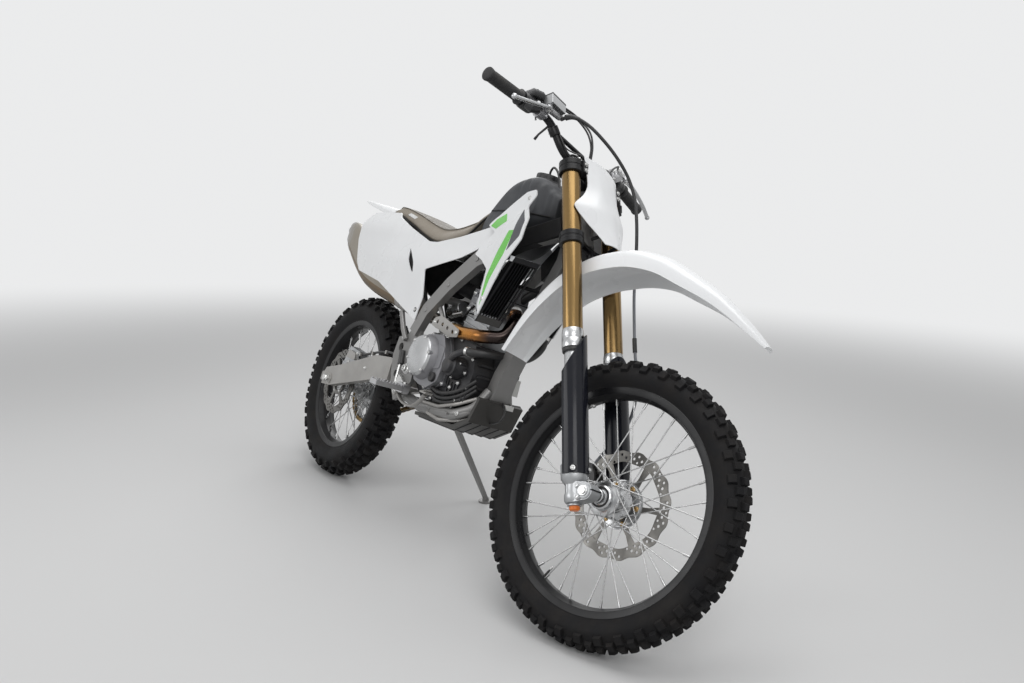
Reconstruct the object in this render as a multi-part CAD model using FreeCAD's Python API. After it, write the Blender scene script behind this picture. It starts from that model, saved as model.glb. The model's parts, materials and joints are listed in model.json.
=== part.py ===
import FreeCAD, Part
import math
import os

# Trail motorcycle, parked on its side stand with the bars turned a little to the left.
#
# Every piece is first built upright and steering straight ahead, in the machine's own frame:
# X forward, Y to the rider's left, Z up, in millimetres, with the origin on the ground under
# the rear axle. The steered pieces then turn about the steering axis, and the whole machine
# pitches until both tyres touch the floor and leans over to the left onto its stand.

# Stance
LEAN = 17.7            # degrees to the left
STEER_LEFT = 16.0      # degrees to the left of straight ahead
LOCK = 43.0            # degrees from straight ahead to either steering stop
STOWED_TURN = 88.0     # degrees that the side stand folds back

# Rolling chassis
WHEELBASE = 1435.0
RAKE = 26.7            # degrees from vertical
TRAIL = 107.0
FRONT_TYRE_R = 349.0   # 21 inch wheel, out to the lugs' tips
FRONT_TYRE_HALF = 45.0
FRONT_RIM_R = 262.0    # bead seat
FRONT_RIM_HALF = 25.0
FRONT_LUGS = 38        # rows of outer lugs, with a middle lug between each two
FRONT_LUG_DEPTH = 11.0
REAR_TYRE_R = 333.0    # 18 inch wheel, out to the lugs' tips
REAR_TYRE_HALF = 55.0
REAR_RIM_R = 224.0
REAR_RIM_HALF = 31.0
REAR_LUGS = 32
REAR_LUG_DEPTH = 13.0
LUG_SHARE = 0.34       # a lug's length, as a share of its row's pitch
RIM_DEPTH = 13.0       # bead seat down to the rim's inner face
SPOKES_PER_SIDE = 18
SPOKE_R = 1.6
NIPPLE_R = 3.0
NIPPLE_LENGTH = 16.0
HUB_FLANGE_R = 43.0
HUB_BARREL_R = 24.0
HUB_FLANGE_IN = 27.0   # flange faces, from the wheel's centre plane
HUB_FLANGE_OUT = 33.0

# Brakes and final drive
FRONT_DISC_R = 135.0
FRONT_DISC_Y = 52.0
FRONT_DISC_THICK = 3.5
REAR_DISC_R = 120.0
REAR_DISC_Y = -64.0
REAR_DISC_THICK = 4.5
DISC_PETALS = 16
PAD_GAP = 5.2          # caliper clear of its disc, each side
CHAIN_PITCH = 15.875
REAR_TEETH = 48
FRONT_TEETH = 13
CHAIN_Y = 69.0
CHAIN_WIDTH = 18.0
CHAIN_HEIGHT = 14.0
SPROCKET_THICK = 7.0
SPROCKET_CLEAR = 0.6   # sprocket's rim inside the chain

# Fork and steering
FORK_HALF_SPAN = 104.0
FORK_LEAD = 25.0       # legs ahead of the steering axis
FORK_TOP = 903.0       # all heights of the fork run along the steering axis from axle level
UPPER_CLAMP_THICK = 36.0
LOWER_CLAMP = 670.0
LOWER_CLAMP_THICK = 34.0
OUTER_TUBE_R = 25.5
OUTER_TUBE_END = 362.0
COLLAR_R = 28.0
COLLAR_LENGTH = 52.0
INNER_TUBE_R = 21.5
GUARD_R = 36.0
GUARD_WALL = 3.0
GUARD_BOTTOM = 42.0
GUARD_TOP = 343.0      # guard's slanting top, at the leg's middle
GUARD_RISE = 1.28      # slope of that top to the front
GUARD_INWARD = 0.87    # and towards the wheel
CASTING_TOP = 70.0
STEM_R = 15.0
HEAD_TUBE_R = 27.0
HEAD_TUBE_GAP = 6.0    # head tube clear of both clamps
FRONT_AXLE_R = 8.5
REAR_AXLE_R = 10.0
BORE_CLEAR = 0.3

# Handlebar
BAR_R = 11.1
BAR_HALF = 400.0
BAR_CLAMP_UP = 948.0
BAR_BEND_UP = 1020.0
BAR_END_RISE = 12.0    # bar's ends above its outer bends
BAR_BEND_BACK = -14.0
BAR_END_BACK = -38.0
BAR_OUTER_RUN = 252.0  # outer bend to bar end, across the machine
BAR_BEND_RUN = 54.0    # inner bend to outer bend, across the machine
BAR_CAP_HALF = 64.0    # outer face of the bar clamps
GRIP_R = 16.5
GRIP_LENGTH = 124.0
GRIP_PROUD = 4.0       # grip past the bar's end
LEVER_INBOARD = 68.0   # lever's eye from the grip's inner end

# Rear end
PIVOT_X = 530.0
PIVOT_Z = 472.0
ARM_IN = 84.0
ARM_OUT = 109.0
PLATE_IN = 101.0       # frame plates either side of the swingarm pivot
PLATE_THICK = 12.0
PANEL_Y = 132.0        # outer face of the side panels
SHROUD_Y = 146.0
SKIN = 3.2             # plastic panels
LOUVRE_SLATS = 9
LOUVRE_GROOVE = 9.0
CROSS_TUBE_R = 12.0
LINK_PIN_R = 8.0       # swingarm pin that the shock stands on

# Engine
ENGINE_LEFT = 54.0
ENGINE_RIGHT = -88.0
CLUTCH_X = 623.0
CLUTCH_Z = 532.0
CLUTCH_R = 62.0
CLUTCH_FACE = -148.0
SHAFT_X = 598.0        # drive sprocket's shaft
SHAFT_Z = 488.0

# Side stand: its hinge on the frame, and its foot on the floor in the leaned frame
STAND_X = 515.0
STAND_Y = 124.0
STAND_Z = 345.0
STAND_FOOT_X = 536.0
STAND_FOOT_Y = 347.0
STAND_FOOT_R = 24.0
PEG_TOP = 424.0

rake = math.radians(RAKE)
AXIS_UP = FreeCAD.Vector(-math.sin(rake), 0, math.cos(rake))
AXIS_FORWARD = FreeCAD.Vector(math.cos(rake), 0, math.sin(rake))
SIDEWAYS = FreeCAD.Vector(0, 1, 0)
AXLE_LEAD = FRONT_TYRE_R * math.sin(rake) - TRAIL * math.cos(rake)
FRONT_AXLE = FreeCAD.Vector(WHEELBASE, 0, FRONT_TYRE_R)
AXIS_FOOT = FRONT_AXLE - AXIS_FORWARD * AXLE_LEAD
REAR_AXLE = FreeCAD.Vector(0, 0, REAR_TYRE_R)
PIVOT = FreeCAD.Vector(PIVOT_X, 0, PIVOT_Z)
BAR_BEND_Y = BAR_HALF - BAR_OUTER_RUN
BAR_INNER_Y = BAR_BEND_Y - BAR_BEND_RUN
GRIP_IN = BAR_HALF + GRIP_PROUD - GRIP_LENGTH
LEVER_PIVOT = GRIP_IN - LEVER_INBOARD
HEAD_LOW = LOWER_CLAMP + LOWER_CLAMP_THICK / 2 + HEAD_TUBE_GAP
HEAD_HIGH = FORK_TOP - UPPER_CLAMP_THICK - HEAD_TUBE_GAP
SHAFT = FreeCAD.Vector(SHAFT_X, 0, SHAFT_Z)
SHOCK_TOP = FreeCAD.Vector(585, 0, 715)
SHOCK_LINK = FreeCAD.Vector(430, 0, 455)


def at(x, y, z):
    return FreeCAD.Vector(x, y, z)


def fork(up, ahead, y=0.0):
    """Point given along the steering axis, ahead of it and to the left."""
    return AXIS_FOOT + AXIS_UP * up + AXIS_FORWARD * ahead + SIDEWAYS * y


def rod(a, b, radius):
    return Part.makeCylinder(radius, (b - a).Length, a, b - a)


def cross_rod(centre, y0, y1, radius):
    """Round bar along Y."""
    return Part.makeCylinder(radius, abs(y1 - y0), at(centre.x, min(y0, y1), centre.z), SIDEWAYS)


def polygon(points):
    return Part.makePolygon(points + [points[0]])


def plate(outline, y0, y1):
    """Flat piece with an (x, z) outline, from y0 to y1."""
    face = Part.Face(polygon([at(x, y0, z) for x, z in outline]))
    return face.extrude(at(0, y1 - y0, 0))


def fork_plate(outline, y0, y1):
    """Flat piece with an (up, ahead) outline on the fork's frame, from y0 to y1."""
    face = Part.Face(polygon([fork(up, ahead, y0) for up, ahead in outline]))
    return face.extrude(at(0, y1 - y0, 0))


def fork_block(up0, up1, ahead0, ahead1, y0, y1):
    return fork_plate([(up0, ahead0), (up0, ahead1), (up1, ahead1), (up1, ahead0)], y0, y1)


def turned(profile, centre):
    """Ring or hub turned about a Y axis through centre, from (radius, y) points."""
    face = Part.Face(polygon([centre + at(0, y, r) for r, y in profile]))
    return face.revolve(centre, SIDEWAYS, 360)


def loft(sections, ruled=True):
    return Part.makeLoft([polygon(s) for s in sections], True, ruled)


def mirrored(shape):
    return shape.mirror(at(0, 0, 0), SIDEWAYS)


def both(shape):
    return [shape, mirrored(shape)]


def fused(shapes):
    return shapes[0].multiFuse(shapes[1:]).removeSplitter() if len(shapes) > 1 else shapes[0]


def bend_path(points, bend=None):
    """Straight runs joined by tangent arcs; each arc as large as its runs allow unless given."""
    edges = []
    start = points[0]
    for before, corner, after in zip(points, points[1:], points[2:]):
        into = (corner - before).normalize()
        out = (after - corner).normalize()
        half = into.getAngle(out) / 2
        shorter = min((corner - before).Length, (after - corner).Length)
        trim = min(0.45 * shorter, bend * math.tan(half)) if bend else 0.45 * shorter
        radius = trim / math.tan(half)
        first = corner - into * trim
        last = corner + out * trim
        to_centre = (out - into).normalize()
        middle = corner + to_centre * (radius / math.cos(half) - radius)
        edges.append(Part.LineSegment(start, first).toShape())
        edges.append(Part.Arc(first, middle, last).toShape())
        start = last
    edges.append(Part.LineSegment(start, points[-1]).toShape())
    return Part.Wire(edges)


def tube(points, radius, bend=None):
    """Round bar along a bent path."""
    if len(points) == 2:
        return rod(points[0], points[1], radius)
    path = bend_path(points, bend)
    circle = Part.Wire(Part.Circle(points[0], points[1] - points[0], radius).toShape())
    return path.makePipeShell([circle], True, False)


def round_section(x, y, z, half_y, half_z, corner):
    """Rounded rectangle across the machine."""
    def corner_arc(sy, sz):
        cy, cz = y + sy * (half_y - corner), z + sz * (half_z - corner)
        a, b = at(x, cy + sy * corner, cz), at(x, cy, cz + sz * corner)
        mid = at(x, cy + sy * corner * math.sqrt(0.5), cz + sz * corner * math.sqrt(0.5))
        return a, mid, b
    a1, m1, b1 = corner_arc(1, 1)
    a2, m2, b2 = corner_arc(-1, 1)
    a3, m3, b3 = corner_arc(-1, -1)
    a4, m4, b4 = corner_arc(1, -1)
    edges = [Part.Arc(a1, m1, b1), Part.LineSegment(b1, b2), Part.Arc(b2, m2, a2),
             Part.LineSegment(a2, a3), Part.Arc(a3, m3, b3), Part.LineSegment(b3, b4),
             Part.Arc(b4, m4, a4), Part.LineSegment(a4, a1)]
    return Part.Wire([edge.toShape() for edge in edges])


def body_loft(stations, ruled=False):
    """Smooth body through rounded sections (x, y, z, half_y, half_z, corner)."""
    return Part.makeLoft([round_section(*s) for s in stations], True, ruled)


def skin_panel(outline, stations, thickness):
    """Thin panel: an (x, z) outline cut from a curved skin. A station is x and its (z, y) line."""
    sections = []
    for x, line in stations:
        outer = [at(x, y, z) for z, y in line]
        inner = [at(x, y + thickness, z) for z, y in reversed(line)]
        sections.append(outer + inner)
    return loft(sections).common(plate(outline, -300, 0))


def wheel_rim(centre, seat_r, half):
    inner = seat_r - RIM_DEPTH
    lip = seat_r + 11
    side = [(inner, 0.36 * half), (seat_r - 5, half - 3), (seat_r - 5, half + 2.5),
            (lip, half + 5.5), (lip + 2, half + 4), (lip + 1, half + 2), (seat_r - 0.3, half)]
    other = [(r, -y) for r, y in reversed(side)]
    return turned(side + other, centre)


def tyre_sections(seat_r, rim_half, tyre_r, half, depth):
    """Tread lines from the shoulder to the middle: (y, carcass radius, lug radius)."""
    crown_r = tyre_r - 1.03 * half
    middle, edge = 0.46 * half, 0.98 * half
    lines = []
    for y in (edge, middle):
        tip = crown_r + math.sqrt((1.03 * half) ** 2 - y ** 2)
        lines.append((y, tip - depth, tip))
    return lines


def wheel_tyre(centre, seat_r, rim_half, tyre_r, half, rows, depth):
    """Faceted tyre. Outer lugs on both shoulders stand between the lugs of the middle."""
    (edge, edge_base, edge_tip), (middle, middle_base, middle_tip) = tyre_sections(
        seat_r, rim_half, tyre_r, half, depth)
    pitch = 2 * math.pi / rows
    lug = LUG_SHARE * pitch
    faces = []

    def on(r, y, angle):
        return centre + at(r * math.cos(angle), y, r * math.sin(angle))

    def face(*points):
        faces.append(Part.Face(polygon(list(points))))

    bead = rim_half - 0.4
    seat = seat_r / math.cos(0.5 * pitch) + 0.1
    wall = [(seat, bead), (seat_r + 13.8, bead + 1.6), (seat_r + 18, rim_half + 6),
            (tyre_r - 0.52 * (tyre_r - seat_r), half)]
    for i in range(rows):
        start = i * pitch
        a0, a1, b0, b1, c0 = (start + k for k in (0.0, lug, 0.5 * pitch, 0.5 * pitch + lug, pitch))
        face(on(seat, bead, a0), on(seat, bead, c0), on(seat, -bead, c0), on(seat, -bead, a0))
        steps = ((a0, a1), (a1, b0), (b0, b1), (b1, c0))
        for low, high in steps:
            if low != b0:
                face(on(middle_base, middle, low), on(middle_base, middle, high),
                     on(middle_base, -middle, high), on(middle_base, -middle, low))
                continue
            for y in (middle, -middle):
                face(on(middle_tip, y, low), on(middle_tip, y, high), on(tyre_r, 0, high), on(tyre_r, 0, low))
            for angle in (low, high):
                face(on(middle_base, middle, angle), on(middle_tip, middle, angle), on(tyre_r, 0, angle),
                     on(middle_tip, -middle, angle), on(middle_base, -middle, angle))
        for side in (1, -1):
            ym, ye = side * middle, side * edge
            for low, high in steps:
                raised = low == a0
                r0, r1 = (middle_tip, edge_tip) if raised else (middle_base, edge_base)
                face(on(r0, ym, low), on(r0, ym, high), on(r1, ye, high), on(r1, ye, low))
                if raised:
                    for angle in (low, high):
                        face(on(middle_base, ym, angle), on(r0, ym, angle), on(r1, ye, angle),
                             on(edge_base, ye, angle))
                    face(on(edge_base, ye, low), on(edge_base, ye, high), on(r1, ye, high), on(r1, ye, low))
                if raised or low == b0:
                    face(on(middle_base, ym, low), on(middle_base, ym, high), on(middle_tip, ym, high),
                         on(middle_tip, ym, low))
            r, y = wall[-1][0], side * wall[-1][1]
            ring = [on(edge_base, ye, angle) for angle in (a0, a1, b0, b1, c0)]
            low_point, high_point = on(r, y, a0), on(r, y, c0)
            face(low_point, ring[0], ring[1])
            face(low_point, ring[1], ring[2])
            face(low_point, ring[2], high_point)
            face(high_point, ring[2], ring[3])
            face(high_point, ring[3], ring[4])
            for (r0, y0), (r1, y1) in zip(wall, wall[1:]):
                face(on(r0, side * y0, a0), on(r0, side * y0, c0), on(r1, side * y1, c0), on(r1, side * y1, a0))
    return sewn(faces)


def sewn(faces):
    """Solid within flat faces that share their edges."""
    shell = Part.makeShell(faces)
    shell.sewShape()
    solid = Part.makeSolid(shell.Shells[0])
    if solid.Volume < 0:
        solid.reverse()
    return solid


def wheel_spokes(centre, seat_r, stand_off):
    """Crossed wire spokes with their nipples, none touching another."""
    rim_r = seat_r - RIM_DEPTH - 0.8
    step = 360.0 / SPOKES_PER_SIDE
    spokes = []
    for side in (1, -1):
        for i in range(SPOKES_PER_SIDE):
            outer = i % 2 == 0
            rim_angle = math.radians(i * step + (0 if side > 0 else step / 2))
            hub_angle = rim_angle + math.radians(66 if outer else -66)
            hub_y = side * (HUB_FLANGE_OUT + stand_off if outer else HUB_FLANGE_IN - 3.8)
            hub_r = HUB_FLANGE_R - 4
            start = centre + at(hub_r * math.cos(hub_angle), hub_y, hub_r * math.sin(hub_angle))
            end = centre + at(rim_r * math.cos(rim_angle), side * 6.0, rim_r * math.sin(rim_angle))
            run = (end - start).normalize()
            spokes.append(rod(start, end, SPOKE_R).fuse(rod(end - run * NIPPLE_LENGTH, end, NIPPLE_R)))
    return spokes


def petal_disc(centre, y, radius, inner_r, thickness, carrier_r):
    """Brake disc with a wavy rim, on six arms from its bolt ring."""
    def ring(mean, wave, points):
        out = []
        for i in range(points):
            angle = 2 * math.pi * i / points
            r = mean - wave * (0.5 + 0.5 * math.cos(DISC_PETALS * angle))
            out.append(centre + at(r * math.cos(angle), y - thickness / 2, r * math.sin(angle)))
        return Part.Face(polygon(out))
    band = ring(radius, 6.0, DISC_PETALS * 6).cut(ring(inner_r, -5.0, DISC_PETALS * 4))
    parts = [band.extrude(at(0, thickness, 0))]
    low, high = y - thickness / 2, y + thickness / 2
    parts.append(cross_rod(centre, low, high, carrier_r + 8))
    for i in range(6):
        angle = 60 * i + 12
        arm = Part.makeBox(inner_r + 10 - carrier_r, thickness, 14, at(carrier_r - 2, low, -7))
        arm.rotate(at(0, 0, 0), SIDEWAYS, angle)
        arm.translate(centre)
        parts.append(arm)
    return fused(parts).cut(cross_rod(centre, low - 1, high + 1, carrier_r - 6))


def front_hub():
    disc_face = FRONT_DISC_Y - FRONT_DISC_THICK / 2
    bore = FRONT_AXLE_R + BORE_CLEAR
    return turned([
        (bore, -66), (17, -66), (17, -50), (27, -48), (30, -38), (HUB_BARREL_R + 4, -HUB_FLANGE_OUT),
        (HUB_FLANGE_R, -HUB_FLANGE_OUT), (HUB_FLANGE_R, -HUB_FLANGE_IN),
        (HUB_BARREL_R, -HUB_FLANGE_IN + 4), (HUB_BARREL_R, HUB_FLANGE_IN - 4),
        (HUB_FLANGE_R, HUB_FLANGE_IN), (HUB_FLANGE_R, HUB_FLANGE_OUT), (34, HUB_FLANGE_OUT),
        (34, disc_face - 7), (58, disc_face - 7), (58, disc_face), (26, disc_face),
        (24, 60), (17, 62), (17, 66), (bore, 66)], FRONT_AXLE)


def rear_hub():
    sprocket_face = CHAIN_Y - SPROCKET_THICK / 2
    disc_face = REAR_DISC_Y + REAR_DISC_THICK / 2
    bore = REAR_AXLE_R + BORE_CLEAR
    collar = ARM_IN - 6
    return turned([
        (bore, -collar), (18, -collar), (18, disc_face - 8), (26, disc_face), (46, disc_face),
        (46, disc_face + 6), (30, disc_face + 8), (30, -HUB_FLANGE_OUT),
        (HUB_FLANGE_R, -HUB_FLANGE_OUT), (HUB_FLANGE_R, -HUB_FLANGE_IN),
        (HUB_BARREL_R + 4, -HUB_FLANGE_IN + 4), (HUB_BARREL_R + 4, HUB_FLANGE_IN - 4),
        (HUB_FLANGE_R, HUB_FLANGE_IN), (HUB_FLANGE_R, HUB_FLANGE_OUT), (36, HUB_FLANGE_OUT),
        (38, sprocket_face - 9), (64, sprocket_face - 7), (64, sprocket_face), (26, sprocket_face),
        (18, sprocket_face + 6), (18, collar), (bore, collar)], REAR_AXLE)


def pitch_radius(teeth):
    return CHAIN_PITCH / (2 * math.sin(math.pi / teeth))


def rear_sprocket():
    outer = pitch_radius(REAR_TEETH) - CHAIN_HEIGHT / 2 - SPROCKET_CLEAR
    y0 = CHAIN_Y - SPROCKET_THICK / 2
    body = cross_rod(REAR_AXLE, y0, y0 + SPROCKET_THICK, outer)
    cuts = [cross_rod(REAR_AXLE, y0 - 1, y0 + SPROCKET_THICK + 1, 50)]
    for i in range(6):
        angle = math.pi * (i + 0.5) / 3
        middle = REAR_AXLE + at(86 * math.cos(angle), 0, 86 * math.sin(angle))
        cuts.append(cross_rod(middle, y0 - 1, y0 + SPROCKET_THICK + 1, 15))
    return body.cut(cuts[0].multiFuse(cuts[1:]))


def chain_outline(grow):
    """Closed line round both sprockets, grown outward from the chain's pitch line."""
    r1 = pitch_radius(REAR_TEETH) + grow
    r2 = pitch_radius(FRONT_TEETH) + grow
    span = SHAFT - REAR_AXLE
    base = math.atan2(span.z, span.x)
    open_angle = math.acos((r1 - r2) / span.Length)

    def on(centre, r, angle):
        return centre + at(r * math.cos(angle), CHAIN_Y - CHAIN_WIDTH / 2, r * math.sin(angle))
    top, low = base + open_angle, base - open_angle
    edges = [Part.LineSegment(on(REAR_AXLE, r1, top), on(SHAFT, r2, top)),
             Part.Arc(on(SHAFT, r2, top), on(SHAFT, r2, base), on(SHAFT, r2, low)),
             Part.LineSegment(on(SHAFT, r2, low), on(REAR_AXLE, r1, low)),
             Part.Arc(on(REAR_AXLE, r1, low), on(REAR_AXLE, r1, base + math.pi),
                      on(REAR_AXLE, r1, top))]
    return Part.Face(Part.Wire([edge.toShape() for edge in edges]))


def drive_chain():
    loop = chain_outline(CHAIN_HEIGHT / 2).cut(chain_outline(-CHAIN_HEIGHT / 2))
    return loop.extrude(at(0, CHAIN_WIDTH, 0))


def drive_sprocket():
    outer = pitch_radius(FRONT_TEETH) - CHAIN_HEIGHT / 2 - SPROCKET_CLEAR
    y0 = CHAIN_Y - SPROCKET_THICK / 2
    return fused([cross_rod(SHAFT, y0, y0 + SPROCKET_THICK, outer),
                  cross_rod(SHAFT, ENGINE_LEFT, y0 + SPROCKET_THICK + 6, 14)])


def head_tube():
    return rod(fork(HEAD_LOW, 0), fork(HEAD_HIGH, 0), HEAD_TUBE_R)


def head_point(x, y, z):
    """Point given from the middle of the head tube."""
    return fork((HEAD_LOW + HEAD_HIGH) / 2, 0) + at(x, y, z)


def head_bore():
    return rod(fork(LOWER_CLAMP, 0), fork(FORK_TOP, 0), STEM_R + BORE_CLEAR)


def spar():
    """Right frame spar, from the head down to the swingarm plate."""
    head = head_point(-7, 0, -29)
    line = [(head.x, -26, head.z, 50), (880, -74, 928, 50), (752, -111, 848, 50), (640, -112, 757, 48),
            (552, -112, 665, 46), (515, -112, 585, 44)]
    sections = []
    for i, (x, y, z, height) in enumerate(line):
        before = line[max(i - 1, 0)]
        after = line[min(i + 1, len(line) - 1)]
        run = at(after[0] - before[0], 0, after[2] - before[2]).normalize()
        up = at(run.z, 0, -run.x) * (height / 2)
        side = at(0, 12, 0)
        middle = at(x, y, z)
        sections.append([middle + up + side, middle + up - side, middle - up - side, middle - up + side])
    return loft(sections)


def pivot_plate():
    """Right plate between spar and footpeg, with its lightening holes."""
    outline = [(498, 600), (545, 600), (556, 560), (572, 500), (578, 440), (560, 395), (505, 364),
               (470, 400), (440, 440), (418, 500), (424, 560), (470, 572)]
    body = plate(outline, -PLATE_IN - PLATE_THICK, -PLATE_IN)
    for x, z, r in ((455, 530, 14), (470, 445, 11), (500, 410, 9), (484, 492, 8)):
        body = body.cut(cross_rod(at(x, 0, z), -PLATE_IN - 20, -PLATE_IN + 5, r))
    return body


def main_frame():
    parts = both(spar()) + both(pivot_plate()) + [head_tube()]
    for middle in (SHOCK_TOP, at(552, 0, 562), at(503, 0, 380)):
        parts.append(cross_rod(middle, -PLATE_IN, PLATE_IN, CROSS_TUBE_R))
    gusset = fork_plate([(HEAD_LOW + 13, -20), (HEAD_LOW + 13, -78), (HEAD_HIGH - 49, -100),
                         (HEAD_HIGH - 21, -20)], -10, 10)
    frame = fused(parts + [gusset])
    return frame.cut(head_bore()).cut(cross_rod(PIVOT, -130, 130, 9 + BORE_CLEAR)).cut(tank())


def lower_cradle():
    """Down tube from the head, splitting into two rails under the engine."""
    head = head_point(0, 0, 0)
    down = loft([[at(x - 20, -w, z), at(x + 20, -w, z), at(x + 20, w, z), at(x - 20, w, z)]
                 for x, z, w in ((head.x - 25, head.z - 47, 18), (head.x - 21, head.z - 115, 20),
                               (922, 623, 27), (897, 550, 29), (880, 440, 33))])
    rail = tube([at(880, -30, 470), at(880, -62, 424), at(820, -84, 391), at(640, -87.9, 374),
                 at(520, -87.9, 389)], 13, 60)
    cross = cross_rod(at(640, 0, 375), -88, 88, 11)
    return fused([down, cross] + both(rail)).cut(main_frame())


def subframe():
    rail = tube([at(640, -86, 845), at(440, -80, 869), at(138, -72, 947.2), at(50, -66, 957),
                 at(-75, -58, 985)], 10, 80)
    strut = tube([at(505, -91, 580), at(440, -42, 640), at(300, -42, 800), at(230, -66, 922)], 8, 60)
    cross = cross_rod(at(-60, 0, 989), -60, 60, 8)
    return fused(both(rail) + both(strut) + [cross])


def swingarm():
    upper = [(-58, 346), (-44, 368), (60, 396), (300, 476), (400, 486), (420, 480)]
    lower = [(420, 412), (300, 390), (14, 312), (-50, 306)]
    arm = plate(upper + lower, -ARM_OUT, -ARM_IN)
    nose = plate([(345, 402), (345, 474), (470, 494), (PIVOT_X, PIVOT_Z + 21), (PIVOT_X, PIVOT_Z - 21),
                  (420, 412)], -98, -58).fuse(cross_rod(PIVOT, -98, -58, 21))
    box = plate([(345, 402), (345, 470), (412, 476), (412, 410)], -ARM_IN, ARM_IN)
    pin = cross_rod(SHOCK_LINK, -60, 60, LINK_PIN_R)
    body = fused(both(arm) + both(nose) + [box, pin])
    slot = cross_rod(REAR_AXLE, -130, 130, REAR_AXLE_R + BORE_CLEAR)
    return body.cut(slot).cut(cross_rod(PIVOT, -130, 130, 9 + BORE_CLEAR))


def rear_shock():
    run = (SHOCK_TOP - SHOCK_LINK).normalize()
    low = SHOCK_LINK + run * (LINK_PIN_R + BORE_CLEAR)
    top = SHOCK_TOP - run * (CROSS_TUBE_R + BORE_CLEAR)
    return fused([rod(low, top, 11), rod(low + run * 48, top - run * 58, 30),
                  rod(top - run * 70, top - run * 14, 24)])


def engine_case():
    outline = [(568, 440), (560, 520), (596, 596), (690, 626), (836, 604), (862, 530), (852, 440),
               (810, 412), (620, 406)]
    return plate(outline, ENGINE_RIGHT, ENGINE_LEFT)


def round_cover(x, z, radius, y0, y1, rim):
    """Cover with a raised edge ring."""
    step = 8 if y1 > y0 else -8
    return fused([cross_rod(at(x, 0, z), y0, y1 - step, radius + rim),
                  cross_rod(at(x, 0, z), y1 - step, y1, radius)])


def clutch_cover():
    neck = plate([(600, 450), (575, 520), (600, 596), (700, 606), (740, 540), (730, 470), (680, 440)],
                 ENGINE_RIGHT, -120)
    return fused([neck, round_cover(CLUTCH_X, CLUTCH_Z, CLUTCH_R - 5, -119, CLUTCH_FACE, 5)])


def water_pump():
    return fused([cross_rod(at(790, 0, 528), ENGINE_RIGHT, -128, 30),
                  cross_rod(at(790, 0, 528), -128, -140, 20),
                  tube([at(800, -112, 548), at(830, -112, 580)], 10)])


def generator_cover():
    return round_cover(745, 515, 60, ENGINE_LEFT, 104, 6)


def cylinder():
    return plate([(690, 627.3), (702, 700), (832, 690), (822, 607.5)], -62, 50)


def cylinder_head():
    lower = plate([(694, 701), (706, 770), (842, 758), (842, 690), (832, 691)], -66, 54)
    cover = plate([(712, 764), (722, 812), (828, 802), (834, 752)], -54, 46)
    return fused([lower, cover])


def exhaust_header():
    return tube([at(842.3, -4, 722), at(872, -4, 722), at(898, -30, 700), at(908, -52, 650),
                 at(868, -104, 634), at(780, -109, 629), at(650, -104, 636), at(560, -76, 648),
                 at(500, -78, 650), at(460.3, -78, 650)], 19)


def silencer():
    stations = [(460, -78, 650, 25, 25, 20), (356, -86, 690, 33, 46, 28), (133, -89, 735, 36, 60, 32),
                (10, -90, 772, 36, 63, 32), (-120, -90, 838, 35, 61, 32), (-195, -90, 872, 28, 47, 26)]
    return body_loft(stations)


def tank():
    stations = [(662, 0, 942, 82, 40, 20), (700, 0, 966, 88, 68, 26), (765, 0, 1004, 92, 100, 40),
                (840, 0, 1040, 86, 86, 40), (880, 0, 1045, 70, 68, 34), (908, 0, 1043, 50, 52, 26),
                (942, 0, 1039, 36, 38, 20)]
    return body_loft(stations)


def fuel_cap():
    return rod(at(806, 0, 1126), at(806, 0, 1144), 38).fuse(rod(at(806, 0, 1144), at(806, 0, 1150), 24))


def seat():
    """Seat: for each x the top and bottom heights and half widths, highest along the middle."""
    stations = [(60, 1004, 968, 62, 84), (138, 998, 958, 70, 90), (262, 976, 928, 74, 97),
                (400, 945, 890, 74, 102), (484, 944, 884, 72, 103), (560, 962, 898, 68, 102),
                (613, 984, 918, 62, 98), (655, 1014, 980, 56, 80), (700, 1054, 1030, 50, 56)]
    sections = []
    for x, top, low, half_top, half_low in stations:
        side = [at(x, half_low, low), at(x, half_low - 2, low + 0.35 * (top - low)),
                at(x, half_top, top - 7), at(x, half_top * 0.55, top - 1)]
        other = [at(p.x, -p.y, p.z) for p in reversed(side)]
        sections.append(side + other)
    return loft(sections).cut(tank())


def rear_fender():
    stations = [(59.7, 996, 962, 85), (0, 1000, 966, 92), (-120, 1010, 986, 84), (-230, 1020, 1004, 62),
                (-300, 1025, 1018, 38)]
    sections = []
    for x, top, edge, half in stations:
        outer = [at(x, half, edge), at(x, half * 0.8, top - 5), at(x, 0, top)]
        outer += [at(p.x, -p.y, p.z) for p in reversed(outer[:-1])]
        inner = [at(p.x, p.y * 0.96, p.z - SKIN) for p in reversed(outer)]
        sections.append(outer + inner)
    return loft(sections, False)


def side_panel():
    """Right side panel: number-plate area at the rear, a neck forward under the seat."""
    outline = [(-15, 957), (60, 962), (182, 966), (194, 950), (300, 917), (440, 880), (490, 882),
               (612, 909), (713, 938), (772, 956), (796, 938), (756, 893), (722, 874), (661, 845), (480, 788), (520, 700), (512, 623), (394, 658), (202, 716),
               (18, 738), (-18, 769), (-63, 851), (-70, 909)]
    y = -PANEL_Y
    stations = [(-80, [(600, y + 8), (800, y), (900, y), (1000, y + 26)]),
                (200, [(600, y), (800, y - 6), (900, y), (1000, y + 24)]),
                (450, [(600, y + 4), (800, y + 2), (900, y + 14), (1000, y + 26)]),
                (700, [(600, y + 4), (800, y + 6), (900, y + 18), (1000, y + 28)])]
    return skin_panel(outline, stations, SKIN)


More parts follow.
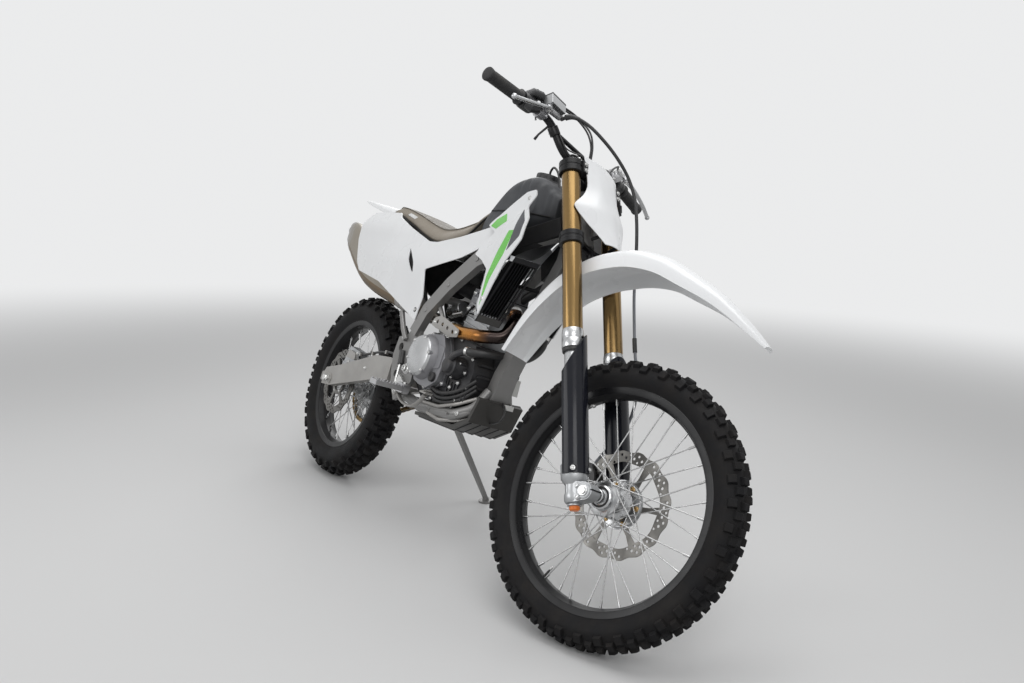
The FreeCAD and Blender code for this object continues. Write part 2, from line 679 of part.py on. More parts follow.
def shroud():
    """Right radiator shroud."""
    outline = [(961, 1062), (978, 1044), (958, 1011), (991, 976), (988, 915), (937, 849), (907, 781),
               (872, 688), (852, 721), (844, 822), (795, 846), (748, 860), (768, 893), (814, 932), (760, 952),
               (782, 972), (858, 1023), (915, 1056)]
    y = -SHROUD_Y
    stations = [(660, [(600, y + 18), (850, y + 18), (950, y + 32), (1100, y + 56)]),
                (800, [(600, y + 10), (850, y + 12), (950, y + 20), (1100, y + 46)]),
                (900, [(600, y + 4), (850, y), (950, y + 2), (1100, y + 26)]),
                (1000, [(600, y - 4), (850, y - 8), (950, y - 8), (1100, y + 10)])]
    return skin_panel(outline, stations, SKIN)


def slab(bottom, top, thick):
    """Leaning slab between two (x, y, z) edges at the bottom and two at the top."""
    b0, b1 = bottom
    t0, t1 = top
    run = (b1 - b0).normalize()
    back = at(-run.y, run.x, 0) * thick
    return loft([[b0, b1, b1 + back, b0 + back], [t0, t1, t1 + back, t0 + back]])


def radiator():
    core = slab((at(842, -131, 694), at(878, -76, 694)), (at(930, -131, 864), at(968, -76, 864)), 30)
    return fused([core, rod(at(920, -72, 800), at(958, -18, 800), 5)]).cut(lower_cradle())


def radiator_louvre():
    """Louvre with upright grooves between its slats."""
    b0, b1 = at(863, -137, 672), at(902, -77, 672)
    t0, t1 = at(964, -137, 868), at(1002, -77, 868)
    face = slab((b0, b1), (t0, t1), 31)
    out = at((b1 - b0).y, -(b1 - b0).x, 0).normalize()
    step = 1.0 / (LOUVRE_SLATS + 0.6)
    for i in range(LOUVRE_SLATS - 1):
        first = (i + 0.9) * step
        last = first + 0.5 * step
        low = [b0 + (b1 - b0) * share + (t0 - b0) * 0.09 + out for share in (first, last)]
        high = [t0 + (t1 - t0) * share - (t0 - b0) * 0.05 + out for share in (first, last)]
        face = face.cut(slab(low, high, LOUVRE_GROOVE))
    return face.cut(radiator())


def skid_plate():
    side = [(600, 347), (600, 357), (820, 367), (886, 401), (908, 470), (918, 466), (896, 393),
            (826, 355)]
    return plate(side, -78, 78).cut(lower_cradle())


def footpeg():
    bracket = plate([(546, 398), (585, 398), (590, 425), (548, 430)], -PLATE_IN - PLATE_THICK - 22,
                    -PLATE_IN - PLATE_THICK)
    peg = loft([[at(547, y, PEG_TOP - 20), at(590, y, PEG_TOP - 20), at(590, y, PEG_TOP), at(547, y, PEG_TOP)]
                for y in (-PLATE_IN - PLATE_THICK - 22, -232)])
    return fused([bracket, peg])


def brake_pedal():
    y = -PLATE_IN - PLATE_THICK
    eye = cross_rod(at(532, 0, 396), y - 16, y, 9)
    arm = tube([at(532, y - 9, 396), at(580, y - 10, 374), at(640, y - 12, 372), at(700, -138, 392),
                at(752, -150, 428)], 6, 60)
    return fused([eye, arm])


def shift_lever():
    return tube([at(650, ENGINE_LEFT + 0.2, 440), at(650, 112, 440), at(720, 124, 442), at(782, 142, 458)], 6, 30)


def airbox():
    return body_loft([(250, 0, 808, 33.8, 46, 16), (380, 0, 784, 33.8, 72, 20), (500, 0, 790, 33.8, 58, 20)],
                     True)


def intake():
    return tube([at(500, 4, 772), at(600, 0, 760), at(692, -4, 742)], 24)


def rear_caliper():
    y = REAR_DISC_Y
    outer = plate([(18, 402), (40, 470), (120, 462), (130, 420), (74, 396)], y - 18, y + 16)
    slot = plate([(0, 380), (0, 480), (140, 480), (140, 380)], y - REAR_DISC_THICK / 2 - PAD_GAP,
                 y + REAR_DISC_THICK / 2 + PAD_GAP)
    inside = cross_rod(REAR_AXLE, y - 40, y + 40, REAR_DISC_R + 6)
    bracket = plate([(14, 352), (52, 360), (74, 402), (18, 410)], -ARM_IN, y - REAR_DISC_THICK / 2 - PAD_GAP)
    return fused([outer.cut(slot.common(inside)), bracket])


def fork_outers():
    parts = []
    for side in (-1, 1):
        y = side * FORK_HALF_SPAN
        gold = rod(fork(OUTER_TUBE_END + COLLAR_LENGTH, FORK_LEAD, y), fork(FORK_TOP + 6, FORK_LEAD, y),
                   OUTER_TUBE_R)
        collar = rod(fork(OUTER_TUBE_END, FORK_LEAD, y),
                     fork(OUTER_TUBE_END + COLLAR_LENGTH, FORK_LEAD, y), COLLAR_R)
        parts.append(fused([gold, collar]))
    return parts


def fork_lowers():
    """Inner tubes, each with the casting that carries the axle ahead of the leg."""
    parts = []
    for side in (-1, 1):
        y = side * FORK_HALF_SPAN
        y0, y1 = y - 21, y + 21
        boss = rod(fork(-22, FORK_LEAD, y), fork(CASTING_TOP, FORK_LEAD, y), GUARD_R - GUARD_WALL - 0.3)
        lug = fork_plate([(-26, 20), (-24, AXLE_LEAD + 22), (0, AXLE_LEAD + 27), (24, AXLE_LEAD + 20),
                          (38, 30)], y0, y1)
        inner = rod(fork(20, FORK_LEAD, y), fork(OUTER_TUBE_END, FORK_LEAD, y), INNER_TUBE_R)
        pieces = [boss, lug, inner]
        if side > 0:
            pieces.append(fork_block(34, 66, -32, 0, FRONT_DISC_Y + 30.3, y))
        body = fused(pieces)
        parts.append(body.cut(cross_rod(FRONT_AXLE, y0 - 30, y1 + 30, FRONT_AXLE_R)))
    return parts


def fork_guards():
    """Shells in front of each inner tube, their tops slanting up to the front and the wheel."""
    parts = []
    for side in (-1, 1):
        y = side * FORK_HALF_SPAN
        shell = rod(fork(GUARD_BOTTOM, FORK_LEAD, y), fork(OUTER_TUBE_END + COLLAR_LENGTH, FORK_LEAD, y), GUARD_R)
        shell = shell.cut(rod(fork(0, FORK_LEAD, y), fork(500, FORK_LEAD, y), GUARD_R - GUARD_WALL))
        behind = fork_block(0, 500, FORK_LEAD - 60, FORK_LEAD - 14, y - 60, y + 60)
        low = []
        for ahead, across in ((-50, -50), (50, -50), (50, 50), (-50, 50)):
            up = GUARD_TOP + GUARD_RISE * ahead - GUARD_INWARD * side * across
            low.append(fork(up, FORK_LEAD + ahead, y + across))
        above = loft([low, [point + AXIS_UP * 300 for point in low]])
        parts.append(shell.cut(behind).cut(above))
    return parts


def front_axle():
    return cross_rod(FRONT_AXLE, -FORK_HALF_SPAN - 30, FORK_HALF_SPAN + 26, FRONT_AXLE_R)


def rear_axle():
    return cross_rod(REAR_AXLE, -ARM_OUT - 12, ARM_OUT + 12, REAR_AXLE_R)


def swingarm_bolt():
    return cross_rod(PIVOT, -PLATE_IN - PLATE_THICK - 8, PLATE_IN + PLATE_THICK + 8, 9)


def clamp(up, thick, grip):
    """Triple clamp: a bridge from leg to leg with a boss round each."""
    low, high = up - thick / 2, up + thick / 2
    outline = [(30, -FORK_HALF_SPAN), (-6, -74), (-22, -22), (-22, 22), (-6, 74), (30, FORK_HALF_SPAN),
               (36, 74), (26, 20), (26, -20), (36, -74)]
    face = Part.Face(polygon([fork(low, ahead, y) for ahead, y in outline]))
    bridge = face.extrude(AXIS_UP * thick)
    bosses = [rod(fork(low, FORK_LEAD, s * FORK_HALF_SPAN), fork(high, FORK_LEAD, s * FORK_HALF_SPAN),
                  OUTER_TUBE_R + grip) for s in (-1, 1)]
    body = fused([bridge] + bosses)
    for s in (-1, 1):
        body = body.cut(rod(fork(low - 5, FORK_LEAD, s * FORK_HALF_SPAN),
                            fork(high + 5, FORK_LEAD, s * FORK_HALF_SPAN), OUTER_TUBE_R + 0.1))
    return body


def lower_clamp():
    stem = rod(fork(LOWER_CLAMP, 0), fork(FORK_TOP - UPPER_CLAMP_THICK, 0), STEM_R)
    low = LOWER_CLAMP - LOWER_CLAMP_THICK / 2
    bosses = [rod(fork(LOWER_CLAMP - 35.2, 30, y), fork(low + 5, 30, y), 7) for y in (-24, 24)]
    return fused([clamp(LOWER_CLAMP, LOWER_CLAMP_THICK, 6.5), stem] + bosses).cut(front_fender())


def upper_clamp():
    mid = FORK_TOP - UPPER_CLAMP_THICK / 2
    y = BAR_CAP_HALF - 16
    posts = [rod(fork(FORK_TOP - 2, -5, s * y), fork(BAR_CLAMP_UP - BAR_R - 2, -5, s * y), 13) for s in (-1, 1)]
    caps = [fork_block(BAR_CLAMP_UP - BAR_R - 4, BAR_CLAMP_UP + BAR_R + 6, -27, 17, s * y - 16, s * y + 16)
            for s in (-1, 1)]
    body = fused([clamp(mid, UPPER_CLAMP_THICK, 7.5)] + posts + caps)
    return body.cut(cross_rod(fork(BAR_CLAMP_UP, -5), -90, 90, BAR_R + 0.1))


def handlebar():
    end_up = BAR_BEND_UP + BAR_END_RISE
    bends = [fork(end_up, BAR_END_BACK, -BAR_HALF), fork(BAR_BEND_UP, BAR_BEND_BACK, -BAR_BEND_Y),
             fork(BAR_CLAMP_UP, -5, -BAR_INNER_Y), fork(BAR_CLAMP_UP, -5, BAR_INNER_Y),
             fork(BAR_BEND_UP, BAR_BEND_BACK, BAR_BEND_Y), fork(end_up, BAR_END_BACK, BAR_HALF)]
    bar = tube(bends, BAR_R, 55)
    brace_y = BAR_INNER_Y + 0.74 * BAR_BEND_RUN
    brace_up = BAR_CLAMP_UP + 0.74 * (BAR_BEND_UP - BAR_CLAMP_UP)
    brace = rod(fork(brace_up, -11, -brace_y), fork(brace_up, -11, brace_y), 6.5)
    return fused([bar, brace])


def bar_point(y, up=0.0, ahead=0.0):
    """Point beside the straight outer stretch of the handlebar."""
    share = (abs(y) - BAR_BEND_Y) / BAR_OUTER_RUN
    return fork(BAR_BEND_UP + share * BAR_END_RISE + up,
                BAR_BEND_BACK + share * (BAR_END_BACK - BAR_BEND_BACK) + ahead, y)


def grips():
    parts = []
    for s in (-1, 1):
        inner, outer = s * GRIP_IN, s * (BAR_HALF + GRIP_PROUD)
        body = fused([rod(bar_point(inner), bar_point(outer), GRIP_R),
                      rod(bar_point(inner), bar_point(inner + s * 6), GRIP_R + 6)])
        parts.append(body.cut(rod(bar_point(s * (GRIP_IN - 20)), bar_point(s * BAR_HALF), BAR_R + 0.1)))
    return parts


def bar_collar(y0, y1, radius):
    return rod(bar_point(y0), bar_point(y1), radius).cut(rod(bar_point(y0 * 0.8), bar_point(y1 * 1.2), BAR_R + 0.1))


def controls():
    """Throttle housing and both switch clusters."""
    inner = GRIP_IN - 54
    return [bar_collar(-inner, -inner - 42, 23), bar_collar(inner, inner + 40, 20)]


def lever_boss(side):
    """Pivot boss at the end of a perch, just clear of its lever."""
    y = side * (LEVER_PIVOT - 8)
    return rod(bar_point(y, -12, 46), bar_point(y, 8, 46), 7.2)


def brake_master():
    """Right perch with the brake's master cylinder and cup."""
    y = -LEVER_PIVOT
    body = bar_collar(y + 36, y + 8, 17)
    barrel = rod(bar_point(y + 62, 4, 34), bar_point(y + 4, 2, 34), 12)
    cup = rod(bar_point(y + 36, 0, 34), bar_point(y + 36, 34, 34), 19)
    bridge = rod(bar_point(y + 22, 0, 16), bar_point(y + 22, 0, 30), 9)
    bar = rod(bar_point(y + 52), bar_point(y - 8), BAR_R + 0.1)
    return fused([body, bridge, barrel, cup, lever_boss(-1)]).cut(bar)


def clutch_perch():
    y = LEVER_PIVOT
    body = bar_collar(y - 32, y - 6, 16)
    bridge = rod(bar_point(y - 16, 0, 15), bar_point(y - 16, 0, 46), 9)
    return fused([body, bridge, lever_boss(1)]).cut(rod(bar_point(y - 52), bar_point(y + 8), BAR_R + 0.1))


def levers():
    parts = []
    for s in (-1, 1):
        parts.append(tube([bar_point(s * LEVER_PIVOT, -2, 46), bar_point(s * (LEVER_PIVOT + 38), -8, 56),
                           bar_point(s * (LEVER_PIVOT + 118), -12, 52),
                           bar_point(s * (LEVER_PIVOT + 174), -18, 46)], 5.5, 60))
    return parts


# Front fender stations along the fork's frame: crown line below the lower clamp and ahead of
# the steering axis, slope of the crown, half width and how far the edges hang below it.
FENDER_STATIONS = [(226, -241, 50, 54, 24), (130, -160, 45, 62, 42), (58, -60, 24, 68, 54),
                   (30, 30, 6, 72, 62), (28, 110, -5, 75, 66), (44, 189, -20, 74, 66),
                   (87, 267, -37, 68, 60), (148, 330, -46, 60, 52), (214, 389, -52, 50, 40),
                   (270, 428, -57, 42, 30), (325, 461, -60, 32, 20), (370, 485, -62, 19, 10)]


def front_fender():
    sections = []
    for below, ahead, slope, half, drop in FENDER_STATIONS:
        up = LOWER_CLAMP - below
        angle = math.radians(slope)
        normal_up, normal_ahead = math.cos(angle), -math.sin(angle)

        def point(y, down):
            return fork(up - down * normal_up, ahead - down * normal_ahead, y)
        right = [(-half, drop), (-0.94 * half, 0.42 * drop), (-0.52 * half, 0.08 * drop), (0, 0)]
        outer = right + [(-y, down) for y, down in reversed(right[:-1])]
        inner = [(y * (1 - SKIN / half), down + (SKIN if abs(y) < half else 0)) for y, down in reversed(outer)]
        sections.append([point(y, down) for y, down in outer + inner])
    return loft(sections, False)


def number_plate():
    """Faceted front plate, standing off the upper clamp and the fork."""
    rows = [(925, 86, 58, 72), (830, 80, 62, 86), (755, 125, 50, 98), (665, 38, 92, 104)]
    sections = []
    for up, half, edge, crest in rows:
        outer = [(-half, edge), (-half * 0.35, crest - 3), (0, crest), (half * 0.35, crest - 3), (half, edge)]
        inner = [(y, ahead - SKIN) for y, ahead in reversed(outer)]
        sections.append([fork(up, ahead, y) for y, ahead in outer + inner])
    return loft(sections)


def front_caliper():
    y = FRONT_DISC_Y
    body = fork_plate([(30, -52), (104, -50), (112, -8), (74, -2), (40, -14)], y - 17, y + 30)
    slot = fork_block(0, 160, -80, 60, y - FRONT_DISC_THICK / 2 - PAD_GAP, y + FRONT_DISC_THICK / 2 + PAD_GAP)
    inside = cross_rod(FRONT_AXLE, y - 60, y + 60, FRONT_DISC_R + 6)
    return body.cut(slot.common(inside))


def brake_hose():
    route = [(1014, 62, -142), (1000, 84, -112), (968, 106, -70), (930, 122, -22), (888, 130, 24),
             (836, 132, 54), (776, 128, 68), (714, 116, 86), (650, 98, 108), (580, 84, 122),
             (500, 78, 128), (420, 76, 130), (345, 74, 140), (275, 56, 151), (212, 22, 151),
             (160, -20, 124), (112, -36, 82.6)]
    return tube([fork(up, ahead, y) for up, ahead, y in route], 4.6)


def lean_matrix(trim, rise):
    """Pitch, lean and lift that stand the upright machine on its tyres and stand."""
    matrix = FreeCAD.Matrix()
    matrix.rotateY(math.radians(trim))
    matrix.rotateX(math.radians(-LEAN))
    matrix.move(at(0, 0, rise))
    return matrix


def steer_matrix():
    turn = FreeCAD.Placement(at(0, 0, 0), FreeCAD.Rotation(AXIS_UP, STEER_LEFT), AXIS_FOOT)
    return turn.toMatrix()


def lowest(shape, matrix):
    points = shape.tessellate(0.05)[0]
    return min(matrix.multVec(p).z for p in points)


def stance(front_tyre_shape, rear_tyre_shape):
    """Trim and rise at which both tyres just touch the floor."""
    low, high = -3.0, 3.0
    for _ in range(30):
        trim = (low + high) / 2
        matrix = lean_matrix(trim, 0)
        front = lowest(front_tyre_shape, matrix)
        rear = lowest(rear_tyre_shape, matrix)
        if front > rear:
            low = trim
        else:
            high = trim
    return trim, -rear


def side_stand(lean):
    """Leg, hinge eye and foot, built in the leaned frame so that the foot is flat on the floor."""
    hinge = lean.multVec(at(STAND_X, STAND_Y, STAND_Z))
    foot = at(STAND_FOOT_X, STAND_FOOT_Y, 0)
    ankle = foot + at(0, 0, 12)
    leg = ankle - hinge
    turn_axis = stand_axis(lean)
    eye = Part.makeCylinder(15, 16, hinge - turn_axis * 8, turn_axis)
    wide = leg.cross(turn_axis).normalize()

    def section(point, half_wide, half_thick):
        a, b = wide * half_wide, turn_axis * half_thick
        return [point + a + b, point - a + b, point - a - b, point + a - b]
    shank = loft([section(hinge, 13, 7), section(hinge + leg * 0.5, 11, 7), section(ankle, 8, 6)])
    pad = Part.makeCylinder(STAND_FOOT_R, 6, foot)
    shoe = Part.makeCylinder(11, 16, foot)
    bolt_hole = Part.makeCylinder(6 + BORE_CLEAR, 40, hinge - turn_axis * 20, turn_axis)
    return fused([shank, eye, pad, shoe]).cut(bolt_hole)


def stand_axis(lean):
    """Hinge direction: square to the leg and to the stowed leg, in the leaned frame."""
    hinge = lean.multVec(at(STAND_X, STAND_Y, STAND_Z))
    leg = (at(STAND_FOOT_X, STAND_FOOT_Y, 12) - hinge).normalize()
    stowed = lean.multVec(at(STAND_X - 100, STAND_Y + 5, STAND_Z - 5)) - hinge
    return leg.cross(stowed).normalize()


def stand_bracket(lean):
    """Frame bracket with the hinge bolt, in the leaned frame."""
    axis = stand_axis(lean)
    hinge = lean.multVec(at(STAND_X, STAND_Y, STAND_Z))
    bolt = Part.makeCylinder(6, 36, hinge - axis * 14, axis)
    plate_low = hinge + axis * 15
    root = lean.multVec(at(STAND_X, PLATE_IN + PLATE_THICK + 0.2, 400))
    along = (root - plate_low)
    wide = along.cross(axis).normalize() * 16
    thick = axis * 5
    blade = loft([[plate_low + wide + thick, plate_low - wide + thick, plate_low - wide - thick,
                   plate_low + wide - thick],
                  [root + wide * 1.6 + thick, root - wide * 1.6 + thick, root - wide * 1.6 - thick,
                   root + wide * 1.6 - thick]])
    return fused([bolt, blade]).cut(main_frame().transformed(lean, copy=True))


def build():
    """Every node as (name, body, solids), in the upright frame."""
    nodes = [
        ("main_frame", "chassis", [main_frame()]),
        ("lower_cradle", "chassis", [lower_cradle()]),
        ("subframe", "chassis", [subframe()]),
        ("swingarm", "chassis", [swingarm()]),
        ("axle_and_pivot_bolts", "chassis", [swingarm_bolt(), rear_axle()]),
        ("rear_shock", "chassis", [rear_shock()]),
        ("engine_case", "chassis", [engine_case()]),
        ("engine_covers", "chassis", [clutch_cover(), generator_cover(), water_pump()]),
        ("cylinder", "chassis", [cylinder()]),
        ("cylinder_head", "chassis", [cylinder_head()]),
        ("exhaust_header", "chassis", [exhaust_header()]),
        ("silencer", "chassis", [silencer()]),
        ("airbox", "chassis", [fused([airbox(), intake()])]),
        ("radiators", "chassis", both(radiator())),
        ("radiator_louvres", "chassis", both(radiator_louvre())),
        ("fuel_tank", "chassis", [tank()]),
        ("fuel_cap", "chassis", [fuel_cap().cut(tank())]),
        ("seat", "chassis", [seat()]),
        ("rear_fender", "chassis", [rear_fender()]),
        ("side_panels", "chassis", both(side_panel())),
        ("shrouds", "chassis", both(shroud())),
        ("skid_plate", "chassis", [skid_plate()]),
        ("footpegs", "chassis", both(footpeg())),
        ("foot_levers", "chassis", [brake_pedal(), shift_lever()]),
        ("drive_chain", "chassis", [drive_chain()]),
        ("drive_sprocket", "chassis", [drive_sprocket()]),
        ("rear_caliper", "chassis", [rear_caliper()]),
        ("rear_tyre", "rear_wheel", [wheel_tyre(REAR_AXLE, REAR_RIM_R, REAR_RIM_HALF, REAR_TYRE_R,
                                                REAR_TYRE_HALF, REAR_LUGS, REAR_LUG_DEPTH)]),
        ("rear_rim", "rear_wheel", [wheel_rim(REAR_AXLE, REAR_RIM_R, REAR_RIM_HALF)]),
        ("rear_spokes", "rear_wheel", wheel_spokes(REAR_AXLE, REAR_RIM_R, 3.8)),
        ("rear_hub", "rear_wheel", [rear_hub()]),
        ("rear_disc", "rear_wheel", [petal_disc(REAR_AXLE, REAR_DISC_Y, REAR_DISC_R, 86, REAR_DISC_THICK, 38)]),
        ("rear_sprocket", "rear_wheel", [rear_sprocket()]),
        ("fork_outer_tubes", "steering", fork_outers()),
        ("fork_guards", "steering", fork_guards()),
        ("fork_lowers", "steering", fork_lowers()),
        ("front_axle", "steering", [front_axle()]),
        ("lower_clamp", "steering", [lower_clamp()]),
        ("upper_clamp", "steering", [upper_clamp()]),
        ("handlebar", "steering", [handlebar()]),
        ("grips", "steering", grips()),
        ("bar_controls", "steering", controls() + [brake_master(), clutch_perch()]),
        ("levers", "steering", levers()),
        ("front_fender", "steering", [front_fender()]),
        ("number_plate", "steering", [number_plate()]),
        ("front_caliper", "steering", [front_caliper()]),
        ("brake_hose", "steering", [brake_hose()]),
        ("front_tyre", "front_wheel", [wheel_tyre(FRONT_AXLE, FRONT_RIM_R, FRONT_RIM_HALF, FRONT_TYRE_R,
                                                  FRONT_TYRE_HALF, FRONT_LUGS, FRONT_LUG_DEPTH)]),
        ("front_rim", "front_wheel", [wheel_rim(FRONT_AXLE, FRONT_RIM_R, FRONT_RIM_HALF)]),
        ("front_spokes", "front_wheel", wheel_spokes(FRONT_AXLE, FRONT_RIM_R, 3.0)),
        ("front_hub", "front_wheel", [front_hub()]),
        ("front_disc", "front_wheel", [petal_disc(FRONT_AXLE, FRONT_DISC_Y, FRONT_DISC_R, 98,
                                                  FRONT_DISC_THICK, 50)]),
    ]
    return nodes


def main():
    os.makedirs("parts", exist_ok=True)
    nodes = build()
    steer = steer_matrix()
    tyres = {name: solids[0] for name, body, solids in nodes if name.endswith("_tyre")}
    trim, rise = stance(tyres["front_tyre"].transformed(steer, copy=True), tyres["rear_tyre"])
    lean = lean_matrix(trim, rise)
    placed = []
    for name, body, solids in nodes:
        matrix = lean.multiply(steer) if body in ("steering", "front_wheel") else lean
        placed.append((name, body, [s.transformed(matrix, copy=True) for s in solids]))
    placed.append(("side_stand", "side_stand", [side_stand(lean)]))
    placed.append(("stand_bracket", "chassis", [stand_bracket(lean)]))

    box = FreeCAD.BoundBox()
    for name, body, solids in placed:
        for solid in solids:
            box.add(solid.optimalBoundingBox())
    centre = at(-box.Center.x, -box.Center.y, 0)
    move = FreeCAD.Matrix()
    move.move(centre)
    for name, body, solids in placed:
        final = [s.transformed(move, copy=True) for s in solids]
        shape = final[0] if len(final) == 1 else Part.makeCompound(final)
        shape.exportStep("parts/" + name + ".step")
        valid = all(s.isValid() for s in final)
        volume = sum(s.Volume for s in final)
        print("%-20s %-12s solids %3d  volume %9.0f  valid %s" % (name, body, len(shape.Solids), volume, valid))

    def report(label, point, direction=None, matrix=lean):
        p = matrix.multVec(point) + centre
        text = "%-16s %8.2f %8.2f %8.2f" % (label, p.x, p.y, p.z)
        if direction:
            d = (matrix.multVec(point + direction) - matrix.multVec(point)).normalize()
            text += "   direction %8.5f %8.5f %8.5f" % (d.x, d.y, d.z)
        print(text)
    print("trim %.3f rise %.2f size %.1f x %.1f x %.1f lowest %.3f" % (
        trim, rise, box.XLength, box.YLength, box.ZLength, box.ZMin))
    steered = lean.multiply(steer)
    report("steering", AXIS_FOOT, AXIS_UP)
    report("front_wheel", FRONT_AXLE, SIDEWAYS, steered)
    report("rear_wheel", REAR_AXLE, SIDEWAYS)
    hinge = lean.multVec(at(STAND_X, STAND_Y, STAND_Z)) + centre
    axis = stand_axis(lean)
    print("side_stand       %8.2f %8.2f %8.2f   direction %8.5f %8.5f %8.5f" % (
        hinge.x, hinge.y, hinge.z, axis.x, axis.y, axis.z))
    print("limits steering %.1f %.1f" % (-LOCK - STEER_LEFT, LOCK - STEER_LEFT))
    print("limits side_stand 0.0 %.1f" % STOWED_TURN)

    def mount(name, point, direction):
        p = lean.multVec(point) + centre
        d = (lean.multVec(point + direction) - lean.multVec(point)).normalize()
        print("mount %s %.2f %.2f %.2f axis %.5f %.5f %.5f" % (name, p.x, p.y, p.z, d.x, d.y, d.z))
    for label, side in (("left", 1), ("right", -1)):
        mount(label + "_peg_top", at(568, side * 190, PEG_TOP), at(0, 0, 1))
        mount("rear_axle_end_" + label, REAR_AXLE + at(0, side * (ARM_OUT + 6), 0), at(0, side, 0))
    print("mount stand_foot %.2f %.2f 0.00 axis 0 0 -1" % (STAND_FOOT_X + centre.x, STAND_FOOT_Y + centre.y))


main()
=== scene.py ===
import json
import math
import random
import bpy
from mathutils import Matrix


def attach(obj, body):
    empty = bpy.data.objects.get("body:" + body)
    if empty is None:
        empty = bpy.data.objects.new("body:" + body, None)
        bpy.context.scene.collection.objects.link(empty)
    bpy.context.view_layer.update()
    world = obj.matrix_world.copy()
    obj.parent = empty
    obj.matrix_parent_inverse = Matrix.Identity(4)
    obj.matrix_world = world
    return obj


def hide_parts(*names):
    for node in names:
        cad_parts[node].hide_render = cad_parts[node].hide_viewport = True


bl_info = {
    "name": "Trail Motorcycle",
    "version": (1, 0, 0),
    "blender": (4, 5, 0),
    "location": "3D View > Sidebar > Trail Motorcycle",
    "description": "Dresses a packed trail motorcycle with its tyres, plastics, metal and rubber",
    "category": "Object",
}

import bmesh
import bpy
from bpy.props import FloatProperty, FloatVectorProperty, IntProperty, PointerProperty
from mathutils import Matrix, Vector

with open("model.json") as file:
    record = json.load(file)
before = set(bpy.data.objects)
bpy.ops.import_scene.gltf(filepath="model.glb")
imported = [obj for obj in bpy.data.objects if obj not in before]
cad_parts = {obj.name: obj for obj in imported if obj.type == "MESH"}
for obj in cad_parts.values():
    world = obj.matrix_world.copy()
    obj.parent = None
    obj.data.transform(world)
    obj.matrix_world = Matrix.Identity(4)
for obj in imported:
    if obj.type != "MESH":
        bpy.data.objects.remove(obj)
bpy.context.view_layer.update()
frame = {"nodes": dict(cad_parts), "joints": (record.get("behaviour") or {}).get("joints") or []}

# Pieces are drawn with the machine upright and steering straight ahead, in millimetres: X forward,
# Y to the rider's left, Z up, from the ground under the rear axle. Two matrices, worked out from
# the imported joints, then lean the machine and turn the steered pieces.
MM = 0.001
RAKE = math.radians(26.7)
WHEELBASE = 1435.0
FRONT_R = 349.0
REAR_R = 333.0
FORK_SPAN = 104.0
FORK_LEAD = 25.0
AXLE_LEAD = FRONT_R * math.sin(RAKE) - 107.0 * math.cos(RAKE)
JOINTS = {j["name"]: j for j in frame["joints"]}


def machine_matrix():
    """From the upright machine's millimetres to the place where it leans, in metres."""
    side = Vector(JOINTS["rear_wheel"]["axis"]).normalized()
    up = Vector(JOINTS["steering"]["axis"]).normalized()
    ahead = side.cross(up)
    x = ahead * math.cos(RAKE) - up * math.sin(RAKE)
    z = ahead * math.sin(RAKE) + up * math.cos(RAKE)
    turn = Matrix((x, side, z)).transposed()
    matrix = turn.to_4x4() @ Matrix.Scale(MM, 4)
    matrix.translation = Vector(JOINTS["rear_wheel"]["pos_m"]) - turn @ Vector((0, 0, REAR_R * MM))
    return matrix


def steered_matrix(upright):
    """The machine's matrix, turned about the steering axis by the angle that the bars stand at."""
    axis = Vector(JOINTS["steering"]["axis"]).normalized()
    straight = Vector(JOINTS["rear_wheel"]["axis"])
    turned = Vector(JOINTS["front_wheel"]["axis"])
    angle = math.atan2(straight.cross(turned).dot(axis), straight.dot(turned))
    pivot = Matrix.Translation(Vector(JOINTS["steering"]["pos_m"]))
    return pivot @ Matrix.Rotation(angle, 4, axis) @ pivot.inverted() @ upright


UPRIGHT = machine_matrix()
STEERED = steered_matrix(UPRIGHT)
AXIS_FOOT = UPRIGHT.inverted() @ Vector(JOINTS["steering"]["pos_m"])
AXIS_UP = Vector((-math.sin(RAKE), 0, math.cos(RAKE)))
AXIS_AHEAD = Vector((math.cos(RAKE), 0, math.sin(RAKE)))
FRONT_AXLE = Vector((WHEELBASE, 0, FRONT_R))
REAR_AXLE = Vector((0, 0, REAR_R))
FORWARD, LEFTWARD, RIGHTWARD, UPWARD = (1, 0, 0), (0, 1, 0), (0, -1, 0), (0, 0, 1)
PLACE = {"chassis": UPRIGHT, "rear_wheel": UPRIGHT, "steering": STEERED, "front_wheel": STEERED}


def at(x, y, z):
    return Vector((x, y, z))


def around(radius, angle, y=0.0):
    """Step out from a line across the machine, turned from ahead towards up."""
    return at(radius * math.cos(angle), y, radius * math.sin(angle))


def turns(count, start=0.0):
    """Even angles round a full turn."""
    return [start + 2 * math.pi * i / count for i in range(count)]


def mirror(points):
    """Points moved to the other side of the machine."""
    return [at(p.x, -p.y, p.z) for p in points]


def fork(up, ahead, y=0.0):
    """Point along the steering axis, ahead of it and to the left."""
    return AXIS_FOOT + AXIS_UP * up + AXIS_AHEAD * ahead + Vector((0, y, 0))


# Shapes


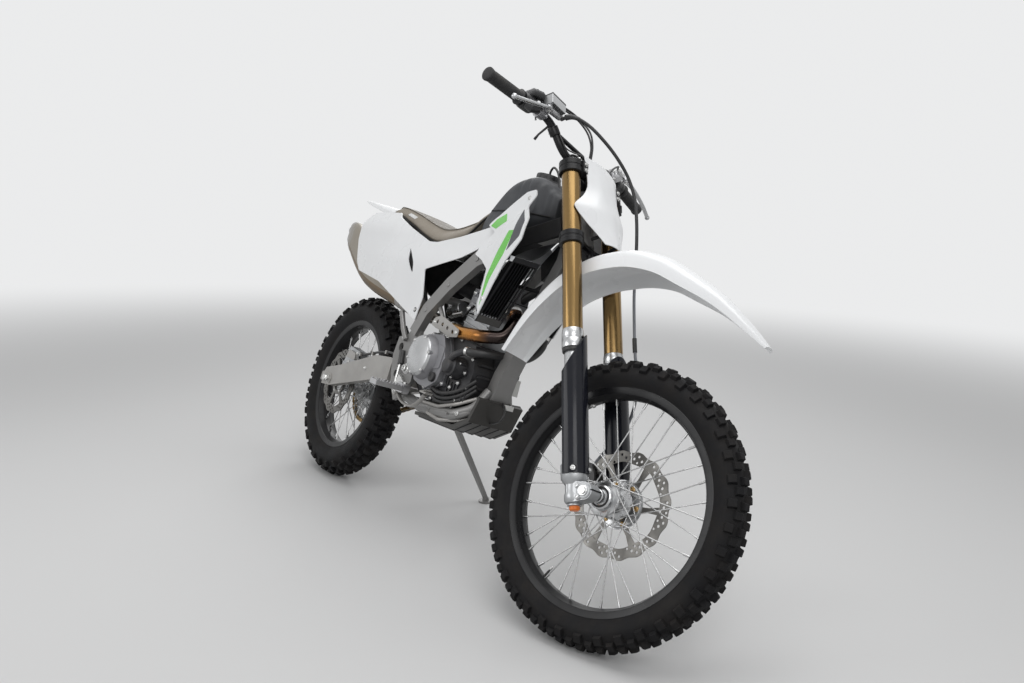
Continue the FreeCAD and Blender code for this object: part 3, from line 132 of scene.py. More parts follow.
class Shape:
    """Vertices and faces being gathered for one piece. Each part of it can take its own finish."""

    def __init__(self):
        self.points = []
        self.faces = []
        self.finishes = []

    def add(self, points, faces, finish=0):
        start = len(self.points)
        self.points.extend(points)
        self.faces.extend([tuple(start + i for i in face) for face in faces])
        self.finishes.extend([finish] * len(faces))
        return self

    def rings(self, rings, finish=0, closed=False, caps=True):
        """Skin through rings of equal length. closed joins the last ring to the first."""
        count, size = len(rings), len(rings[0])
        faces = []
        for i in range(count if closed else count - 1):
            a, b = i * size, (i + 1) % count * size
            for j in range(size):
                k = (j + 1) % size
                faces.append((a + j, a + k, b + k, b + j))
        if caps and not closed:
            faces.append(tuple(range(size))[::-1])
            faces.append(tuple((count - 1) * size + j for j in range(size)))
        return self.add([p for ring in rings for p in ring], faces, finish)

    def lathe(self, profile, centre, axis=LEFTWARD, steps=48, finish=0, closed=False, start=None):
        """Surface turned about an axis from (radius, distance along) points."""
        axis = Vector(axis).normalized()
        across = start.normalized() if start else axis.orthogonal().normalized()
        other = axis.cross(across)
        rings = [[centre + axis * t + (across * math.cos(a) + other * math.sin(a)) * max(r, 0.01)
                  for a in turns(steps)] for r, t in profile]
        return self.rings(rings, finish, closed, not closed)

    def rod(self, a, b, radius, steps=24, finish=0, chamfer=0.8):
        """Round bar with chamfered ends."""
        run = b - a
        length = run.length
        c = min(chamfer, radius * 0.4, length * 0.3)
        profile = [(radius - c, 0), (radius, c), (radius, length - c), (radius - c, length)]
        return self.lathe(profile, a, run, steps, finish)

    def tube(self, points, radius, steps=12, finish=0):
        """Round tube along points; radius is one value or one for each point."""
        radii = radius if isinstance(radius, (list, tuple)) else [radius] * len(points)
        rings = []
        normal = (points[1] - points[0]).orthogonal().normalized()
        for i, p in enumerate(points):
            run = (points[min(i + 1, len(points) - 1)] - points[max(i - 1, 0)]).normalized()
            normal = (normal - run * normal.dot(run)).normalized()
            other = run.cross(normal)
            rings.append([p + (normal * math.cos(a) + other * math.sin(a)) * radii[i] for a in turns(steps)])
        return self.rings(rings, finish)

    def hose(self, points, detail, radius, steps=12, finish=0):
        """Tube along a smooth curve through points; detail is the number of steps between two."""
        return self.tube(smooth_path(points, detail), radius, steps, finish)

    def prism(self, outline, low, high, finish=0):
        """Outline in the machine's side view, from one y to another."""
        return self.rings([[at(x, y, z) for x, z in outline] for y in (low, high)], finish)

    def fork_prism(self, outline, low, high):
        """Outline of (up, ahead) points on the fork, from one y to another."""
        return self.rings([[fork(up, ahead, y) for up, ahead in outline] for y in (low, high)])

    def block(self, centre, size, ahead=FORWARD, up=UPWARD, finish=0, taper=1.0):
        """Box about a centre; taper narrows its upper face."""
        x = Vector(ahead).normalized()
        z = Vector(up).normalized()
        y = z.cross(x).normalized()
        x = y.cross(z)
        a, b, c = size[0] / 2, size[1] / 2, size[2] / 2
        corners = []
        for sz, k in ((-1, 1.0), (1, taper)):
            for sx, sy in ((-1, -1), (1, -1), (1, 1), (-1, 1)):
                corners.append(centre + x * (sx * a * k) + y * (sy * b * k) + z * (sz * c))
        faces = [(3, 2, 1, 0), (4, 5, 6, 7), (0, 1, 5, 4), (1, 2, 6, 5), (2, 3, 7, 6), (3, 0, 4, 7)]
        return self.add(corners, faces, finish)

    def bolt(self, base, direction, radius=5.0, height=4.0, finish=0):
        """Flanged head with a recess, its underside at base."""
        axis = Vector(direction).normalized()
        flange = [(radius * 1.35, -0.6), (radius * 1.35, height * 0.25), (radius * 1.05, height * 0.4)]
        self.lathe(flange + [(radius * 0.6, height * 0.4)], base, axis, 18, finish)
        head = [(radius, height * 0.35), (radius, height * 0.9), (radius * 0.86, height),
                (radius * 0.55, height), (radius * 0.5, height * 0.62), (0.0, height * 0.6)]
        return self.lathe(head, base, axis, 6, finish)

    def mirrored(self):
        """Same shape on the other side of the machine as well."""
        start = len(self.points)
        self.points += mirror(self.points)
        self.faces += [tuple(start + i for i in reversed(face)) for face in self.faces]
        self.finishes += list(self.finishes)
        return self


def smooth_path(points, steps=8):
    """Even curve through every point."""
    count = len(points)
    out = []
    for i in range(count - 1):
        p1, p2 = points[i], points[i + 1]
        p0 = points[i - 1] if i else p1 * 2 - p2
        p3 = points[i + 2] if i + 2 < count else p2 * 2 - p1
        knots = [0.0]
        for a, b in ((p0, p1), (p1, p2), (p2, p3)):
            knots.append(knots[-1] + max((b - a).length, 1e-4) ** 0.5)
        t0, t1, t2, t3 = knots
        for s in range(steps):
            t = t1 + (t2 - t1) * s / steps
            a1 = p0 * ((t1 - t) / (t1 - t0)) + p1 * ((t - t0) / (t1 - t0))
            a2 = p1 * ((t2 - t) / (t2 - t1)) + p2 * ((t - t1) / (t2 - t1))
            a3 = p2 * ((t3 - t) / (t3 - t2)) + p3 * ((t - t2) / (t3 - t2))
            b1 = a1 * ((t2 - t) / (t2 - t0)) + a2 * ((t - t0) / (t2 - t0))
            b2 = a2 * ((t3 - t) / (t3 - t1)) + a3 * ((t - t1) / (t3 - t1))
            out.append(b1 * ((t2 - t) / (t2 - t1)) + b2 * ((t - t1) / (t2 - t1)))
    out.append(points[-1].copy())
    return out


def between(value, stations):
    """Row of numbers at value, on straight lines between rows that start with their own value."""
    if value <= stations[0][0]:
        return list(stations[0][1:])
    for low, high in zip(stations, stations[1:]):
        if value <= high[0]:
            t = (value - low[0]) / (high[0] - low[0])
            return [a + (b - a) * t for a, b in zip(low[1:], high[1:])]
    return list(stations[-1][1:])


def fill_loops(mesh, loops):
    """Fills the flat area between an outer loop of points and the loops of its holes."""
    edges = []
    for loop in loops:
        ring = [mesh.verts.new(point) for point in loop]
        edges += [mesh.edges.new((ring[i], ring[(i + 1) % len(ring)])) for i in range(len(ring))]
    bmesh.ops.triangle_fill(mesh, use_beauty=True, edges=edges)


def outline_skin(outline, surface, grid=12.0, corner=0.0, holes=()):
    """Flat side-view outline cut into a grid and laid on a surface that gives y from x and z."""
    mesh = bmesh.new()
    rim = rounded(outline, corner) if corner else outline
    loops = [rim] + [rounded(hole, corner) if corner else hole for hole in holes]
    fill_loops(mesh, [[(x, 0, z) for x, z in loop] for loop in loops])
    low = [min(p[k] for p in rim) for k in (0, 1)]
    high = [max(p[k] for p in rim) for k in (0, 1)]
    for k, normal in ((0, FORWARD), (1, UPWARD)):
        place = low[k] + grid
        while place < high[k]:
            co = (place, 0, 0) if k == 0 else (0, 0, place)
            bmesh.ops.bisect_plane(mesh, geom=mesh.verts[:] + mesh.edges[:] + mesh.faces[:], plane_co=co,
                                   plane_no=normal, dist=0.01)
            place += grid
    bmesh.ops.dissolve_limit(mesh, angle_limit=0.001, verts=[],
                             edges=[e for e in mesh.edges if inner_slant(e)])
    for v in mesh.verts:
        v.co.y = surface(v.co.x, v.co.z)
    mesh.normal_update()
    points = [v.co.copy() for v in mesh.verts]
    mesh.verts.index_update()
    faces = [tuple(v.index for v in f.verts) for f in mesh.faces]
    mesh.free()
    return points, faces


def inner_slant(edge):
    """True for the slanting edges left by the first fill, which the grid makes needless."""
    a, b = (v.co for v in edge.verts)
    return len(edge.link_faces) == 2 and abs(a.x - b.x) > 0.01 and abs(a.z - b.z) > 0.01


def rounded(outline, radius):
    """Outline with its corners rounded."""
    out = []
    count, steps = len(outline), 4
    for i in range(count):
        before, here, after = (Vector(outline[(i + k) % count]) for k in (-1, 0, 1))
        into, away = here - before, after - here
        cut = min(radius, into.length * 0.45, away.length * 0.45)
        start, end = here - into.normalized() * cut, here + away.normalized() * cut
        for s in range(steps + 1):
            t = s / steps
            out.append(tuple(start * (1 - t) ** 2 + here * (2 * t * (1 - t)) + end * t ** 2))
    return out


# Finishes


def new_group(name, inputs, outputs):
    """Empty shader group with its sockets, and its input and output nodes."""
    group = bpy.data.node_groups.new(name, "ShaderNodeTree")
    for label, kind, value in inputs:
        socket = group.interface.new_socket(label, in_out="INPUT", socket_type="NodeSocket" + kind)
        socket.default_value = value
    for label, kind in outputs:
        group.interface.new_socket(label, in_out="OUTPUT", socket_type="NodeSocket" + kind)
    return group, group.nodes.new("NodeGroupInput"), group.nodes.new("NodeGroupOutput")


def feed(tree, node, inputs):
    """Sets a node's inputs to the values given for them, or links them to the sockets given."""
    for label, value in inputs.items():
        if isinstance(value, bpy.types.NodeSocket):
            tree.links.new(value, node.inputs[label])
        else:
            node.inputs[label].default_value = value


def wire(tree, kind, inputs, **settings):
    """New shader node with its settings and inputs."""
    node = tree.nodes.new("ShaderNode" + kind)
    for label, value in settings.items():
        setattr(node, label, value)
    feed(tree, node, inputs)
    return node


def noise(group, scale, detail=4.0, roughness=0.55, stretch=None):
    """Noise in the piece's own coordinates."""
    place = wire(group, "TexCoord", {}).outputs["Object"]
    if stretch:
        place = wire(group, "Mapping", {"Scale": stretch, "Vector": place}).outputs["Vector"]
    return wire(group, "TexNoise", {"Detail": detail, "Roughness": roughness, "Scale": scale,
                                    "Vector": place}).outputs["Fac"]


def ramp(tree, value, low, high, bottom=0.0, top=1.0):
    """Value between low and high spread between bottom and top."""
    return wire(tree, "MapRange", {"Value": value, "From Min": low, "From Max": high, "To Min": bottom,
                                   "To Max": top}).outputs["Result"]


def mottle_group():
    """Patches of a second colour."""
    group, inside, outside = new_group(
        "Mottle", [("Colour", "Color", (1, 1, 1, 1)), ("Second", "Color", (0.8, 0.8, 0.8, 1)),
                   ("Scale", "Float", 8.0)], [("Colour", "Color"), ("Value", "Float")])
    value = ramp(group, noise(group, inside.outputs["Scale"]), 0.38, 0.66)
    mix = wire(group, "Mix", {"Factor": value, 6: inside.outputs["Colour"], 7: inside.outputs["Second"]},
               data_type="RGBA")
    feed(group, outside, {"Colour": mix.outputs[2], "Value": value})
    return group


def grain_group():
    """Fine relief of moulded or cast surfaces."""
    group, inside, outside = new_group("Grain", [("Scale", "Float", 800.0)], [("Height", "Float")])
    feed(group, outside, {"Height": noise(group, inside.outputs["Scale"], 2.0, 0.5)})
    return group


def brushed_group():
    """Fine relief drawn out along the machine."""
    group, inside, outside = new_group("Brushed", [("Scale", "Float", 60.0)], [("Height", "Float")])
    feed(group, outside, {"Height": noise(group, inside.outputs["Scale"], 3.0, 0.6, (0.6, 8.0, 8.0))})
    return group


def scuff_group():
    """Rubbed patches."""
    group, inside, outside = new_group(
        "Scuffs", [("Scale", "Float", 40.0), ("Amount", "Float", 0.3)], [("Mask", "Float")])
    marks = noise(group, inside.outputs["Scale"], 8.0, 0.7, (1.0, 3.0, 0.6))
    feed(group, outside, {"Mask": ramp(group, marks, 0.55, 0.72, top=inside.outputs["Amount"])})
    return group


def dust_group():
    """Dust that lies on upward faces and in patches."""
    group, inside, outside = new_group(
        "Dust", [("Scale", "Float", 14.0), ("Amount", "Float", 0.3)], [("Mask", "Float")])
    patch = ramp(group, noise(group, inside.outputs["Scale"], 6.0, 0.65), 0.42, 0.75,
                 top=inside.outputs["Amount"])
    normal = wire(group, "NewGeometry", {}).outputs["Normal"]
    up = wire(group, "SeparateXYZ", {"Vector": normal}).outputs["Z"]
    join = wire(group, "Math", {0: patch, 1: ramp(group, up, -0.4, 1.0)}, operation="MULTIPLY")
    feed(group, outside, {"Mask": join.outputs[0]})
    return group


GROUPS = {}


def group_node(tree, name, values):
    """Shared effect placed in a material with its own values."""
    if name not in GROUPS:
        GROUPS[name] = {"Mottle": mottle_group, "Grain": grain_group, "Brushed": brushed_group,
                        "Scuffs": scuff_group, "Dust": dust_group}[name]()
    return wire(tree, "Group", values, node_tree=GROUPS[name])


def colour4(colour, factor=1.0):
    return (colour[0] * factor, colour[1] * factor, colour[2] * factor, 1.0)


FINISHES = {}
DUST = (0.33, 0.29, 0.24)


def finish(name, colour, rough, metallic=0.0, second=None, mottle=9.0, spread=0.08, grain=None, brushed=None,
           depth=0.0, scuffs=0.0, dust=0.0, coat=0.0, heat=None, shine=0.5):
    """Material of one finish: colour that drifts, roughness that varies, fine relief, scuffs and dust."""
    material = bpy.data.materials.new(name)
    material.use_nodes = True
    tree = material.node_tree
    shader = tree.nodes["Principled BSDF"]
    body = group_node(tree, "Mottle", {"Colour": colour4(colour), "Scale": mottle,
                                       "Second": colour4(second) if second else colour4(colour, 0.86)})
    shade = body.outputs["Colour"]
    if heat:
        shade = heat_tint(tree, shade, heat)
    roughness = ramp(tree, body.outputs["Value"], 0.0, 1.0, rough - spread, rough + spread)
    if scuffs:
        marks = group_node(tree, "Scuffs", {"Amount": scuffs}).outputs["Mask"]
        roughness = wire(tree, "Math", {0: marks, 1: 0.5, 2: roughness}, operation="MULTIPLY_ADD").outputs[0]
    if dust:
        film = group_node(tree, "Dust", {"Amount": dust}).outputs["Mask"]
        shade = wire(tree, "Mix", {"Factor": film, 6: shade, 7: colour4(DUST)}, data_type="RGBA").outputs[2]
    feed(tree, shader, {"Metallic": metallic, "Coat Weight": coat, "Coat Roughness": 0.08,
                        "Specular IOR Level": shine, "Base Color": shade, "Roughness": roughness})
    relief = ("Grain", grain) if grain else ("Brushed", brushed) if brushed else None
    if relief:
        height = group_node(tree, relief[0], {"Scale": relief[1]}).outputs["Height"]
        bump = wire(tree, "Bump", {"Strength": depth or 0.25, "Distance": 0.0006, "Height": height})
        feed(tree, shader, {"Normal": bump.outputs["Normal"]})
    material.diffuse_color = colour4(colour)
    FINISHES[name] = material


def heat_tint(tree, shade, heat):
    """Colour that runs through shades along X; heat is the first and last place, then the shades."""
    place = wire(tree, "TexCoord", {}).outputs["Object"]
    along = wire(tree, "SeparateXYZ", {"Vector": place}).outputs["X"]
    colours = wire(tree, "ValToRGB", {"Fac": ramp(tree, along, heat[0], heat[1])})
    stops = colours.color_ramp.elements
    stops[0].color, stops[1].color = colour4(heat[2]), colour4(heat[-1])
    for i, colour in enumerate(heat[3:-1]):
        stop = stops.new((i + 1) / (len(heat) - 3))
        stop.color = colour4(colour)
    mix = wire(tree, "Mix", {"Factor": 1.0, 6: shade, 7: colours.outputs["Color"]}, data_type="RGBA",
               blend_type="MULTIPLY")
    return mix.outputs[2]


# Shades of the header pipe, from grey through straw and gold to black
HEAT_SHADES = ((0.55, 0.50, 0.44), (0.9, 0.66, 0.34), (1.0, 0.50, 0.13), (0.95, 0.42, 0.10),
               (0.10, 0.08, 0.08), (0.05, 0.05, 0.05))


def tinted(colour, factor):
    return tuple(c * factor for c in colour)


def mix_finishes(look):
    """Every finish of the machine: its name, colour, roughness and what else it needs."""
    white, gold, seat = tuple(look.white), tuple(look.gold), tuple(look.seat)
    finish("white_plastic", white, 0.30, second=tinted(white, 0.965), mottle=5, spread=0.05, grain=900,
           depth=0.05, scuffs=0.03, dust=0.02, coat=0.25)
    finish("leaf_green", tuple(look.green), 0.34, mottle=14, scuffs=0.1, coat=0.2, grain=900, depth=0.04)
    finish("slate_film", (0.058, 0.060, 0.070), 0.36, mottle=20, grain=1400, depth=0.12, scuffs=0.1)
    finish("tank_plastic", (0.055, 0.058, 0.064), 0.55, mottle=12, grain=900, depth=0.45, scuffs=0.2,
           dust=0.08, shine=0.35)
    finish("black_plastic", (0.012, 0.012, 0.013), 0.52, mottle=16, grain=1100, depth=0.3, scuffs=0.15,
           dust=0.04, shine=0.22)
    finish("gloss_black", (0.008, 0.009, 0.014), 0.20, mottle=7, spread=0.06, grain=700, depth=0.03,
           scuffs=0.10, dust=0.02, coat=0.08, shine=0.22)
    finish("cap_black", (0.020, 0.020, 0.021), 0.38, mottle=20, grain=1200, depth=0.2, scuffs=0.15)
    finish("hose_rubber", (0.018, 0.018, 0.019), 0.46, mottle=30, grain=1300, depth=0.2, dust=0.1)
    finish("hose_sleeve", (0.20, 0.21, 0.23), 0.42, mottle=30, grain=1500, depth=0.25)
    finish("grip_rubber", (0.017, 0.017, 0.018), 0.72, mottle=30, grain=1500, depth=0.5, dust=0.1)
    finish("tyre_rubber", (0.008, 0.008, 0.009), 0.66, second=(0.014, 0.013, 0.013), mottle=18, grain=1000,
           depth=0.6, scuffs=0.15, dust=0.04, shine=0.14)
    finish("gold_anodise", gold, 0.24, metallic=1.0, second=tinted(gold, 0.9), mottle=4, spread=0.04,
           brushed=90, depth=0.10, scuffs=0.08)
    finish("machined_alloy", (0.50, 0.505, 0.51), 0.29, metallic=1.0, mottle=16, brushed=120, depth=0.05,
           scuffs=0.12)
    finish("cast_alloy", (0.44, 0.45, 0.46), 0.42, metallic=0.9, mottle=12, grain=700, depth=0.12,
           scuffs=0.1, dust=0.12)
    finish("cover_alloy", (0.27, 0.27, 0.285), 0.50, metallic=0.35, mottle=12, grain=900, depth=0.2,
           scuffs=0.15, dust=0.08)
    finish("arm_alloy", (0.36, 0.35, 0.335), 0.42, metallic=0.55, mottle=8, brushed=70, depth=0.2,
           scuffs=0.2, dust=0.12)
    finish("frame_paint", (0.225, 0.222, 0.218), 0.40, metallic=0.35, mottle=7, grain=900, depth=0.15,
           scuffs=0.2, dust=0.12, coat=0.1)
    finish("plate_alloy", (0.50, 0.50, 0.51), 0.36, metallic=0.8, mottle=14, grain=600, depth=0.35,
           scuffs=0.3, dust=0.15)
    finish("black_anodise", (0.007, 0.007, 0.008), 0.34, mottle=8, grain=800, depth=0.05, scuffs=0.1,
           dust=0.01, shine=0.28)
    finish("black_paint", (0.018, 0.018, 0.019), 0.42, mottle=12, grain=900, depth=0.2, scuffs=0.25,
           dust=0.12)
    finish("engine_black", (0.035, 0.035, 0.038), 0.46, metallic=0.4, mottle=14, grain=600, depth=0.5,
           scuffs=0.25, dust=0.2)
    finish("spoke_steel", (0.52, 0.52, 0.52), 0.26, metallic=1.0, mottle=40, spread=0.08, brushed=200,
           depth=0.05)
    finish("disc_steel", (0.17, 0.165, 0.155), 0.38, metallic=1.0, mottle=22, brushed=160, depth=0.2,
           scuffs=0.3)
    finish("zinc_bolt", (0.62, 0.62, 0.61), 0.30, metallic=1.0, mottle=60, grain=900, depth=0.1)
    finish("bronze_bolt", (0.52, 0.36, 0.17), 0.34, metallic=1.0, mottle=60, grain=900, depth=0.1)
    finish("chain_steel", (0.23, 0.21, 0.18), 0.44, metallic=0.9, mottle=60, grain=700, depth=0.3, dust=0.2)
    finish("silencer_shell", (0.30, 0.27, 0.225), 0.38, metallic=0.75, mottle=6, brushed=50, depth=0.2,
           scuffs=0.2, dust=0.1)
    finish("skid_grey", (0.050, 0.048, 0.045), 0.40, metallic=0.4, mottle=12, grain=800, depth=0.2,
           scuffs=0.2)
    finish("silencer_brown", (0.10, 0.068, 0.032), 0.34, metallic=0.7, second=(0.15, 0.10, 0.05), mottle=9,
           brushed=50, depth=0.2, dust=0.1)
    finish("seat_side", seat, 0.56, second=tinted(seat, 0.88), mottle=10, grain=1300, depth=0.5,
           scuffs=0.15, dust=0.1)
    finish("seat_top", tinted(seat, 0.50), 0.62, mottle=12, grain=1600, depth=0.7, dust=0.12)
    finish("patch_vinyl", (0.60, 0.60, 0.59), 0.42, mottle=30, grain=1000, depth=0.15)
    finish("plug_orange", (0.86, 0.20, 0.02), 0.34, mottle=30, grain=900, depth=0.08)
    finish("tank_white", (0.62, 0.62, 0.60), 0.4, mottle=20, grain=900, depth=0.1)
    finish("core_black", (0.007, 0.007, 0.008), 0.62, mottle=20, grain=900, depth=0.3, dust=0.03,
           shine=0.12)
    finish("heated_pipe", (0.50, 0.47, 0.43), 0.26, metallic=1.0, mottle=14, brushed=60, depth=0.12,
           scuffs=0.15, heat=(-0.05, 0.235) + HEAT_SHADES)


# Pieces


def piece(name, body, shape, finishes, replaces=(), bevel=0.0, segments=2, subdivide=0,
          thickness=0.0, crease_angle=35.0, angle=30.0, offset=-1.0):
    """Turns a gathered shape into a piece of the machine that rides on a body."""
    mesh = bpy.data.meshes.new(name)
    mesh.from_pydata([tuple(p) for p in shape.points], [], shape.faces)
    mesh.transform(PLACE[body])
    for label in finishes:
        mesh.materials.append(FINISHES[label])
    for face, index in zip(mesh.polygons, shape.finishes):
        face.material_index = index
    tidy = bmesh.new()
    tidy.from_mesh(mesh)
    bmesh.ops.remove_doubles(tidy, verts=tidy.verts, dist=0.000004)
    bmesh.ops.recalc_face_normals(tidy, faces=tidy.faces)
    limit = math.radians(crease_angle)
    for face in tidy.faces:
        face.smooth = True
    for edge in tidy.edges:
        if len(edge.link_faces) == 2:
            edge.smooth = edge.calc_face_angle(0.0) < limit
    tidy.to_mesh(mesh)
    tidy.free()
    thing = bpy.data.objects.new(name, mesh)
    bpy.context.scene.collection.objects.link(thing)
    if subdivide:
        modifier = thing.modifiers.new("smoother", "SUBSURF")
        modifier.levels = modifier.render_levels = subdivide
    if thickness:
        modifier = thing.modifiers.new("thickness", "SOLIDIFY")
        modifier.thickness = thickness * MM
        modifier.offset = offset
        modifier.use_even_offset = True
    if bevel:
        modifier = thing.modifiers.new("edges", "BEVEL")
        modifier.width = bevel * MM
        modifier.segments = segments
        modifier.limit_method = "ANGLE"
        modifier.angle_limit = math.radians(angle)
        modifier.harden_normals = True
    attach(thing, body)
    if replaces:
        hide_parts(*replaces)
    return thing


def paint_node(node, label):
    """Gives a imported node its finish."""
    materials = frame["nodes"][node].data.materials
    materials.clear()
    materials.append(FINISHES[label])


# What a user would change


class TRAIL_look(bpy.types.PropertyGroup):
    white: FloatVectorProperty(name="Plastic", description="Colour of the fenders, panels and front plate",
                               subtype="COLOR", size=3, min=0, max=1, default=(0.80, 0.81, 0.82))
    green: FloatVectorProperty(name="Flashes", description="Colour of the flashes on the shrouds",
                               subtype="COLOR", size=3, min=0, max=1, default=(0.13, 0.56, 0.055))
    gold: FloatVectorProperty(name="Fork tubes", description="Colour of the anodised fork tubes",
                              subtype="COLOR", size=3, min=0, max=1, default=(0.245, 0.158, 0.066))
    seat: FloatVectorProperty(name="Seat", description="Colour of the seat's sides",
                              subtype="COLOR", size=3, min=0, max=1, default=(0.235, 0.205, 0.165))
    light: FloatProperty(name="Studio light", description="Level of the light around the machine",
                         min=0.0, max=3.0, default=1.0)


class TRAIL_sizes(bpy.types.PropertyGroup):
    front_rows: IntProperty(name="Front lug rows", description="Pairs of lug rows round the front tyre",
                            min=20, max=60, default=38)
    rear_rows: IntProperty(name="Rear lug rows", description="Pairs of lug rows round the rear tyre",
                           min=18, max=50, default=32)
    lug_length: FloatProperty(name="Lug length", description="Length of a tyre lug along the tread",
                              unit="LENGTH", min=0.008, max=0.025, default=0.0165)
    disc_holes: IntProperty(name="Disc holes", description="Drilled holes in each ring of the front disc",
                            min=12, max=48, default=32)
    slats: IntProperty(name="Slats", description="Upright slats in each radiator louvre",
                       min=4, max=14, default=9)
    grip_ribs: IntProperty(name="Grip ribs", description="Ribs round each grip", min=8, max=40, default=22)
    ribs: IntProperty(name="Tank ribs", description="Moulded ribs on each side of the tank",
                      min=2, max=9, default=5)
    teeth: IntProperty(name="Rear sprocket teeth", description="Teeth on the rear sprocket",
                       min=30, max=60, default=48)


def look():
    return bpy.context.scene.trail_look


def sizes():
    return bpy.context.scene.trail_sizes


# Wheels


def sheet_part(shape, outer, holes, low, high, place):
    """Flat plate with holes: loops of (a, b) points filled on both faces and walled between."""
    mesh = bmesh.new()
    loops = [outer] + list(holes)
    fill_loops(mesh, [[(a, b, 0) for a, b in loop] for loop in loops])
    mesh.verts.index_update()
    flat = [v.co.copy() for v in mesh.verts]
    fill = [tuple(v.index for v in f.verts) for f in mesh.faces]
    mesh.free()
    for depth in (low, high):
        shape.add([place(p.x, p.y, depth) for p in flat], fill)
    for loop in loops:
        shape.rings([[place(a, b, depth) for a, b in loop] for depth in (low, high)], caps=False)
    return shape


def circle(radius, steps, a=0.0, b=0.0, turn=0.0):
    """Loop of flat points round (a, b)."""
    return [(a + radius * math.cos(t), b + radius * math.sin(t)) for t in turns(steps, turn)]


def about(centre):
    """Places flat points square to a wheel's axle."""
    return lambda a, b, y: centre + at(a, y, b)


# Half of each carcass from the bead out, as (radius, y), and where its lugs stand: the arc that
# their tips lie on, then for each row the angle of every lug round that arc and its width.
FRONT_CARCASS = [(262, 24.6), (266, 26.2), (270, 26.6), (272.5, 29.0), (275, 29.4), (279, 31.5), (288, 36.2),
                 (300, 39), (306, 39.2), (312, 37.6), (322, 32.5), (331, 24), (336.5, 14), (338, 0)]
REAR_CARCASS = [(224, 30.4), (228, 32.2), (233, 32.8), (236, 35.8), (239, 36.2), (243, 38.6), (254, 44.5),
                (270, 48.5), (279, 48.8), (288, 46.5), (301, 39), (311, 28), (318, 15), (320, 0)]
FRONT_RIM_R, REAR_RIM_R = 262, 224
FRONT_LUGS = (302.6, 46.3, (((-62, 19), (-15, 16.5), (15, 16.5), (62, 19)), ((-39, 17), (39, 17))))
REAR_LUGS = (278.2, 54.7, (((-63, 20), (-17, 21), (17, 21), (63, 20)), ((-41, 21), (41, 21), (0, 19))))


def lug(shape, centre, wheel_angle, arc, tip_angle, width, length, depth, lean):
    """Tapered rubber block with its tip on the arc and its foot inside the carcass."""
    base_r, arc_r = arc
    phi = math.radians(tip_angle)
    outward = around(1.0, wheel_angle)
    along = at(-math.sin(wheel_angle), 0, math.cos(wheel_angle))
    up = outward * math.cos(phi) + at(0, math.sin(phi), 0)
    side = at(0, math.cos(phi), 0) - outward * math.sin(phi)
    hub = centre + outward * base_r
    drop = arc_r - math.sqrt(arc_r ** 2 - (width / 2) ** 2) if abs(tip_angle) < 5 else 0.4
    rings = []
    for reach, grow in ((arc_r - depth, 1.28), (arc_r - depth * 0.35, 1.08), (arc_r - drop, 0.98)):
        middle = hub + up * reach + along * (lean * (reach - arc_r) * 0.12)
        a, b = side * (width / 2 * grow), along * (length / 2 * grow)
        rings.append([middle - a - b, middle + a - b, middle + a + b, middle - a + b])
    shape.rings(rings)


def tread(centre, carcass, lugs, rows, seed, depth, steps):
    """Tyre with its lugs, each a little out of line."""
    dice = random.Random(seed)
    length = sizes().lug_length / MM
    shape = Shape()
    loop = carcass + [(r, -y) for r, y in reversed(carcass[:-1])]
    inner = [(carcass[0][0] + 6, -carcass[0][1] + 5), (carcass[0][0] + 6, carcass[0][1] - 5)]
    shape.lathe(loop + inner, centre, steps=steps, closed=True, start=at(1, 0, 0))
    base_r, arc_r, patterns = lugs
    pitch = 2 * math.pi / rows
    for i in range(rows):
        for k, pattern in enumerate(patterns):
            for tip_angle, width in pattern:
                shift = 0.16 * pitch * (1 if tip_angle > 0 else -1) * (1 if abs(tip_angle) < 30 else 0.4)
                angle = (i + 0.5 * k) * pitch + shift + dice.uniform(-0.012, 0.012) * pitch
                lug(shape, centre, angle, (base_r, arc_r), tip_angle + dice.uniform(-0.5, 0.5),
                    width * dice.uniform(0.96, 1.03), length * (1.0 if abs(tip_angle) < 50 else 1.12), depth,
                    dice.choice((-1, 1)))
    return shape


def rim_ring(centre, seat_r, half):
    """Rim with its flanges, turned about the axle."""
    inner = seat_r - 13
    side = [(inner, 0.30 * half), (inner + 0.6, 0.42 * half), (inner + 4.5, 0.62 * half),
            (seat_r - 6, half - 3.4), (seat_r - 4.4, half - 0.6), (seat_r - 4.8, half + 2.0),
            (seat_r - 1.0, half + 3.2), (seat_r + 7, half + 4.4), (seat_r + 11.6, half + 5.4),
            (seat_r + 13.0, half + 4.6), (seat_r + 12.6, half + 2.9), (seat_r + 10.5, half + 2.2),
            (seat_r - 0.2, half - 0.2)]
    loop = side + [(r, -y) for r, y in reversed(side)]
    return Shape().lathe(loop, centre, steps=144, closed=True, start=at(1, 0, 0))


def valve_stem(centre, seat_r, turn, lock_turns):
    """Valve on the inside of a rim, and the nuts of the rim locks."""
    shape = Shape()
    out = around(1.0, turn)
    foot = centre + out * (seat_r - 12)
    shape.lathe([(5.2, -1), (5.2, 2), (3.1, 4), (3.0, 18), (2.4, 19), (2.4, 25)], foot, out * -1.0, 14)
    shape.lathe([(3.4, 24), (3.4, 32), (2.6, 33.5), (0.1, 33.5)], foot, out * -1.0, 10, 1)
    for lock_turn in lock_turns:
        lock = around(1.0, lock_turn)
        shape.bolt(centre + lock * (seat_r - 12.5), lock * -1.0, 6.0, 6.0, 1)
    return shape


def petal_loop(mean, wave, petals, steps):
    """Wavy edge of a brake disc."""
    out = []
    for i in range(petals * steps):
        a = 2 * math.pi * i / (petals * steps)
        s = math.cos(petals * a)
        r = mean - wave * (0.5 - 0.5 * (abs(s) ** 0.6 if s > 0 else -abs(s) ** 0.9))
        out.append((r * math.cos(a), r * math.sin(a)))
    return out


# Angle of the first arm between a brake disc and its carrier
ARM_TURN = 0.2


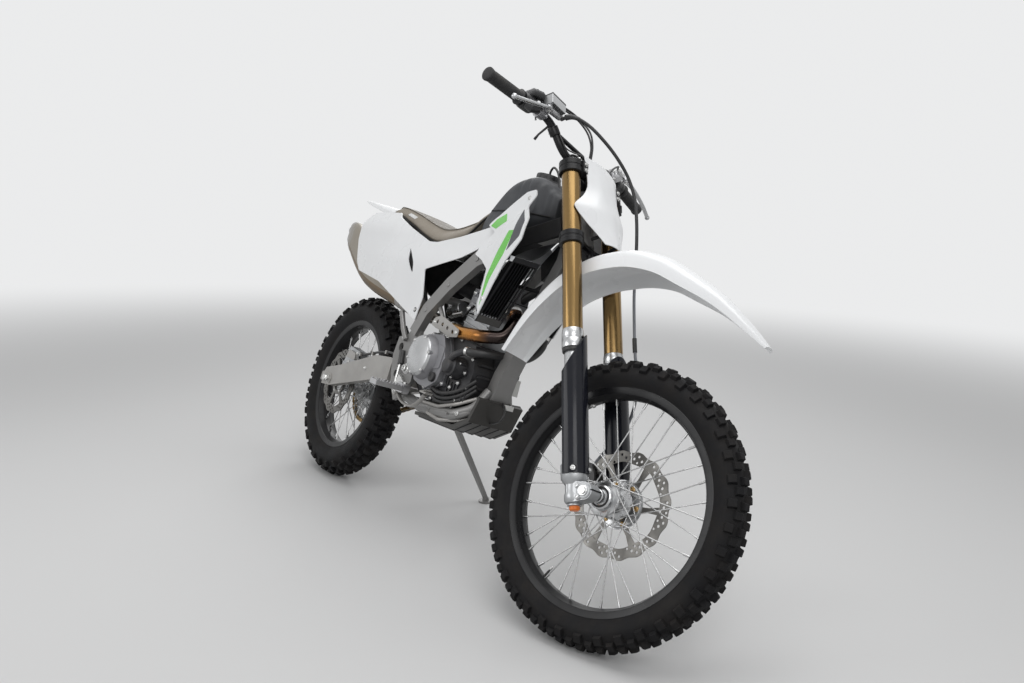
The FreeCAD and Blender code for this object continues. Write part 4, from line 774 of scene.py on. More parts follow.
def brake_disc(centre, y, radius, inner, thick, carrier, petals, holes, ring_steps):
    """Petal disc with drilled holes, and its arms to the carrier."""
    shape = Shape()
    drilled = []
    band = radius - inner
    for row, (share, size) in enumerate(((0.70, 3.6), (0.46, 3.9), (0.24, 3.3))):
        for i in range(holes):
            if (i + row) % 4 == 3:
                continue
            a = 2 * math.pi * (i + 0.5 * row) / holes
            r = inner + band * share
            drilled.append(circle(size, 8, r * math.cos(a), r * math.sin(a), a))
    place = about(centre)
    inner_edge = petal_loop(inner + 2.0, -4.0, petals // 2, ring_steps)
    sheet_part(shape, petal_loop(radius, 5.0, petals, ring_steps), drilled + [inner_edge],
               y - thick / 2, y + thick / 2, place)
    for i in range(6):
        left, right = [], []
        for r, half, skew in ((carrier - 3, 8.0, -0.10), (0.5 * (carrier + inner), 6.0, -0.03),
                              (inner + 5, 9.5, 0.0)):
            a = math.pi * i / 3 + ARM_TURN + skew
            left.append((r * math.cos(a) - half * math.sin(a), r * math.sin(a) + half * math.cos(a)))
            right.append((r * math.cos(a) + half * math.sin(a), r * math.sin(a) - half * math.cos(a)))
        sheet_part(shape, left + right[::-1], [], y - thick / 2 + 0.2, y + thick / 2 - 0.2, place)
    return shape


def hub_shell(centre, profile):
    return Shape().lathe(profile, centre, steps=64, closed=True, start=at(1, 0, 0))


class TRAIL_OT_front_wheel(bpy.types.Operator):
    """Builds the front tyre with its lugs, the rim, hub and brake disc"""

    bl_idname = "trail.front_wheel"
    bl_label = "Front wheel"

    def execute(self, context):
        body, centre = "front_wheel", FRONT_AXLE
        piece("front_tread", body, tread(centre, FRONT_CARCASS, FRONT_LUGS, sizes().front_rows, 7, 13.5, 160),
              ["tyre_rubber"], replaces=["front_tyre"], bevel=1.1, segments=1, angle=38)
        rim = rim_ring(centre, FRONT_RIM_R, 25)
        piece("front_rim_ring", body, rim, ["black_anodise"], replaces=["front_rim"])
        stem = valve_stem(centre, FRONT_RIM_R, math.radians(-112), (2.2,))
        piece("front_valve", body, stem, ["hose_rubber", "zinc_bolt"])
        hub = hub_shell(centre, [
            (8.8, -65.8), (15, -65.8), (16.8, -64), (17, -51), (26, -49), (29, -46), (30, -38), (30, -34),
            (40, -33.4), (42.8, -32), (42.8, -28), (40, -27), (27, -22), (23.6, -12), (23.2, 0), (23.6, 12),
            (27, 22), (40, 27), (42.8, 28), (42.8, 32), (38, 33.4), (34, 35), (33, 40), (34, 43.5),
            (56, 44.5), (57.6, 46), (57.6, 50), (26, 50.2), (24, 60), (18, 61.6), (16.8, 65.8), (8.8, 65.8)])
        for side in (1, -1):
            for i in range(18):
                a = math.radians(20 * i + (10 if side < 0 else 0)) + math.radians(66 if i % 2 == 0 else -66)
                spot = centre + around(38.7, a, side * 32.4)
                hub.lathe([(3.2, -0.4), (3.2, 0.9), (2.2, 1.8), (0.2, 2.0)], spot, (0, side, 0), 10)
        piece("front_hub_shell", body, hub, ["machined_alloy"], replaces=["front_hub"], bevel=0.5, angle=40)
        seal = Shape().lathe([(17.2, -50.4), (24.5, -50.2), (25.2, -49.4), (25.2, -47.4), (17.2, -47.4)],
                             centre, steps=48, closed=True)
        piece("front_hub_seals", body, seal, ["hose_rubber"])
        disc = brake_disc(centre, 52.0, 134.4, 100, 3.4, 55, 16, sizes().disc_holes, 8)
        piece("front_brake_disc", body, disc, ["disc_steel"], replaces=["front_disc"], bevel=0.35, segments=1)
        fixings = Shape()
        windows = [circle(40, 48)]
        for i in range(6):
            a = math.pi * i / 3 + ARM_TURN - 0.1
            for face, side in ((53.6, 1), (43.4, -1)):
                fixings.bolt(centre + around(49, a, face), (0, side, 0), 5.0, 4.0)
            a = math.pi * (i + 0.5) / 3 + ARM_TURN
            windows.append(circle(6, 12, 50 * math.cos(a), 50 * math.sin(a)))
        carrier = sheet_part(Shape(), circle(61, 60), windows, 50.4, 53.5, about(centre))
        piece("front_disc_carrier", body, carrier, ["machined_alloy"], bevel=0.4, segments=1)
        piece("front_disc_bolts", body, fixings, ["bronze_bolt"], bevel=0.3, segments=1, angle=40)
        return {"FINISHED"}


class TRAIL_OT_rear_wheel(bpy.types.Operator):
    """Builds the rear tyre with its lugs, the rim, hub, brake disc and sprocket"""

    bl_idname = "trail.rear_wheel"
    bl_label = "Rear wheel"

    def execute(self, context):
        body, centre = "rear_wheel", REAR_AXLE
        piece("rear_tread", body, tread(centre, REAR_CARCASS, REAR_LUGS, sizes().rear_rows, 11, 15.5, 150),
              ["tyre_rubber"], replaces=["rear_tyre"], bevel=1.3, segments=1, angle=38)
        piece("rear_rim_ring", body, rim_ring(centre, REAR_RIM_R, 31), ["black_anodise"],
              replaces=["rear_rim"])
        stem = valve_stem(centre, REAR_RIM_R, math.radians(-70), (1.3, 3.6))
        piece("rear_valve", body, stem, ["hose_rubber", "zinc_bolt"])
        hub = hub_shell(centre, [
            (10.3, -77.8), (16, -77.8), (17.8, -76), (18, -70), (26, -61.9), (45.6, -61.7), (45.8, -57),
            (31, -54), (30, -34), (40, -33.4), (42.8, -32), (42.8, -28), (40, -27), (30, -22), (27.6, -10),
            (27.6, 10), (30, 22), (40, 27), (42.8, 28), (42.8, 32), (37, 34), (37, 56), (62, 58), (63.7, 60),
            (63.7, 65.3), (26, 65.4), (18, 71.4), (17.8, 76), (16, 77.8), (10.3, 77.8)])
        piece("rear_hub_shell", body, hub, ["machined_alloy"], replaces=["rear_hub"], bevel=0.5, angle=40)
        disc = brake_disc(centre, -64.0, 119.4, 87, 4.2, 42, 14, 28, 8)
        sheet_part(disc, circle(47, 48), [circle(33, 40)], -66.1, -62.0, about(centre))
        piece("rear_brake_disc", body, disc, ["disc_steel"], replaces=["rear_disc"], bevel=0.35, segments=1)
        fixings = Shape()
        for i in range(6):
            a = math.pi * i / 3 + 0.1
            fixings.bolt(centre + around(40, a, -66.0), RIGHTWARD, 4.6, 3.6)
            fixings.bolt(centre + around(57, a, 72.4), LEFTWARD, 5.0, 4.2)
        piece("rear_fixings", body, fixings, ["zinc_bolt"], bevel=0.3, segments=1, angle=40)
        teeth = sizes().teeth
        loop = []
        for i in range(teeth):
            for share, r in ((0.0, 112.2), (0.25, 112.2), (0.40, 116.2), (0.50, 117.4), (0.60, 116.2)):
                a = 2 * math.pi * (i + share) / teeth
                loop.append((r * math.cos(a), r * math.sin(a)))
        windows = [circle(49.8, 48)]
        for i in range(6):
            a = math.pi * (i + 0.5) / 3
            windows.append(circle(15, 20, 86 * math.cos(a), 86 * math.sin(a)))
            b = math.pi * i / 3
            windows.append(circle(8, 14, 92 * math.cos(b), 92 * math.sin(b)))
        sprocket = sheet_part(Shape(), loop, windows, 66.2, 71.8, about(centre))
        piece("rear_chainring", body, sprocket, ["machined_alloy"], replaces=["rear_sprocket"], bevel=0.5,
              segments=1)
        return {"FINISHED"}


# Fork, steering and front plastics


def shell(shape, grid, thickness, outward):
    """Thick skin under a grid of points; outward gives a rough outside direction at a point."""
    rows, columns = len(grid), len(grid[0])
    under = []
    for i in range(rows):
        line = []
        for j in range(columns):
            along = grid[min(i + 1, rows - 1)][j] - grid[max(i - 1, 0)][j]
            across = grid[i][min(j + 1, columns - 1)] - grid[i][max(j - 1, 0)]
            normal = along.cross(across)
            if normal.length < 1e-9:
                normal = outward(grid[i][j])
            normal.normalize()
            if normal.dot(outward(grid[i][j])) < 0:
                normal = -normal
            line.append(grid[i][j] - normal * thickness)
        under.append(line)
    size = rows * columns
    faces, back = [], []
    for i in range(rows - 1):
        for j in range(columns - 1):
            a = i * columns + j
            quad = (a, a + 1, a + columns + 1, a + columns)
            faces.append(quad)
            back.append(tuple(size + k for k in reversed(quad)))
    rim = list(range(columns)) + [i * columns + columns - 1 for i in range(1, rows)]
    rim += [(rows - 1) * columns + j for j in range(columns - 2, -1, -1)]
    rim += [i * columns for i in range(rows - 2, 0, -1)]
    walls = [(a, b, size + b, size + a) for a, b in zip(rim, rim[1:] + rim[:1])]
    return shape.add([p for line in grid + under for p in line], faces + walls + back)


def bent(points, radius, steps=7):
    """Straight runs joined by arcs, for a bar bent to shape."""
    out = [points[0]]
    for before, corner, after in zip(points, points[1:], points[2:]):
        into, away = (corner - before).normalized(), (after - corner).normalized()
        half = into.angle(away) / 2
        trim = min(radius * math.tan(half), 0.45 * (corner - before).length, 0.45 * (after - corner).length)
        first, last = corner - into * trim, corner + away * trim
        for s in range(steps + 1):
            t = s / steps
            out.append(first * (1 - t) ** 2 + corner * (2 * t * (1 - t)) + last * t ** 2)
    out.append(points[-1])
    return out


def blade(shape, points, sizes_across, finish=0, steps=14, flat=UPWARD):
    """Flattened bar along points; each size is (half width, half thickness)."""
    rings = []
    up_hint = Vector(flat)
    for i, p in enumerate(points):
        run = (points[min(i + 1, len(points) - 1)] - points[max(i - 1, 0)]).normalized()
        side = run.cross(up_hint).normalized()
        up = side.cross(run)
        wide, thin = sizes_across[i]
        angles = (2 * math.pi * (j + 0.5) / steps for j in range(steps))
        rings.append([p + side * (wide * math.cos(a)) + up * (thin * math.sin(a)) for a in angles])
    return shape.rings(rings, finish)


def leg(side):
    return side * FORK_SPAN


class TRAIL_OT_fork(bpy.types.Operator):
    """Builds the fork's gold tubes, guards, axle castings and brake caliper"""

    bl_idname = "trail.fork"
    bl_label = "Fork"

    def execute(self, context):
        tubes = Shape()
        for side in (-1, 1):
            foot = fork(0, FORK_LEAD, leg(side))
            tubes.lathe([(25.2, 412), (25.4, 414), (25.4, 640), (25.5, 650), (25.5, 860), (25.3, 904),
                         (24.2, 906)], foot, AXIS_UP, 72)
            tubes.lathe([(24.4, 362), (27.4, 362.6), (28.0, 365), (28.0, 384), (27.2, 385.2), (27.2, 387.4),
                         (28.0, 388.6), (27.8, 404), (26.4, 412.6), (25.4, 413.6)], foot, AXIS_UP, 72, 1)
            tubes.lathe([(23.6, 905.4), (23.6, 907), (22.4, 908.6), (13, 908.8), (12.4, 907), (7, 907),
                         (6.4, 908.8), (0.1, 908.8)], foot, AXIS_UP, 36, 1)
            tubes.lathe([(21.6, 352), (25.4, 352.4), (26.8, 355), (26.8, 360.6), (25, 362.4), (21.6, 362.4)],
                        foot, AXIS_UP, 48, 2)
        piece("fork_tubes", "steering", tubes, ["gold_anodise", "machined_alloy", "hose_rubber"],
              replaces=["fork_outer_tubes"], bevel=0.3, segments=1, angle=40)

        guards = Shape()
        for side in (-1, 1):
            grid = []
            for i in range(37):
                a = math.radians(112 * (i - 18) / 18)
                top = 343 + 1.28 * 36 * math.cos(a) - 0.87 * 36 * side * math.sin(a)
                line = []
                for s in (43, 47, 60, 66, 80, 160, 230, 275, top - 12, top - 3, top):
                    r = 36.2 if 47 < s < 62 else 35.8
                    line.append(fork(s, FORK_LEAD + r * math.cos(a), leg(side) + r * math.sin(a)))
                grid.append(line)
            shell(guards, grid, 2.6, lambda p, y=leg(side): (
                at(0, p.y - y, 0) + AXIS_AHEAD * ((p - AXIS_FOOT).dot(AXIS_AHEAD) - FORK_LEAD)))
            for turn in (-64, 14):
                a = math.radians(turn * -side)
                out = AXIS_AHEAD * math.cos(a) + at(0, math.sin(a), 0)
                spot = fork(54, FORK_LEAD, leg(side)) + out * 36.0
                guards.lathe([(9.5, -3.0), (9.5, 1.0), (8.2, 1.6), (0.2, 1.6)], spot, out, 20)
                guards.bolt(spot + out * 1.2, out, 4.6, 3.6, 1)
        piece("leg_guards", "steering", guards, ["gloss_black", "zinc_bolt"], replaces=["fork_guards"],
              bevel=0.8, segments=2, angle=40, crease_angle=40)

        lowers = Shape()
        for side in (-1, 1):
            y = leg(side)
            foot = fork(0, FORK_LEAD, y)
            lowers.lathe([(20, 60), (21.3, 64), (21.5, 356), (20, 360)], foot, AXIS_UP, 48, 1)
            lowers.lathe([(14, -24), (21, -22), (24, -18), (24.5, -4), (22.0, 2), (22.0, 20), (26.5, 26),
                          (31.5, 34), (32.3, 44), (32.3, 68), (28, 70)], foot, AXIS_UP, 48)
            lug_line = [(-21, 14), (-22, 34), (-20, AXLE_LEAD + 10), (-9, AXLE_LEAD + 20.5),
                        (3, AXLE_LEAD + 21.5), (14, AXLE_LEAD + 17), (21, AXLE_LEAD + 6), (24, 42), (34, 30),
                        (36, 16)]
            lowers.fork_prism(rounded(lug_line, 6), y - 20.5, y + 20.5)
            for up in (-13, 13):
                lowers.rod(fork(up, 47, y - 24), fork(up, 47, y + 24), 7.2, 20, 0, 1.2)
            out = at(0, side, 0)
            nut = FRONT_AXLE + at(0, side * (FORK_SPAN + 20.2), 0)
            lowers.lathe([(18.5, 0), (18.5, 2.6), (16, 3.4), (13.4, 3.4)], nut, out, 36)
            lowers.lathe([(13.2, 0.4), (13.2, 5.0), (12, 6.2), (7, 6.2), (6.2, 4.2), (0.2, 4.2)], nut, out,
                         6 if side > 0 else 30, 1)
            for up in (-13, 13):
                lowers.bolt(fork(up, 47, y + side * 24), out, 4.8, 4.4, 1)
            lowers.block(fork(0, AXLE_LEAD + 12, y), (24, 43, 2.2), AXIS_AHEAD, AXIS_UP, 3)
            foot_low = fork(-23.5, FORK_LEAD, y)
            lowers.lathe([(16, 0), (17, -1.5), (17, -5), (12.5, -6.5)], foot_low, AXIS_UP, 30)
            lowers.lathe([(12.2, -5), (13, -6.5), (12.4, -13), (10, -15.5), (0.2, -16)], foot_low, AXIS_UP,
                         24, 2)
        lowers.fork_prism(rounded([(24, -16), (30, -44), (44, -54), (64, -54), (80, -46), (78, -10)], 6), 62,
                          104)
        piece("axle_castings", "steering", lowers, ["cast_alloy", "machined_alloy", "plug_orange",
                                                    "core_black"],
              replaces=["fork_lowers"], bevel=1.6, segments=2, angle=35)

        caliper = Shape()
        y = 52.0
        outline = rounded([(28, -54), (60, -60), (106, -52), (114, -10), (76, 0), (40, -12)], 10)
        for low, high in ((y - 17, y - 8.0), (y + 8.0, y + 30)):
            caliper.fork_prism(outline, low, high)
        bridge = rounded([(34, -60), (60, -64), (108, -56), (112, -46), (60, -54), (36, -50)], 3)
        caliper.fork_prism(bridge, y - 12, y + 24)
        for up, ahead in ((52, -32), (88, -30)):
            caliper.rod(fork(up, ahead, y + 28), fork(up, ahead, y + 36), 14, 32, 0, 2)
            caliper.rod(fork(up, ahead, y + 35), fork(up, ahead, y + 37), 8, 24, 1, 0.6)
        for up, ahead in ((40, -44), (98, -42)):
            caliper.bolt(fork(up, ahead, y + 30), LEFTWARD, 5.5, 5.0, 2)
            caliper.bolt(fork(up, ahead, y - 17), RIGHTWARD, 5.0, 3.5, 2)
        piece("front_caliper_body", "steering", caliper, ["black_paint", "cast_alloy", "zinc_bolt"],
              replaces=["front_caliper"], bevel=1.6, segments=2, angle=35)
        return {"FINISHED"}


# Height of each clamp's middle along the steering axis
LOWER_CLAMP, UPPER_CLAMP = 670.0, 885.0


class TRAIL_OT_clamps(bpy.types.Operator):
    """Builds both triple clamps with their bolts and the bar mounts"""

    bl_idname = "trail.clamps"
    bl_label = "Triple clamps"

    def execute(self, context):
        for name, node, middle, thick, wall in (("clamp_low", "lower_clamp", LOWER_CLAMP, 34.0, 6.4),
                                                ("clamp_top", "upper_clamp", UPPER_CLAMP, 36.0, 7.3)):
            low, high = middle - thick / 2, middle + thick / 2
            upper = node == "upper_clamp"
            shape = Shape()
            web = [(26, -80), (-4, -74), (-20, -26), (-22, 0), (-20, 26), (-4, 74), (26, 80), (34, 62),
                   (26, 18), (26, -18), (34, -62)]
            for ends in ((low, low + 7), (high - 12, high)):
                shape.rings([[fork(up, a, b) for a, b in rounded(web, 8)] for up in ends])
            shape.rod(fork(low, 0), fork(high, 0), 25, 48, 0, 1.5)
            for side in (-1, 1):
                centre = fork(0, FORK_LEAD, leg(side))
                r0, r1 = 25.6, 25.5 + wall
                shape.lathe([(r0, low), (r1 - 1.5, low), (r1, low + 1.5), (r1, low + 13),
                             (r1 - 1.6, low + 14.2), (r1 - 1.6, low + 19), (r1, low + 20.2), (r1, high - 1.5),
                             (r1 - 1.5, high), (r0, high)], centre, AXIS_UP, 60, closed=True)
                ahead, outward, deep = (27, -16, 22) if upper else (-21, 5, 18)
                ear = fork(middle, FORK_LEAD + ahead, leg(side) + side * outward)
                shape.block(ear, (deep, deep + 3, thick - 1), AXIS_AHEAD, AXIS_UP)
                out = AXIS_AHEAD if upper else AXIS_AHEAD * -1
                for up in (-9, 9):
                    shape.bolt(ear + out * (deep / 2) + AXIS_UP * up, out, 4.6, 4.2, 1)
            if upper:
                shape.lathe([(19, high), (19, high + 4), (17, high + 5), (15, high + 9), (8, high + 9.6),
                             (7.4, high + 5), (0.2, high + 5)], fork(0, 0), AXIS_UP, 6, 1)
                for side in (-1, 1):
                    y = side * 48
                    shape.lathe([(15, high - 1), (13, high + 4), (13, 934)], fork(0, -5, y), AXIS_UP, 32)
                    lower = rounded([(932, -27), (932, 17), (947.4, 19), (947.4, -29)], 3)
                    shape.fork_prism(lower, y - 15.5, y + 15.5)
                    cap = rounded([(948.8, -29), (948.8, 19), (956, 17), (963.5, 6), (965.5, -5),
                                   (963.5, -16), (956, -27)], 3)
                    shape.fork_prism(cap, y - 15.5, y + 15.5)
                    for ahead in (-23, 13):
                        for dy in (-8.5, 8.5):
                            shape.bolt(fork(957.5, ahead, y + dy), AXIS_UP, 4.2, 4.0, 1)
            else:
                shape.lathe([(15, high - 2), (15, 868)], fork(0, 0), AXIS_UP, 32, 1)
                for y in (-24, 24):
                    shape.lathe([(7, 636), (8, 640), (8, low + 2)], fork(0, 30, y), AXIS_UP, 20)
            piece(name, "steering", shape, ["black_anodise", "zinc_bolt"],
                  replaces=[node], bevel=1.2, segments=2, angle=35)
        return {"FINISHED"}


# Stations of the front fender: crown line below the lower clamp and ahead of the steering axis,
# slope of the crown, half width and how far the edges hang below it.
FENDER = [(226, -241, 50, 54, 24), (130, -160, 45, 62, 42), (58, -60, 24, 68, 54), (30, 30, 6, 72, 62),
          (28, 110, -5, 75, 66), (44, 189, -20, 74, 66), (87, 267, -37, 68, 60), (148, 330, -46, 60, 52),
          (214, 389, -52, 50, 40), (270, 428, -57, 42, 30), (325, 461, -60, 32, 20), (370, 485, -62, 19, 10)]


def smooth_stations(stations, steps):
    """Rows of numbers filled in on smooth curves through the given ones."""
    out = []
    for i in range(len(stations) - 1):
        rows = [stations[max(i - 1, 0)], stations[i], stations[i + 1],
                stations[min(i + 2, len(stations) - 1)]]
        for s in range(steps):
            t = s / steps
            row = []
            for a, b, c, d in zip(*rows):
                row.append(0.5 * (2 * b + (c - a) * t + (2 * a - 5 * b + 4 * c - d) * t * t +
                                  (3 * b - a - 3 * c + d) * t ** 3))
            out.append(row)
    out.append(list(stations[-1]))
    return out


# Half of the fender's section from the edge to the crown: share of the half width, share of the drop
FENDER_SECTION = [(1.0, 1.0), (0.998, 0.92), (0.985, 0.72), (0.965, 0.52), (0.945, 0.42), (0.90, 0.34),
                  (0.80, 0.25), (0.66, 0.165), (0.50, 0.10), (0.34, 0.05), (0.17, 0.015), (0.0, 0.0)]


class TRAIL_OT_front_fender(bpy.types.Operator):
    """Builds the front fender and the tongue under the front plate"""

    bl_idname = "trail.front_fender"
    bl_label = "Front fender"

    def execute(self, context):
        grid = []
        for below, ahead, slope, half, drop in smooth_stations(FENDER, 7):
            up = LOWER_CLAMP - below
            a = math.radians(slope)
            section = FENDER_SECTION + [(-s, d) for s, d in reversed(FENDER_SECTION[:-1])]
            grid.append([fork(up - drop * d * math.cos(a), ahead + drop * d * math.sin(a), half * s)
                         for s, d in section])
        shape = Shape()

        def outward(p):
            return p - fork(FRONT_R * (0.5 if abs(p.y) < 40 else 0.9), AXLE_LEAD, 0)

        shell(shape, grid, 3.0, outward)
        piece("front_mudguard", "steering", shape, ["white_plastic"], replaces=["front_fender"],
              bevel=0.9, segments=2, angle=40, crease_angle=38)
        tongue, rings = Shape(), []
        for low, high, ahead, half in ((646, 652, 34, 20), (643, 650, 92, 15), (637, 640, 128, 5)):
            corners = ((low, -half), (low, half), (high, half), (high, -half))
            rings.append([fork(up, ahead, y) for up, y in corners])
        tongue.rings(rings)
        piece("plate_tongue", "steering", tongue, ["black_plastic"], bevel=1.2)
        return {"FINISHED"}


# Rows of the front plate: height up the fork, half width, and how far ahead its edge, fold and
# middle stand; then the places across each half where points are set, one of them the fold.
PLATE_ROWS = [(925, 86, 58, 68, 72), (900, 84, 60, 73, 77), (866, 82, 62, 79, 83), (830, 81, 62, 83, 87),
              (796, 98, 58, 86, 92), (768, 122, 51, 88, 97), (752, 125, 50, 89, 98.5), (720, 98, 62, 92, 100),
              (690, 66, 78, 98, 102.5), (665, 42, 91, 101, 104)]
FOLD_SHARE = 0.48
PLATE_SHARES = [0.12, 0.24, 0.36, FOLD_SHARE, 0.6, 0.75, 0.9, 0.985, 1]


class TRAIL_OT_front_plate(bpy.types.Operator):
    """Builds the bare front plate with its clips and stays"""

    bl_idname = "trail.front_plate"
    bl_label = "Front plate"

    def execute(self, context):
        grid = []
        for up, half, edge, fold, crest in smooth_stations(PLATE_ROWS, 3):
            line = []
            for share in [-t for t in reversed(PLATE_SHARES)] + [0] + PLATE_SHARES:
                t = abs(share)
                if t > FOLD_SHARE:
                    ahead = fold + (edge - fold) * ((t - FOLD_SHARE) / (1 - FOLD_SHARE)) ** 1.12
                else:
                    ahead = crest + (fold - crest) * (t / FOLD_SHARE) ** 1.6
                line.append(fork(up, ahead, half * share))
            grid.append(line)
        shape = shell(Shape(), grid, 3.0, lambda p: AXIS_AHEAD)
        piece("front_number_plate", "steering", shape, ["white_plastic"], replaces=["number_plate"],
              bevel=1.0, segments=2, angle=40, crease_angle=32)
        clips = Shape()
        for up, y in ((838, 84), (826, 80)):
            clips.block(fork(up, 70, y), (10, 5, 22), AXIS_AHEAD, AXIS_UP)
        corners = ((-7, -4), (7, -4), (7, 4), (-7, 4))
        clips.rings([[fork(905, 60, s * 30 + dy) + AXIS_UP * du for dy, du in corners] for s in (-1, 1)])
        for s in (-1, 1):
            for stay in (((890, 24, 40), (896, 44, 34), (900, 62, 28)),
                         ((690, 50, 46), (694, 72, 40), (696, 92, 30))):
                clips.tube([fork(up, ahead, s * y) for up, ahead, y in stay], 5, 10)
        piece("plate_stays", "steering", clips, ["black_plastic"], bevel=0.8)
        return {"FINISHED"}


# Tank, seat and panels


def rounded_section(x, y, z, half_y, half_z, corner, steps=6):
    """Rounded rectangle across the machine, as a ring."""
    ring = []
    for k, (sy, sz) in enumerate(((1, 1), (-1, 1), (-1, -1), (1, -1))):
        cy, cz = y + sy * (half_y - corner), z + sz * (half_z - corner)
        for s in range(steps + 1):
            a = math.pi / 2 * (k + s / steps)
            ring.append(at(x, cy + corner * math.cos(a), cz + corner * math.sin(a)))
    return ring


# Sections of the tank and the silencer along the machine: x, y and z of the middle, half width,
# half height and corner radius
TANK = [(662, 0, 942, 82, 40, 20), (700, 0, 966, 88, 68, 26), (765, 0, 1004, 92, 100, 40),
        (840, 0, 1040, 86, 86, 40), (880, 0, 1045, 70, 68, 34), (908, 0, 1043, 50, 52, 26),
        (942, 0, 1039, 36, 38, 20)]
SILENCER = [(460, -78, 650, 25, 25, 20), (356, -86, 690, 33, 46, 28), (133, -89, 735, 36, 60, 32),
            (10, -90, 772, 36, 63, 32), (-120, -90, 838, 35, 61, 32), (-195, -90, 872, 28, 47, 26)]


def tank_rings():
    """Sections of the tank, with more points down its straight sides."""
    rings = []
    for x, y, z, half_y, half_z, corner in smooth_stations(TANK, 14):
        ring = rounded_section(x, y, z, half_y, half_z, min(corner, half_y, half_z))
        right = [ring[13].lerp(ring[14], k / 8) for k in range(1, 8)]
        left = [ring[27].lerp(ring[0], k / 8) for k in range(1, 8)]
        rings.append(ring[:14] + right + ring[14:] + left)
    return rings


# Where the tank's ribs lie: from one height to another, and from one x to another
RIB_LOW, RIB_HIGH, RIB_REAR, RIB_FRONT = 1010, 1118, 790, 925
CAP = Vector((806, 0, 0))


class TRAIL_OT_tank(bpy.types.Operator):
    """Builds the fuel tank, its ribs and the cap with its breather"""

    bl_idname = "trail.tank"
    bl_label = "Tank"

    def execute(self, context):
        shape = Shape()
        rings = tank_rings()
        count = sizes().ribs
        for ring in rings:
            x = ring[0].x
            for p in ring:
                side = 1 if p.y > 0 else -1
                if abs(p.y) > 30 and RIB_LOW < p.z < RIB_HIGH:
                    fade = min(1.0, (p.z - RIB_LOW) / 20.0, (RIB_HIGH - p.z) / 20.0,
                               max(0.0, (x - RIB_REAR) / 25.0), max(0.0, (RIB_FRONT - x) / 20.0))
                    wave = 0.5 - 0.5 * math.cos(2 * math.pi * count * (x - RIB_REAR) / 150.0)
                    p.y -= side * 6.0 * wave * fade
        shape.rings(rings)
        piece("tank_shell", "chassis", shape, ["tank_plastic"], replaces=["fuel_tank"], crease_angle=60,
              subdivide=1)
        seam = Shape()
        line = []
        for x, _, _, half_y, _, _ in smooth_stations(TANK, 6):
            if 700 <= x <= 930:
                line.append((x, half_y, 1006 + (x - 700) * 0.03))
        path = [at(x, -w - 0.5, h) for x, w, h in line] + [at(x, w + 0.5, h) for x, w, h in reversed(line)]
        seam.tube(path, 2.6, 8)
        piece("tank_seam", "chassis", seam, ["black_plastic"])
        cap = Shape()
        cap.lathe([(41, 1123), (41, 1128), (38.4, 1130), (37.6, 1132)], CAP, UPWARD, 60)
        rings = []
        for r, z in ((34, 1130), (37.6, 1132), (37.8, 1144), (36, 1147), (26, 1148), (24.6, 1146.4),
                     (23.4, 1149.4), (18, 1150), (0.2, 1150)):
            loop = []
            for i, a in enumerate(turns(96)):
                bite = 1.5 if (i // 4) % 2 and 1131 < z < 1146 and r > 36 else 0.0
                loop.append(CAP + at((r - bite) * math.cos(a), (r - bite) * math.sin(a), z))
            rings.append(loop)
        cap.rings(rings)
        cap.block(at(806, 0, 1147.4), (44, 9, 3.6), (1, 0.3, 0), UPWARD)
        piece("tank_cap", "chassis", cap, ["cap_black"], replaces=["fuel_cap"], bevel=0.6, segments=2,
              angle=35)
        breather = Shape()
        breather.hose([at(806, 0, 1148), at(809, -3, 1162), at(826, -8, 1172), at(850, -8, 1160),
                       at(868, -6, 1136), at(880, -6, 1116), at(890, -6, 1102)], 6, 3.4)
        breather.lathe([(5, 1146), (5, 1152), (4, 1153)], CAP, UPWARD, 16)
        piece("tank_breather", "chassis", breather, ["hose_rubber"])
        return {"FINISHED"}


# Seat stations: place along the machine, top, bottom, half width at the top and at the bottom
SEAT = [(60, 1004, 968, 62, 84), (98, 1002, 962, 67, 88), (138, 998, 958, 70, 90), (200, 988, 943, 72, 94),
        (262, 976, 928, 74, 97), (330, 960, 908, 74, 100), (400, 945, 890, 74, 102), (442, 941, 884, 73, 103),
        (484, 944, 884, 72, 103), (522, 951, 889, 70, 103), (560, 962, 898, 68, 102), (613, 984, 918, 62, 98),
        (655, 1014, 980, 56, 80), (700, 1054, 1030, 50, 56)]


